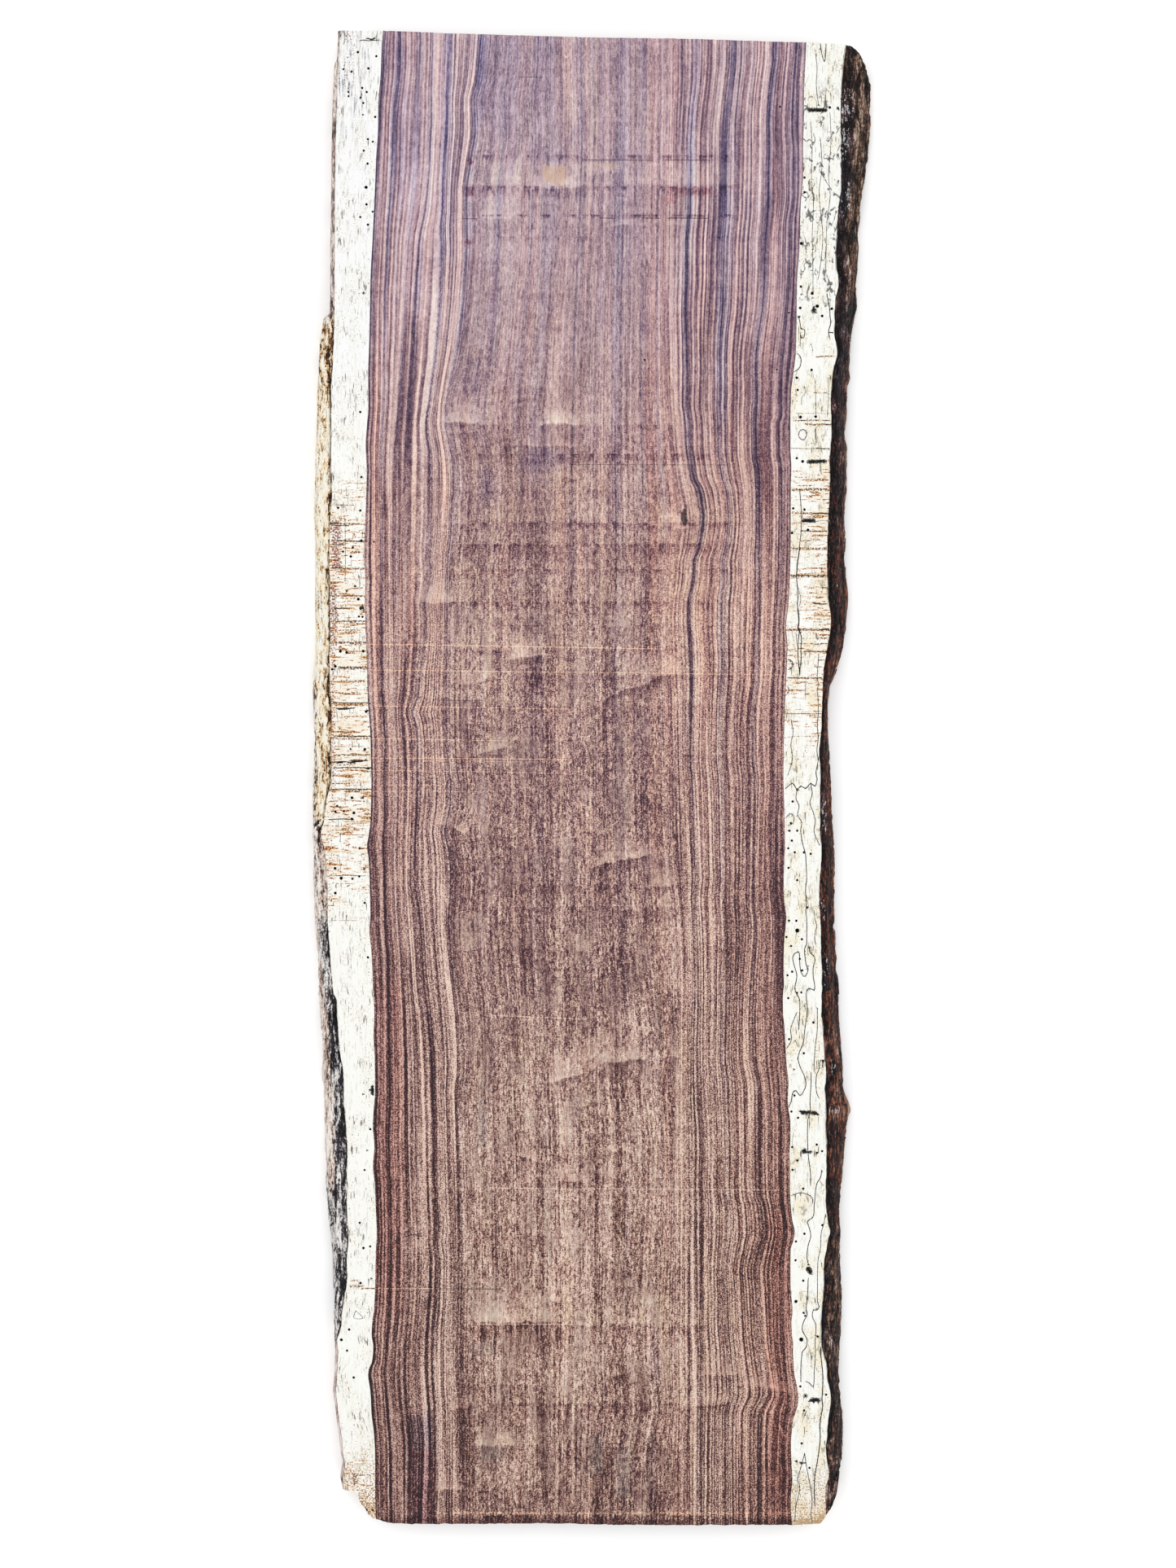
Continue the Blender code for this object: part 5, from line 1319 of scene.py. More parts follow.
def sweep_bark(name, side, rim_of, out_of, profile, stations, around, py0, py1, relief_of, masks_of):
    """One closed length of bark along an edge of the slab."""
    t = np.linspace(0, 1, stations)
    base_py = py0 + (py1 - py0) * t
    rim, out = rim_of(base_py), spread(out_of(base_py), EYE_X, 44)
    if side < 0:
        rim, out = -rim, -out
    rows_x, rows_d = [], []
    for i in range(stations):
        dx, dd = profile(rim[i], out[i], base_py[i])
        s = np.concatenate([[0], np.cumsum(np.hypot(np.diff(dx), np.diff(dd)))])
        # even spacing, a little denser near the upper face
        q = np.linspace(0, 1, around) ** 1.15 * s[-1]
        rows_x.append(rim[i] + np.interp(q, s, dx))
        rows_d.append(np.interp(q, s, dd))
    X, D = np.array(rows_x), np.array(rows_d)
    # soften the corners of the section
    for _ in range(2):
        X[:, 5:-2] = 0.25 * X[:, 4:-3] + 0.5 * X[:, 5:-2] + 0.25 * X[:, 6:-1]
        D[:, 5:-2] = 0.25 * D[:, 4:-3] + 0.5 * D[:, 5:-2] + 0.25 * D[:, 6:-1]
    arc = np.concatenate([np.zeros((stations, 1)), np.cumsum(np.hypot(np.diff(X, axis=1), np.diff(D, axis=1)), axis=1)], axis=1)
    Y = np.repeat(base_py[:, None], around, axis=1)
    # outward direction in the section
    tx, td = np.gradient(X, axis=1), np.gradient(D, axis=1)
    ln = np.maximum(np.hypot(tx, td), 1e-6)
    nx, nd = td / ln, -tx / ln
    height = relief_of(arc, Y, D, side)
    hold = smooth(0.0, 3.0, arc) * np.minimum(1.0, (out - rim)[:, None] / 12.0)
    X2 = X + nx * height * hold
    D2 = D + nd * height * hold
    D2 = np.clip(D2, 0.35, THICK)
    D2[:, -1] = THICK
    # the cut ends follow the slab's ends
    px = X2 * side
    lo = TOP_END(np.clip(px, 380, 1085)) + 0.4
    hi = LOW_END(np.clip(px, 381, 1055)) - 0.4
    PY = settle(base_py[:, None], lo, hi, py0, py1)
    PY[0] += 0.8 * fbm(px[0] / 3, D2[0] / 3, 0, 301, 2)
    PY[-1] -= 0.8 * np.abs(fbm(px[-1] / 3, D2[-1] / 3, 0, 302, 2))
    # inner side, buried in the wood
    in_x = np.stack([rim + (out - rim) * 0.62 - 3.0, rim + (out - rim) * 0.35 - 3.0, rim - 2.5], 1)
    in_d = np.stack([np.full(stations, THICK - 0.5), np.full(stations, THICK * 0.5), np.full(stations, 5.0)], 1)
    in_px = in_x * side
    in_py = settle(base_py[:, None], TOP_END(in_px) + 1.2, LOW_END(in_px) - 1.2, py0, py1)
    full_px = np.concatenate([px, in_px], 1)
    full_py = np.concatenate([PY, in_py], 1)
    full_z = np.concatenate([THICK - D2, THICK - in_d], 1)
    m = around + 3
    grid = np.arange(stations * m).reshape(stations, m)
    a, b = grid[:-1], grid[1:]
    an, bn = np.roll(a, -1, axis=1), np.roll(b, -1, axis=1)
    if side > 0:
        t1, t2 = np.stack([a, an, bn], -1), np.stack([a, bn, b], -1)
    else:
        t1, t2 = np.stack([a, bn, an], -1), np.stack([a, b, bn], -1)
    # four lengths of the edge share the map, one above the other
    rows_per = (stations - 1) / 4.0
    r = np.repeat(np.arange(stations - 1)[:, None], m, axis=1)
    seg = np.minimum((r / rows_per).astype(int), 3)
    ra = (r - seg * rows_per) / rows_per
    rb = (r + 1 - seg * rows_per) / rows_per
    c = np.repeat(np.arange(m)[None, :], stations - 1, axis=0)
    ca, cb = c / m, (c + 1) / m
    U = lambda q: 0.003 + 0.994 * np.clip(q, 0, 1.0)
    V = lambda q: (seg + 0.01 + 0.98 * q) / 4.0 * 0.97 + 0.003
    pa, pb, pc, pd = (np.stack(p, -1) for p in ((U(ra), V(ca)), (U(ra), V(cb)), (U(rb), V(cb)), (U(rb), V(ca))))
    if side > 0:
        uv1, uv2 = np.stack([pa, pb, pc], 2), np.stack([pa, pc, pd], 2)
    else:
        uv1, uv2 = np.stack([pa, pc, pb], 2), np.stack([pa, pd, pc], 2)
    tri = [t1.reshape(-1, 3), t2.reshape(-1, 3)]
    uv = [uv1.reshape(-1, 3, 2), uv2.reshape(-1, 3, 2)]
    # end caps
    for k, row in enumerate((0, stations - 1)):
        poly = [Vector((float(full_px[row, i]), float(full_z[row, i]), 0)) for i in range(m)]
        cap = np.array(geometry.tessellate_polygon([poly]))
        pts = np.array([(p.x, p.y) for p in poly])
        A = pts[cap]
        area = (A[:, 1, 0] - A[:, 0, 0]) * (A[:, 2, 1] - A[:, 0, 1]) - (A[:, 1, 1] - A[:, 0, 1]) * (A[:, 2, 0] - A[:, 0, 0])
        # the far end looks along +Y (sheet -py), the near one along -Y
        want = -1 if k == 0 else 1
        cap = np.where((np.sign(area) == want)[:, None], cap, cap[:, ::-1])
        tri.append(grid[row][cap])
        lo2, span = pts.min(0), np.ptp(pts, axis=0).max()
        q = (pts - lo2) / span * 0.024
        uv.append(np.stack([q[cap][:, :, 0] + 0.01 + 0.05 * k, q[cap][:, :, 1] * 0.9 + 0.9755], -1))
    tri = np.concatenate(tri)
    uv = np.concatenate(uv).reshape(-1, 2)
    obj = make_mesh(name, xyz(full_px, full_py, full_z).reshape(-1, 3), tri, uv)
    # relief height kept for the finish, which paints the low places darker: painted shade in the cracks and hollows
    tall = np.concatenate([height / 3.0 + 0.5, np.full((stations, 3), 0.3)], 1)
    arc_full = np.concatenate([arc, np.full((stations, 3), 60.0)], 1)
    point_value(obj, "tall", tall.ravel())
    point_value(obj, "arc", arc_full.ravel())
    reach = np.clip((full_px * side - rim[:, None]) / np.maximum(out - rim, 1.0)[:, None], 0, 1)
    m1, m2, m3 = masks_of(arc_full, np.repeat(base_py[:, None], m, axis=1), full_z, reach)
    point_colour(obj, "mask_a", *[q.ravel() for q in m1])
    point_colour(obj, "mask_b", *[q.ravel() for q in m2])
    point_colour(obj, "mask_c", *[q.ravel() for q in m3])
    return obj


def relief_right(arc, py, depth, side):
    lumps = 2.4 * fbm(arc / 24, py / 46, 0, 101, 3)
    fibre = 1.5 * ridge(arc / 7.5 + 0.8 * fbm(arc / 20, py / 30, 0, 102, 2), py / 48, 0, 103)
    fine = 0.8 * ridge(arc / 3.4 + 0.6 * fbm(arc / 9, py / 14, 0, 104, 2), py / 19, 0, 105)
    crack = -2.2 * smooth(0.62, 0.9, ridge(arc / 13 + 0.5 * fbm(arc / 9, py / 20, 0, 106, 2), py / 62, 0, 107))
    cross = -1.2 * smooth(0.72, 0.95, ridge(arc / 21, py / 11, 0, 108)) * smooth(0.5, 0.7, vnoise(arc / 18, py / 30, 0, 109))
    grit = 0.35 * fbm(arc / 1.6, py / 3.2, 0, 110, 2)
    scar = 2.6 * np.exp(-(((py - 1367) / 16) ** 2)) * smooth(2, 20, arc)
    return lumps + fibre * 0.8 + fine + crack + cross + grit + scar - 0.6


def blob(x, y, cx, cy, rx, ry, power=1.0):
    return power * np.clip(1.35 - np.hypot((x - cx) / rx, (y - cy) / ry) * 1.1, 0, 1)


def masks_right(arc, py, z, part):
    n1 = fbm(arc / 8, py / 22, 0, 121, 3)
    n2 = fbm(arc / 3.2, py / 8, 0, 122, 3)
    rust = 0.75 * smooth(600, 700, py + 40 * n1) * (1 - 0.55 * smooth(1560, 1640, py))
    rust = rust * (0.75 + 0.5 * n1)
    for cy, ry, cx, rx, p in [
        (700, 75, 8, 9, 1.0), (940, 22, 8, 12, 1.0), (1145, 45, 10, 12, 1.0), (1455, 14, 12, 8, 1.0), (1823, 12, 12, 9, 0.9),
        (1760, 60, 20, 14, 0.5), (330, 60, 34, 14, 0.4),
    ]:
        rust = np.maximum(rust, blob(arc, py, cx, cy, rx, ry, p))
    rust = np.clip(rust * (0.9 + 0.6 * n2), 0, 1)
    rust = np.maximum(rust, 0.50 * smooth(-0.1, 0.25, fbm(arc / 2.6, py / 26, 0, 123, 2)) * smooth(380, 460, py))
    rust = rust * (1 - 0.60 * smooth(1480, 1560, py))
    slate = np.zeros(arc.shape)
    for cy, ry, cx, rx, p in [
        (1634, 34, 4, 6, 1.2), (1197, 30, 7, 8, 0.9), (450, 60, 12, 14, 0.6), (250, 80, 8, 10, 0.7), (400, 50, 20, 18, 0.5),
        (560, 50, 4, 6, 0.5), (1000, 60, 6, 9, 0.6), (1500, 50, 8, 10, 0.5), (520, 50, 14, 16, 0.4), (170, 40, 8, 9, 0.8),
    ]:
        slate = np.maximum(slate, blob(arc, py, cx, cy, rx, ry, p))
    slate = np.clip(slate * (0.6 + 0.6 * n2), 0, 1)
    pale = np.zeros(arc.shape)
    for cy, ry, cx, rx, p in [
        (128, 22, 9, 8, 0.9), (170, 26, 7, 6, 0.7), (1310, 9, 14, 4, 0.9), (1365, 5, 16, 12, 0.7), (1645, 12, 18, 7, 0.6),
        (1805, 9, 20, 6, 0.3), (335, 20, 22, 5, 0.4), (718, 3, 17, 2.5, 0.9), (1194, 20, 8, 6, 0.6),
        (1116, 14, 8, 5, 0.5), (1000, 22, 9, 5, 0.5), (640, 3, 4, 2, 0.7), (240, 30, 12, 6, 0.4),
    ]:
        pale = np.maximum(pale, blob(arc, py, cx, cy, rx, ry, p))
    pale = np.clip(pale, 0, 1)
    # The inner side of the bark next to the sapwood is painted dark: painted shade in the gap at the wood, with some
    # dark bark.
    inner_dark = 1 - smooth(0.30, 0.52, part + 0.10 * n1)
    dark_bark_and_gap_shade = np.clip(inner_dark * (1 - 0.55 * smooth(900, 980, py)), 0, 1)
    dark_bark_and_gap_shade = np.maximum(dark_bark_and_gap_shade, 0.38 * smooth(335, 360, py + 20 * n1) * (1 - smooth(600, 700, py + 30 * n1)) * (1 - smooth(0.78, 0.98, part)))
    dark_bark_and_gap_shade = dark_bark_and_gap_shade * (1 - 0.55 * (1 - smooth(110, 145, py)))
    brown = (1 - smooth(330, 420, py)) * smooth(0.30, 0.60, part + 0.12 * n1) + 0.5 * (1 - smooth(100, 135, py))
    brown = np.maximum(brown, 0.55 * smooth(0.72, 0.95, part))
    brown = np.maximum(brown, (0.40 + 0.5 * smooth(-0.15, 0.3, n2)) * smooth(1240, 1330, py) * (1 - 0.3 * smooth(1700, 1760, py)))
    dark_bark_and_gap_shade = np.maximum(dark_bark_and_gap_shade, 0.30 * smooth(1380, 1480, py))
    dark_bark_and_gap_shade = np.maximum(dark_bark_and_gap_shade, 0.16 * smooth(900, 980, py))
    halo = 0.35 * smooth(0.975, 0.995, part) * (z > 14)
    zero = np.zeros(arc.shape)
    return (rust, slate, pale), (zero, zero, zero), (np.clip(dark_bark_and_gap_shade, 0, 1), np.clip(halo, 0, 1), np.clip(brown, 0, 1))


bark_right = sweep_bark(
    "bark_right", 1, RIGHT_RIM, RIGHT_OUT, bark_profile_right, 1120, 50, 54.0, 1868.0, relief_right, masks_right
)

GAP = pchip([
    (30, 0.25), (385, 0.25), (395, 0.5), (450, 0.9), (470, 1.4), (482, 2.3), (594, 2.4), (606, 0.9), (640, 0.9), (690, 1.3),
    (702, 2.1), (775, 2.1), (800, 1.4), (850, 0.8), (905, 1.0), (960, 1.3), (978, 2.1), (1000, 1.6), (1022, 0.8), (1060, 0.4),
    (1240, 0.5), (1300, 0.8), (1340, 1.2), (1420, 0.9), (1500, 0.6), (1620, 0.5), (1650, 0.25), (1880, 0.25),
])


def bark_profile_left(rim, out, py):
    w = out - rim
    gap = min(float(GAP(py)), 0.3 * w)
    deep = 1.0 + 6.0 * gap
    strip = float(smooth(384, 398, py) * (1 - smooth(1010, 1060, py)))
    rest = w - gap
    shares = [0.03, 0.12, 0.30, 0.50, 0.66 + 0.08 * strip, 0.78 + 0.06 * strip, 0.87 + 0.03 * strip, 0.94, 0.985, 1.0, 0.99, 0.96]
    depths = [1.5, 1.0, 0.9, 1.3, 3.5 - 1.2 * strip, 9.0 - 2 * strip, 17.0, 26.0, 35.0, 43.0, 49.0, THICK]
    dx = [0.0, 0.12 * gap + 0.05, 0.85 * gap + 0.06] + [gap + s * rest for s in shares]
    dd = [0.4, deep, deep] + depths
    return dx, dd


def relief_left(arc, py, depth, side):
    rough = smooth(1180, 1240, py) * (1 - smooth(1640, 1670, py))
    strip = smooth(386, 400, py) * (1 - smooth(1000, 1060, py))
    mid = smooth(1000, 1040, py) * (1 - smooth(1190, 1240, py))
    fibre = ridge(arc / 4.6 + 0.7 * fbm(arc / 14, py / 30, 0, 202, 2), py / 60, 0, 203)
    fine = ridge(arc / 2.4 + 0.5 * fbm(arc / 7, py / 14, 0, 204, 2), py / 24, 0, 205)
    crack = smooth(0.66, 0.92, ridge(arc / 9 + 0.5 * fbm(arc / 9, py / 26, 0, 206, 2), py / 80, 0, 207))
    lumps = fbm(arc / 17, py / 40, 0, 201, 3)
    grit = fbm(arc / 1.6, py / 3.2, 0, 210, 2)
    plain = 0.35 * fibre + 0.3 * fine + 0.3 * lumps + 0.1 * grit
    h = plain
    h = h + strip * (0.7 * fibre + 0.45 * fine - 1.7 * crack + 0.6 * lumps)
    h = h + mid * (1.0 * lumps + 0.7 * fibre + 0.6 * fine - 1.0 * crack + 0.2 * grit)
    h = h + rough * (1.9 * lumps + 0.8 * fibre + 0.9 * fine - 1.6 * crack + 0.35 * grit)
    return h


def masks_left(arc, py, z, part):
    n1 = fbm(arc / 6, py / 30, 0, 221, 3)
    n2 = fbm(arc / 3.2, py / 8, 0, 222, 3)
    strip = smooth(384, 400, py + 12 * n1 + 5 * n2) * (1 - smooth(985, 1045, py + 20 * n1))
    top = 1 - smooth(382, 400, py + 12 * n1 + 5 * n2)
    mid = smooth(985, 1045, py + 20 * n1) * (1 - smooth(1190, 1260, py + 30 * n1))
    rough = smooth(1190, 1250, py + 30 * n1) * (1 - smooth(1612, 1660, py + 24 * n1 + 10 * n2))
    low = smooth(1614, 1662, py + 24 * n1 + 10 * n2)
    cream = strip * (0.95 + 0.3 * n2)
    outer = smooth(0.45, 0.62, part + 0.10 * n1) * smooth(1150, 1210, py) * (1 - smooth(1440, 1490, py))
    pink = np.clip(top * 1.0 + mid * (0.85 + 0.4 * n2) + low * 0.95 + strip * 0.7 * smooth(780, 860, py) * smooth(0.62, 0.85, part + 0.1 * n1), 0, 1)
    pink = np.maximum(pink, outer * 0.95)
    cream = np.clip(cream * (1 - 0.8 * pink * smooth(780, 860, py)), 0, 1)
    inner_mid = mid * smooth(1100, 1150, py) * smooth(0.75, 0.55, part + 0.15 * n1)
    grey = np.clip(rough * (1.0 + 0.5 * n2) * (1 - outer), 0, 1)
    grey = np.clip(np.maximum(grey, np.maximum(inner_mid, 0.55 * mid * smooth(0.0, 0.35, n2))), 0, 1)
    white = np.clip(blob(arc, py, 5, 1367, 5, 20, 1.0) + blob(arc, py, 7, 1430, 6, 18, 0.9) + blob(arc, py, 6, 1302, 6, 36, 1.0), 0, 1)
    white = white * smooth(-0.25, 0.2, n2)
    rust = np.clip(blob(arc, py, 3, 1635, 5, 7, 0.9) + 0.35 * mid * smooth(0.1, 0.4, n1), 0, 1)
    slate = np.clip(0.45 * rough * smooth(0.1, 0.4, n1), 0, 1)
    # Dark at the strip's inner edge and in its cracks: painted shade in the gap against the wood and in the cracks,
    # with some dark bark.
    dark_bark_and_gap_shade = strip * (1 - smooth(440, 520, py)) * smooth(0.62, 0.25, part) * 0.9
    dark_bark_and_gap_shade = np.maximum(dark_bark_and_gap_shade, 0.5 * strip * smooth(0.22, 0.05, part) * smooth(560, 640, py))
    dark_bark_and_gap_shade = np.maximum(dark_bark_and_gap_shade, 0.8 * rough * smooth(0.30, 0.05, part) * (1 - smooth(1560, 1620, py)))
    n3 = fbm(arc / 3, py / 9, 0, 231, 2)
    dark_bark_and_gap_shade = np.maximum(dark_bark_and_gap_shade, 0.95 * strip * smooth(0.30, 0.08, part) * smooth(-0.18, 0.16, n3))
    dark_bark_and_gap_shade = np.maximum(dark_bark_and_gap_shade, 0.75 * strip * (1 - smooth(430, 500, py)) * smooth(-0.12, 0.16, n3))
    zero = np.zeros(arc.shape)
    ends = np.maximum(1 - smooth(372, 402, py + 16 * n1 + 6 * n2), smooth(1615, 1668, py + 24 * n1 + 10 * n2))
    dark_bark_and_gap_shade = np.maximum(dark_bark_and_gap_shade, 0.75 * top * smooth(-0.20, 0.20, n2 + 0.6 * n3) * smooth(80, 130, py))
    halo = np.maximum(0.6 * smooth(0.95, 0.995, part), np.where(py < 500, 0.45, 0.9) * ends) * smooth(6, 16, z + 5 * n1)
    return (rust, slate, np.clip(white, 0, 1)), (cream, grey, pink), (np.clip(dark_bark_and_gap_shade, 0, 1), np.clip(halo, 0, 1), zero)


bark_left = sweep_bark(
    "bark_left", -1, LEFT_RIM, LEFT_OUT, bark_profile_left, 1120, 44, 38.0, 1834.0, relief_left, masks_left
)


# =====================================================================
# materials
# =====================================================================
LIGHT = 1.35  # how bright a white face looks under the lamps


def lin(r, g, b):
    """A colour as it should look under the lamps, as a reflectance."""
    def one(c):
        c = c / 255.0
        return (c / 12.92 if c <= 0.04045 else ((c + 0.055) / 1.055) ** 2.4) / LIGHT

    return (one(r), one(g), one(b), 1.0)


class Graph:
    def __init__(self, name):
        self.material = bpy.data.materials.new(name)
        self.material.use_nodes = True
        self.tree = self.material.node_tree
        self.tree.nodes.clear()

    def node(self, kind, **settings):
        n = self.tree.nodes.new(kind)
        for k, v in settings.items():
            setattr(n, k, v)
        return n

    def put(self, socket, value):
        if isinstance(value, bpy.types.NodeSocket):
            self.tree.links.new(value, socket)
        elif value is not None:
            socket.default_value = value

    def math(self, op, a, b=None, c=None, clamp=False):
        n = self.node("ShaderNodeMath", operation=op)
        for s, v in zip(n.inputs, (a, b, c)):
            self.put(s, v)
        return self.limit(n.outputs[0]) if clamp else n.outputs[0]

    def limit(self, value):
        n = self.node("ShaderNodeClamp")
        self.put(n.inputs[0], value)
        return n.outputs[0]

    def add(self, *terms):
        out = terms[0]
        for t in terms[1:]:
            out = self.math("ADD", out, t)
        return out

    def mul(self, a, b, clamp=False):
        return self.math("MULTIPLY", a, b, clamp=clamp)

    def sub(self, a, b):
        return self.math("SUBTRACT", a, b)

    def span(self, value, a, b, lo=0.0, hi=1.0, kind="SMOOTHSTEP"):
        n = self.node("ShaderNodeMapRange", interpolation_type=kind, clamp=False)
        self.put(n.inputs[0], value)
        for s, v in zip(n.inputs[1:5], (a, b, lo, hi)):
            self.put(s, v)
        return self.limit(n.outputs[0]) if kind == "LINEAR" else n.outputs[0]

    def mix(self, factor, a, b, blend="MIX"):
        n = self.node("ShaderNodeMix", data_type="RGBA", blend_type=blend)
        n.clamp_factor = True
        self.put(n.inputs[0], factor)
        self.put(n.inputs[6], a)
        self.put(n.inputs[7], b)
        return n.outputs[2]

    def ramp(self, value, stops, interpolation="LINEAR"):
        n = self.node("ShaderNodeValToRGB")
        r = n.color_ramp
        r.interpolation = interpolation
        while len(r.elements) < len(stops):
            r.elements.new(0.5)
        for e, (pos, colour) in zip(r.elements, stops):
            e.position = pos
        for e, (pos, colour) in zip(r.elements, stops):
            e.position = pos
            e.color = colour if len(colour) == 4 else (*colour, 1.0)
        self.put(n.inputs[0], value)
        return n.outputs[0]

    def vector(self, x, y, z):
        n = self.node("ShaderNodeCombineXYZ")
        for s, v in zip(n.inputs, (x, y, z)):
            self.put(s, v)
        return n.outputs[0]

    def noise(self, vector, scale=1.0, detail=2.0, rough=0.5, distortion=0.0):
        n = self.node("ShaderNodeTexNoise", noise_dimensions="3D")
        self.put(n.inputs["Vector"], vector)
        n.inputs["Scale"].default_value = scale
        n.inputs["Detail"].default_value = detail
        n.inputs["Roughness"].default_value = rough
        n.inputs["Distortion"].default_value = distortion
        return n.outputs[0]

    def attribute(self, name):
        return self.node("ShaderNodeAttribute", attribute_type="GEOMETRY", attribute_name=name)

    def split(self, name):
        a = self.attribute(name)
        n = self.node("ShaderNodeSeparateColor")
        self.put(n.inputs[0], a.outputs["Color"])
        return n.outputs[0], n.outputs[1], n.outputs[2]


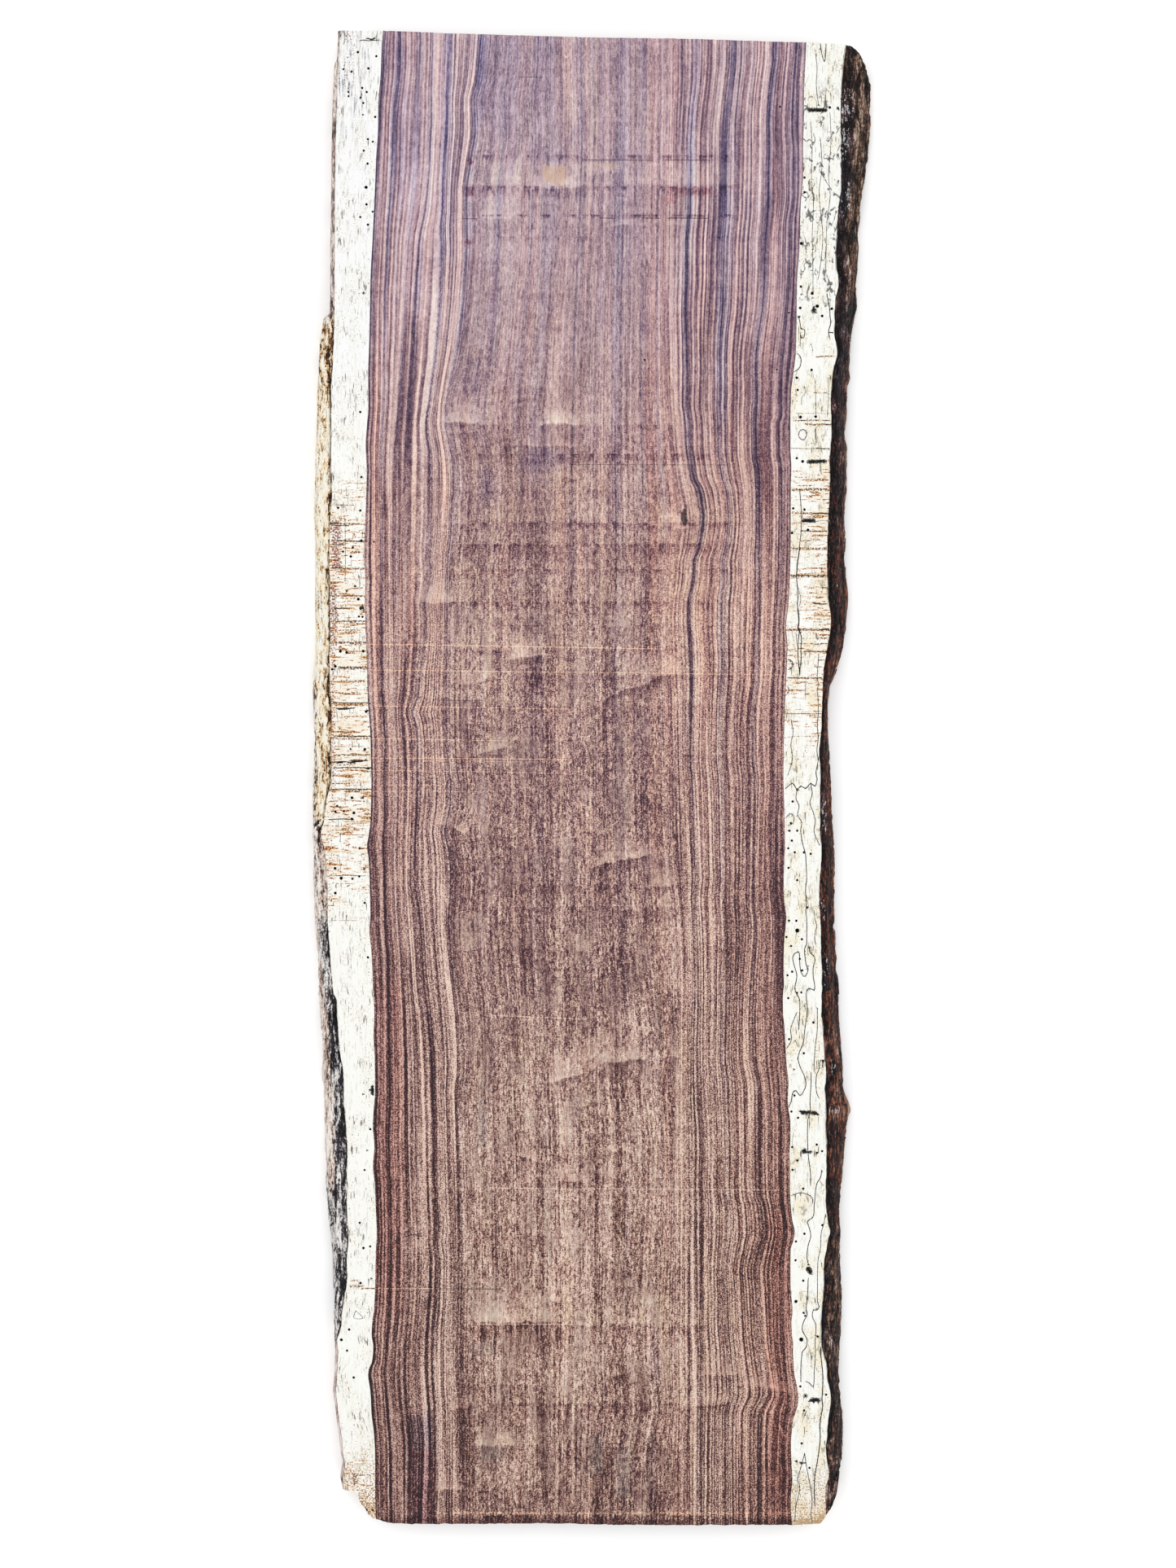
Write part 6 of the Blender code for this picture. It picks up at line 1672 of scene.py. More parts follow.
# Each growth ring: (ring, tone, cool, warm). Tone runs from 0 dark to 1 pale
# with 0.5 plain; cool is a navy cast and warm a salmon one.
BARS = [
    (456, 472, [(456.0, 0.00, 0.2, 0.0), (457.4, 0.04, 0.3, 0.0), (458.6, 0.20, 0.5, 0.1), (460.4, 0.26, 0.4, 0.2),
                (461.3, 0.14, 0.4, 0.1), (462.2, 0.52, 0.1, 0.7), (463.6, 0.66, 0.0, 0.9), (464.8, 0.46, 0.0, 0.8),
                (465.8, 0.66, 0.0, 0.9), (466.6, 0.40, 0.1, 0.6), (467.6, 0.68, 0.0, 0.9), (468.8, 0.50, 0.2, 0.5),
                (469.8, 0.30, 0.6, 0.2), (471.0, 0.12, 0.9, 0.0), (472.0, 0.06, 1.0, 0.0)]),
    (472, 486, [(472.0, 0.06, 1.0, 0.0), (473.4, 0.10, 0.9, 0.0), (474.4, 0.42, 0.3, 0.3), (475.6, 0.66, 0.0, 0.7),
                (477.0, 0.48, 0.1, 0.7), (478.0, 0.62, 0.0, 0.6), (479.0, 0.36, 0.3, 0.3), (479.9, 0.22, 0.5, 0.2),
                (480.8, 0.44, 0.2, 0.3), (481.6, 0.84, 0.0, 0.6), (482.8, 0.88, 0.0, 0.6), (483.6, 0.52, 0.1, 0.4),
                (484.4, 0.26, 0.4, 0.2), (485.2, 0.36, 0.3, 0.3), (486.0, 0.58, 0.0, 0.5)]),
    (486, 500, [(486.0, 0.58, 0.0, 0.5), (487.0, 0.46, 0.2, 0.3), (488.0, 0.20, 0.8, 0.0), (489.6, 0.16, 0.8, 0.0),
                (490.6, 0.42, 0.3, 0.2), (491.6, 0.54, 0.0, 0.4), (492.6, 0.42, 0.2, 0.2), (493.6, 0.74, 0.0, 0.6),
                (494.8, 0.84, 0.0, 0.6), (495.6, 0.56, 0.0, 0.4), (496.6, 0.40, 0.3, 0.2), (497.8, 0.48, 0.3, 0.2),
                (499.0, 0.28, 0.5, 0.1), (500.0, 0.20, 0.5, 0.1)]),
    (500, 514, [(500.0, 0.20, 0.5, 0.1), (501.0, 0.36, 0.3, 0.2), (502.2, 0.72, 0.0, 0.6), (503.8, 0.92, 0.0, 0.5),
                (505.2, 0.84, 0.0, 0.5), (506.2, 0.48, 0.1, 0.3), (507.2, 0.26, 0.4, 0.1), (508.4, 0.44, 0.2, 0.3),
                (509.6, 0.54, 0.1, 0.5), (510.6, 0.44, 0.3, 0.3), (511.4, 0.18, 0.9, 0.0), (513.0, 0.03, 1.0, 0.0),
                (514.0, 0.10, 1.0, 0.0)]),
    (514, 562, [(514.0, 0.10, 1.0, 0.0), (515.4, 0.36, 0.6, 0.0), (517.4, 0.52, 0.2, 0.1), (519.4, 0.62, 0.0, 0.2),
                (521.6, 0.50, 0.1, 0.2), (524.0, 0.60, 0.0, 0.1), (526.6, 0.52, 0.1, 0.1), (529.0, 0.68, 0.0, 0.3),
                (531.0, 0.54, 0.0, 0.2), (534.0, 0.60, 0.0, 0.3), (536.4, 0.46, 0.1, 0.2), (539.0, 0.62, 0.0, 0.4),
                (541.0, 0.56, 0.0, 0.4), (543.0, 0.66, 0.0, 0.4), (545.0, 0.60, 0.0, 0.4), (547.4, 0.82, 0.0, 0.4),
                (549.2, 0.66, 0.0, 0.3), (550.6, 0.30, 0.6, 0.0), (552.0, 0.22, 0.9, 0.0), (556.0, 0.26, 0.8, 0.0),
                (558.4, 0.38, 0.5, 0.0), (560.4, 0.46, 0.3, 0.1), (562.0, 0.44, 0.2, 0.1)]),
    (562, 640, [(562.0, 0.44, 0.2, 0.1), (565.0, 0.34, 0.3, 0.1), (568.0, 0.50, 0.1, 0.1), (572.0, 0.36, 0.2, 0.2),
                (576.0, 0.50, 0.1, 0.1), (581.0, 0.56, 0.0, 0.1), (585.0, 0.44, 0.3, 0.0), (590.0, 0.58, 0.1, 0.1),
                (594.0, 0.52, 0.4, 0.0), (597.0, 0.32, 0.5, 0.0), (599.0, 0.36, 0.4, 0.0), (601.4, 0.56, 0.1, 0.1),
                (606.0, 0.62, 0.0, 0.2), (611.0, 0.46, 0.2, 0.1), (616.0, 0.56, 0.0, 0.2), (621.0, 0.40, 0.1, 0.2),
                (626.0, 0.52, 0.0, 0.3), (631.0, 0.44, 0.1, 0.2), (636.0, 0.52, 0.1, 0.2), (639.0, 0.32, 0.3, 0.1),
                (640.0, 0.34, 0.3, 0.1)]),
    (640, 708, [(640.0, 0.34, 0.3, 0.1), (642.4, 0.50, 0.1, 0.2), (646.0, 0.42, 0.1, 0.2), (650.0, 0.56, 0.0, 0.3),
                (654.0, 0.42, 0.3, 0.1), (658.0, 0.50, 0.4, 0.0), (662.0, 0.36, 0.6, 0.0), (666.0, 0.46, 0.4, 0.0),
                (670.0, 0.38, 0.3, 0.1), (674.0, 0.52, 0.1, 0.2), (678.0, 0.46, 0.1, 0.2), (681.6, 0.58, 0.0, 0.3),
                (686.0, 0.66, 0.0, 0.3), (692.0, 0.68, 0.0, 0.3), (698.0, 0.62, 0.1, 0.2), (701.6, 0.52, 0.2, 0.1),
                (703.6, 0.32, 0.4, 0.0), (706.4, 0.28, 0.4, 0.0), (708.0, 0.46, 0.2, 0.1)]),
    (708, 790, [(708.0, 0.46, 0.2, 0.1), (713.0, 0.62, 0.0, 0.2), (719.0, 0.56, 0.0, 0.2), (724.0, 0.44, 0.2, 0.1),
                (729.0, 0.56, 0.1, 0.2), (733.4, 0.38, 0.4, 0.1), (736.0, 0.30, 0.4, 0.1), (738.4, 0.48, 0.2, 0.2),
                (741.6, 0.74, 0.0, 0.3), (744.0, 0.58, 0.1, 0.2), (748.0, 0.42, 0.2, 0.3), (752.4, 0.52, 0.1, 0.3),
                (757.0, 0.40, 0.6, 0.0), (761.4, 0.34, 0.8, 0.0), (766.0, 0.46, 0.5, 0.0), (770.4, 0.56, 0.2, 0.2),
                (774.4, 0.34, 0.3, 0.2), (778.0, 0.50, 0.1, 0.3), (782.4, 0.44, 0.3, 0.2), (786.4, 0.52, 0.2, 0.2),
                (790.0, 0.38, 0.4, 0.1)]),
    (790, 838, [(790.0, 0.38, 0.4, 0.1), (793.0, 0.34, 0.4, 0.2), (796.0, 0.24, 0.3, 0.3), (799.0, 0.28, 0.2, 0.4),
                (801.4, 0.52, 0.0, 0.8), (805.0, 0.62, 0.0, 0.9), (809.0, 0.58, 0.0, 0.9), (812.4, 0.64, 0.0, 0.8),
                (814.4, 0.36, 0.4, 0.3), (816.4, 0.42, 0.3, 0.3), (818.6, 0.74, 0.0, 0.6), (821.0, 0.84, 0.0, 0.6),
                (823.4, 0.62, 0.0, 0.6), (825.4, 0.78, 0.0, 0.6), (828.0, 0.60, 0.0, 0.8), (830.4, 0.72, 0.0, 0.7),
                (833.0, 0.54, 0.0, 0.8), (835.4, 0.66, 0.0, 0.6), (838.0, 0.46, 0.1, 0.5)]),
    (838, 874, [(838.0, 0.46, 0.1, 0.5), (840.0, 0.34, 0.2, 0.4), (841.8, 0.54, 0.1, 0.5), (843.6, 0.62, 0.0, 0.5),
                (845.8, 0.50, 0.3, 0.2), (847.8, 0.34, 0.9, 0.0), (849.2, 0.10, 1.0, 0.0), (850.8, 0.10, 1.0, 0.0),
                (852.2, 0.40, 0.8, 0.0), (854.0, 0.58, 0.2, 0.3), (857.0, 0.78, 0.0, 0.5), (859.0, 0.52, 0.0, 0.7),
                (861.4, 0.44, 0.0, 0.8), (863.4, 0.64, 0.0, 0.8), (865.4, 0.44, 0.0, 0.7), (867.6, 0.66, 0.0, 0.7),
                (869.6, 0.42, 0.1, 0.5), (872.0, 0.62, 0.0, 0.6), (874.0, 0.42, 0.2, 0.4)]),
    (874, 914, [(874.0, 0.42, 0.2, 0.4), (876.4, 0.62, 0.0, 0.6), (879.6, 0.72, 0.0, 0.6), (881.6, 0.50, 0.4, 0.2),
                (884.6, 0.38, 0.9, 0.0), (887.2, 0.32, 1.0, 0.0), (889.6, 0.48, 0.6, 0.1), (892.6, 0.54, 0.3, 0.2),
                (894.6, 0.30, 0.5, 0.2), (896.6, 0.52, 0.1, 0.5), (898.4, 0.34, 0.1, 0.5), (900.6, 0.60, 0.0, 0.6),
                (902.4, 0.42, 0.0, 0.6), (904.4, 0.58, 0.0, 0.6), (906.0, 0.30, 0.3, 0.4), (907.6, 0.38, 0.3, 0.4),
                (909.4, 0.64, 0.0, 0.6), (911.6, 0.52, 0.0, 0.6), (914.0, 0.60, 0.0, 0.6)]),
    (914, 940, [(914.0, 0.60, 0.0, 0.6), (915.8, 0.70, 0.0, 0.5), (917.6, 0.48, 0.1, 0.4), (919.4, 0.66, 0.0, 0.5),
                (921.0, 0.44, 0.2, 0.4), (922.6, 0.54, 0.1, 0.4), (924.0, 0.28, 0.6, 0.1), (925.4, 0.14, 0.9, 0.0),
                (927.7, 0.03, 1.0, 0.0), (929.6, 0.10, 1.0, 0.0), (930.8, 0.34, 0.5, 0.2), (932.0, 0.58, 0.1, 0.7),
                (934.0, 0.62, 0.0, 0.9), (936.0, 0.48, 0.0, 0.9), (938.0, 0.60, 0.0, 0.9), (940.0, 0.46, 0.0, 0.8)]),
    (940, 964, [(940.0, 0.46, 0.0, 0.8), (941.6, 0.36, 0.2, 0.6), (943.4, 0.54, 0.0, 0.8), (945.0, 0.40, 0.1, 0.6),
                (946.6, 0.50, 0.0, 0.7), (948.2, 0.32, 0.2, 0.5), (950.0, 0.42, 0.1, 0.5), (951.6, 0.26, 0.5, 0.2),
                (953.4, 0.12, 0.8, 0.0), (955.2, 0.16, 0.7, 0.0), (956.8, 0.32, 0.3, 0.3), (958.4, 0.24, 0.3, 0.3),
                (959.8, 0.34, 0.2, 0.4), (961.2, 0.22, 0.3, 0.2), (962.4, 0.28, 0.2, 0.2), (963.6, 0.04, 0.2, 0.0)]),
]

# Saw bands down the sheet. Each is (top, foot, dark, pale): a pale one is
# smooth with a crisp foot, a dark one has a crisp top and fades out below.
ROWS = [
    (84, 97, 0.45, 0), (100, 108, 0.3, 0), (150, 158, 0.25, 0), (190, 199, 0.85, 0), (200, 227, 0, 0.8), (228, 242, 0.95, 0),
    (243, 262, 0, 0.3), (263, 268.5, 0.95, 0), (269.5, 277, 0, 0.75), (278, 288, 0.35, 0), (290, 298, 0.55, 0),
    (300, 318, 0, 0.35), (320, 332, 0.4, 0), (334, 352, 0, 0.2), (360, 374, 0.3, 0), (384, 392, 0.2, 0), (414, 424, 0, 0.2),
    (428, 440, 0.25, 0), (455, 462, 0.25, 0), (478, 490, 0.2, 0), (505, 520.5, 0, 0.7), (521.5, 546, 0.6, 0),
    (547, 555, 0.5, 0), (557, 572, 0.85, 0), (572.5, 577, 0, 0.8), (578, 602, 0, 0.6), (602.5, 609, 0.6, 0), (610, 641, 0, 0.6),
    (641.5, 652, 0.95, 0), (652.5, 666, 0, 0.5), (667.5, 690, 0.8, 0), (690.5, 698, 0, 0.4), (698.5, 707, 0.7, 0),
    (708, 737, 0, 0.55), (738.5, 752, 0.8, 0), (752.5, 766, 0, 0.35), (767, 774, 0.5, 0), (775, 797, 0, 0.55),
    (798, 808, 0.5, 0), (809, 828, 0, 0.5), (829.5, 848, 0.55, 0), (849, 866, 0, 0.4), (867, 884, 0.6, 0), (885, 904, 0.25, 0),
    (907, 925, 0, 0.45), (926, 934, 0.6, 0), (936, 946, 0, 0.35), (948, 962, 0.4, 0), (965, 985, 0, 0.15), (990, 1004, 0.2, 0),
    (1006, 1022, 0, 0.45), (1023, 1046, 0.35, 0), (1060, 1074, 0.3, 0), (1076, 1085, 0, 0.3), (1086, 1099, 0.65, 0),
    (1100, 1112, 0, 0.5), (1113, 1134, 0.5, 0), (1136, 1163, 0, 0.35), (1164.5, 1180, 0.6, 0), (1182, 1196, 0.3, 0),
    (1198, 1214, 0, 0.2), (1216, 1238, 0.2, 0), (1240, 1249, 0.4, 0), (1254, 1300, 0, 0.4), (1302, 1330, 0.5, 0),
    (1338, 1352, 0.4, 0), (1354, 1376, 0, 0.2), (1378, 1392, 0.25, 0), (1396, 1418, 0, 0.3), (1420, 1440, 0.4, 0),
    (1446, 1458, 0.5, 0), (1463, 1480, 0.3, 0), (1484, 1500, 0, 0.2), (1502, 1516, 0.3, 0), (1518, 1530, 0.45, 0),
    (1532, 1558, 0, 0.3), (1560, 1572, 0.35, 0), (1574, 1582, 0, 0.3), (1583.5, 1590, 0.35, 0), (1591, 1626, 0, 0.65),
    (1627.5, 1664, 0.75, 0), (1666, 1700, 0, 0.4), (1701, 1706, 0.3, 0), (1707, 1722, 0, 0.5), (1723.5, 1750, 0.65, 0),
    (1753, 1776, 0, 0.5), (1777, 1800, 0.45, 0), (1802, 1826, 0, 0.3), (1830, 1852, 0.65, 0), (1853, 1860, 0, 0.4),
    (1861, 1872, 0.9, 0), (1872, 1880, 0.9, 0),
]


def wood_material():
    g = Graph("slab_wood_finish")
    ring = g.attribute("ring").outputs["Fac"]
    ink, org, saw = g.split("marks_a")
    pal, drk, gry = g.split("marks_b")
    blu, red, wrm = g.split("marks_c")
    where = g.node("ShaderNodeTexCoord").outputs["Object"]
    sep = g.node("ShaderNodeSeparateXYZ")
    g.put(sep.inputs[0], where)
    x, y, z = (g.mul(s, 1000.0) for s in sep.outputs[:3])
    row = g.sub(SHEET_Y, y)
    normal = g.node("ShaderNodeNewGeometry").outputs["True Normal"]
    sn = g.node("ShaderNodeSeparateXYZ")
    g.put(sn.inputs[0], normal)
    end = g.span(g.math("ABSOLUTE", sn.outputs[1]), 0.45, 0.6)

    def grain(across, dx, along, dy, dz, detail=1.0, rough=0.5, lo=0.34, hi=0.66, seed=0.0):
        """Noise stretched along the grain, spread to the full 0..1."""
        vector = g.vector(g.mul(across, 1 / dx), g.mul(along, 1 / dy), g.add(g.mul(z, 1 / dz), seed))
        return g.span(g.noise(vector, 1.0, detail, rough), lo, hi, 0.0, 1.0, "LINEAR")

    def dashes(across, wide, along, tall, seed):
        """Short upright dashes, each with a tone of its own, in files."""
        file_ = g.math("FLOOR", g.mul(across, 1 / wide))
        start = g.node("ShaderNodeTexWhiteNoise")
        g.put(start.inputs[0], g.vector(file_, seed, 0.5))
        step = g.math("FLOOR", g.add(g.mul(along, 1 / tall), g.mul(start.outputs[0], 9.0)))
        cell = g.node("ShaderNodeTexWhiteNoise")
        g.put(cell.inputs[0], g.vector(file_, step, g.add(g.math("FLOOR", g.mul(z, 1 / 3.7)), seed)))
        return cell.outputs[0]

    # rings sway a little along the grain, but not at the heartwood's edge
    sway = g.noise(g.vector(g.mul(ring, 1 / 90), g.mul(y, 1 / 150), 3.1), 1.0, 2.0, 0.5)
    sway2 = g.noise(g.vector(g.mul(ring, 1 / 25), g.mul(y, 1 / 45), 7.7), 1.0, 1.0, 0.5)
    free = g.mul(g.span(ring, HEART_FROM + 1, HEART_FROM + 26), g.span(ring, HEART_TO - 1, HEART_TO - 26))
    bend = g.mul(g.add(g.mul(g.sub(sway, 0.5), 3.2), g.mul(g.sub(sway2, 0.5), 1.4)), free)
    r = g.add(ring, bend)

    # one coloured line or bar per ring
    tone, cool_bar, warm_bar = None, None, None
    for lo, hi, stops in BARS:
        f = g.span(r, lo, hi, 0.0, 1.0, "LINEAR")
        first = lo == HEART_FROM
        last = hi == 964
        part = g.ramp(f, [((p - lo) / (hi - lo), (t, c, w)) for p, t, c, w in stops])
        split = g.node("ShaderNodeSeparateColor")
        g.put(split.inputs[0], part)
        here = g.mul(
            1.0 if first else g.math("GREATER_THAN", r, float(lo)),
            1.0 if last else g.math("LESS_THAN", r, hi + 0.00001),
        )
        t, c, w = (g.mul(v, here) for v in split.outputs[:3])
        tone = t if tone is None else g.add(tone, t)
        cool_bar = c if cool_bar is None else g.add(cool_bar, c)
        warm_bar = w if warm_bar is None else g.add(warm_bar, w)
    sides = g.math("MAXIMUM", g.span(ring, 580, 535), g.span(ring, 806, 850))
    plain = grain(ring, 10, y, 190, 60, 2.0, 0.5, 0.30, 0.70)
    strength = g.add(
        0.23, g.mul(plain, 0.20), g.mul(sides, g.add(0.02, g.mul(g.span(y, 250, -350), 0.24))), g.mul(g.sub(1.0, free), 0.20)
    )
    bars = g.mul(g.sub(tone, 0.5), g.mul(strength, 0.80))
    bars = g.add(bars, g.mul(g.span(tone, 0.24, 0.04), g.add(-0.05, g.mul(g.span(y, -250, 500), -0.13))))

    # saw bands
    dark_row, pale_row = None, None
    for k in range(0, len(ROWS), 10):
        some = ROWS[k:k + 10]
        lo, hi = some[0][0] - 3.0, some[-1][1] + 3.0
        stops = [(lo, 0.0, 0.0)]
        for top, foot, dark, pale in some:
            if dark:
                stops += [(top - 0.8, 0.0, 0.0), (top + 1.2, dark, 0.0), (foot, dark * 0.25, 0.0)]
            else:
                stops += [(top, 0.0, pale * 0.25), (foot - 1.5, 0.0, pale), (foot + 0.5, 0.0, 0.0)]
        stops = sorted(stops)[:31] + [(hi, 0.0, 0.0)]
        f = g.span(row, lo, hi, 0.0, 1.0, "LINEAR")
        part = g.ramp(f, [((p - lo) / (hi - lo), (d, q, 0.0)) for p, d, q in stops])
        split = g.node("ShaderNodeSeparateColor")
        g.put(split.inputs[0], part)
        dark_row = split.outputs[0] if dark_row is None else g.add(dark_row, split.outputs[0])
        pale_row = split.outputs[1] if pale_row is None else g.add(pale_row, split.outputs[1])
    inner = g.mul(g.span(ring, 540, 575), g.span(ring, 925, 880))
    where_dark = grain(r, 11, y, 42, 60, 2.0, 0.6, 0.40, 0.60, 11.0)
    where_pale = grain(r, 13, y, 60, 60, 2.0, 0.6, 0.42, 0.62, 19.0)
    dark_row = g.mul(g.mul(dark_row, where_dark), g.add(0.18, g.mul(inner, 0.82)))
    pale_row = g.mul(g.mul(pale_row, where_pale), g.add(0.12, g.mul(inner, 0.88)))

    # fibres and pores, from fine to broad
    comb = grain(r, 2.1, y, 300, 260, 1.0, 0.5, 0.36, 0.64)
    comb2 = grain(r, 4.6, y, 480, 480, 2.0, 0.5, 0.34, 0.66, 5.0)
    dash = grain(r, 1.9, y, 5.2, 1.9, 1.0, 0.5, 0.37, 0.63)
    fleck = grain(r, 2.2, y, 13.0, 2.2, 1.0, 0.5, 0.36, 0.64)
    streak = grain(r, 3.4, y, 55.0, 3.4, 2.0, 0.55, 0.32, 0.68)
    grit = grain(x, 1.6, y, 1.8, 1.9, 1.0, 0.5, 0.38, 0.62, 17.0)
    salt = g.span(g.noise(g.vector(g.mul(x, 1 / 1.5), g.mul(y, 1 / 1.5), 19.0), 1.0, 1.0, 0.5), 0.42, 0.58)
    jog = g.mul(g.noise(g.vector(g.mul(x, 1 / 7), g.mul(y, 1 / 26), 13.0), 1.0, 2.0, 0.6), 5.0)
    tick = dashes(g.add(r, jog), 1.6, y, 4.6, 3.0)
    stroke = dashes(g.add(r, jog), 1.9, y, 15.0, 8.0)
    comb3 = grain(r, 3.2, y, 620, 400, 1.0, 0.5, 0.36, 0.64, 27.0)
    patchy = grain(r, 13, y, 88, 30, 2.0, 0.55, 0.38, 0.62, 37.0)
    # pores stand in files: long lines that the short dashes break up
    dark_file = g.span(g.noise(g.vector(g.mul(r, 1 / 2.2), g.mul(y, 1 / 70), 23.0), 1.0, 1.0, 0.5), 0.48, 0.62)
    pale_file = g.span(g.noise(g.vector(g.mul(r, 1 / 2.2), g.mul(y, 1 / 60), 29.0), 1.0, 1.0, 0.5), 0.48, 0.64)
    band = grain(r, 15, y, 330, 15, 2.0, 0.5, 0.28, 0.72)
    cloud = g.noise(g.vector(g.mul(x, 1 / 70), g.mul(y, 1 / 60), 9.3), 1.0, 3.0, 0.6)
    ripple = g.noise(g.vector(g.mul(ring, 1 / 75), g.mul(y, 1 / 7.5), 5.3), 1.0, 2.0, 0.5)
    dark_pore = g.span(g.noise(g.vector(g.mul(r, 1 / 1.7), g.mul(y, 1 / 6), g.add(g.mul(z, 1 / 1.7), 7.0)), 1.0, 1.0, 0.5), 0.56, 0.64)
    pale_pore = g.span(g.noise(g.vector(g.mul(r, 1 / 1.7), g.mul(y, 1 / 5), g.add(g.mul(z, 1 / 1.7), 41.0)), 1.0, 1.0, 0.5), 0.59, 0.67)
    speck = g.noise(g.vector(g.mul(x, 1 / 1.9), g.mul(y, 1 / 3.0), g.mul(z, 1 / 1.9)), 1.0, 2.0, 0.6)

    low = g.span(y, 420, -380)
    coarse = g.span(y, 660, 60)
    # height down the slab with a soft wander; it sets where the painted sky reflection and the painted shade fall
    painted_light_height = g.add(y, g.mul(g.sub(cloud, 0.5), 260.0))
    # the pale figure, smoothed and lifted, is partly a painted sheen
    smooth_pale = g.span(g.add(pal, g.mul(g.sub(fleck, 0.5), 0.30), g.mul(g.sub(dash, 0.5), 0.10)), 0.14, 0.66)
    smooth_pale = g.math("MAXIMUM", smooth_pale, g.mul(pale_row, 0.8))
    calm = g.sub(1.0, g.mul(sides, 0.40))
    # upright greyish blocks where the surface is smoother
    veil = g.span(g.noise(g.vector(g.mul(x, 1 / 24), g.mul(y, 1 / 75), 47.0), 1.0, 2.0, 0.5), 0.53, 0.60)
    veil = g.mul(g.mul(veil, g.span(y, 330, 120)), g.sub(1.0, sides))
    texture = g.add(
        g.mul(g.mul(g.sub(tick, 0.5), g.add(0.18, g.mul(coarse, 0.12), g.mul(low, 0.04))), calm),
        g.mul(g.mul(g.sub(stroke, 0.5), g.add(0.08, g.mul(low, 0.02))), calm),
        g.mul(g.mul(g.sub(dash, 0.5), g.add(0.10, g.mul(coarse, 0.12))), g.sub(1.0, g.mul(sides, 0.20))),
        g.mul(g.sub(fleck, 0.5), 0.09),
        g.mul(g.sub(streak, 0.5), g.add(0.08, g.mul(low, 0.03))),
        g.mul(g.sub(salt, 0.5), g.add(0.08, g.mul(coarse, 0.20), g.mul(g.mul(sides, low), 0.16))),
        g.mul(g.sub(comb, 0.5), g.add(0.16, g.mul(sides, 0.36), g.mul(low, 0.05))),
        g.mul(g.sub(comb2, 0.5), g.add(0.10, g.mul(sides, 0.02), g.mul(low, 0.03))),
        g.mul(g.sub(comb3, 0.5), g.add(0.03, g.mul(sides, g.add(0.08, g.mul(low, 0.09))))),
        g.mul(g.mul(g.sub(grit, 0.5), g.add(0.10, g.mul(coarse, 0.20))), g.sub(1.0, g.mul(sides, 0.10))),
        g.mul(g.mul(dark_file, g.add(0.10, dash)), g.add(-0.05, g.mul(low, -0.06))),
        g.mul(g.mul(pale_file, g.sub(1.10, dash)), g.add(0.05, g.mul(low, 0.04))),
        g.mul(dark_pore, g.add(-0.03, g.mul(low, -0.07))),
        g.mul(pale_pore, g.add(0.04, g.mul(low, 0.07))),
    )
    upper_left = g.mul(g.span(ring, 560, 520), g.span(y, 200, 640))
    t = g.add(
        0.52,
        bars,
        # darker toward the lower end: painted shade
        g.mul(low, -0.032),
        g.mul(upper_left, 0.06),
        g.mul(g.mul(g.span(ring, 840, 880), g.span(y, 200, 640)), -0.062),
        g.mul(g.mul(g.mul(g.span(row, 500, 580), g.span(row, 860, 780)), g.sub(1.0, sides)), -0.026),
        # darker again at the lower end: painted shade
        g.mul(g.span(y, -740, -860), -0.05),
        g.mul(texture, g.sub(g.add(1.0, g.mul(g.mul(coarse, g.sub(1.0, sides)), 0.12)), g.add(g.mul(smooth_pale, 0.44), g.mul(veil, 0.42)))),
        g.mul(veil, 0.016),
        # a touch lighter toward the upper end: painted light
        g.mul(g.span(y, 250, 500), 0.012),
        g.mul(g.sub(band, 0.5), g.add(0.13, g.mul(low, 0.09))),
        g.mul(g.mul(g.sub(patchy, 0.5), g.add(0.04, g.mul(coarse, 0.07))), calm),
        g.mul(g.sub(cloud, 0.5), g.add(0.16, g.mul(low, 0.08))),
        g.mul(g.mul(g.mul(g.span(row, 780, 960), g.span(row, 1330, 1250)), g.sub(1.0, sides)), -0.052),
        g.mul(g.mul(g.mul(g.span(row, 1290, 1360), g.span(row, 1760, 1660)), g.sub(1.0, sides)), 0.044),
        g.mul(g.mul(g.span(ring, 565, 545), g.mul(g.span(row, 60, 300), g.span(row, 1300, 1100))), 0.030),
        g.mul(g.mul(g.span(ring, 469, 463), g.span(row, 320, 180)), -0.05),
        g.mul(g.sub(ripple, 0.5), 0.14),
        g.mul(pale_row, 0.13),
        # the pale figure lifts the tone: partly a painted sheen
        g.mul(pal, g.add(0.105, g.mul(g.add(g.mul(streak, 0.45), g.mul(fleck, 0.30), g.mul(tick, 0.25)), 0.25))),
    )
    # dark rows break into upright dashes
    broken_row = g.span(g.add(dark_row, g.mul(g.sub(dash, 0.5), 0.9)), 0.20, 0.75)
    t = g.add(t, g.mul(g.mul(broken_row, dark_row), -0.42))
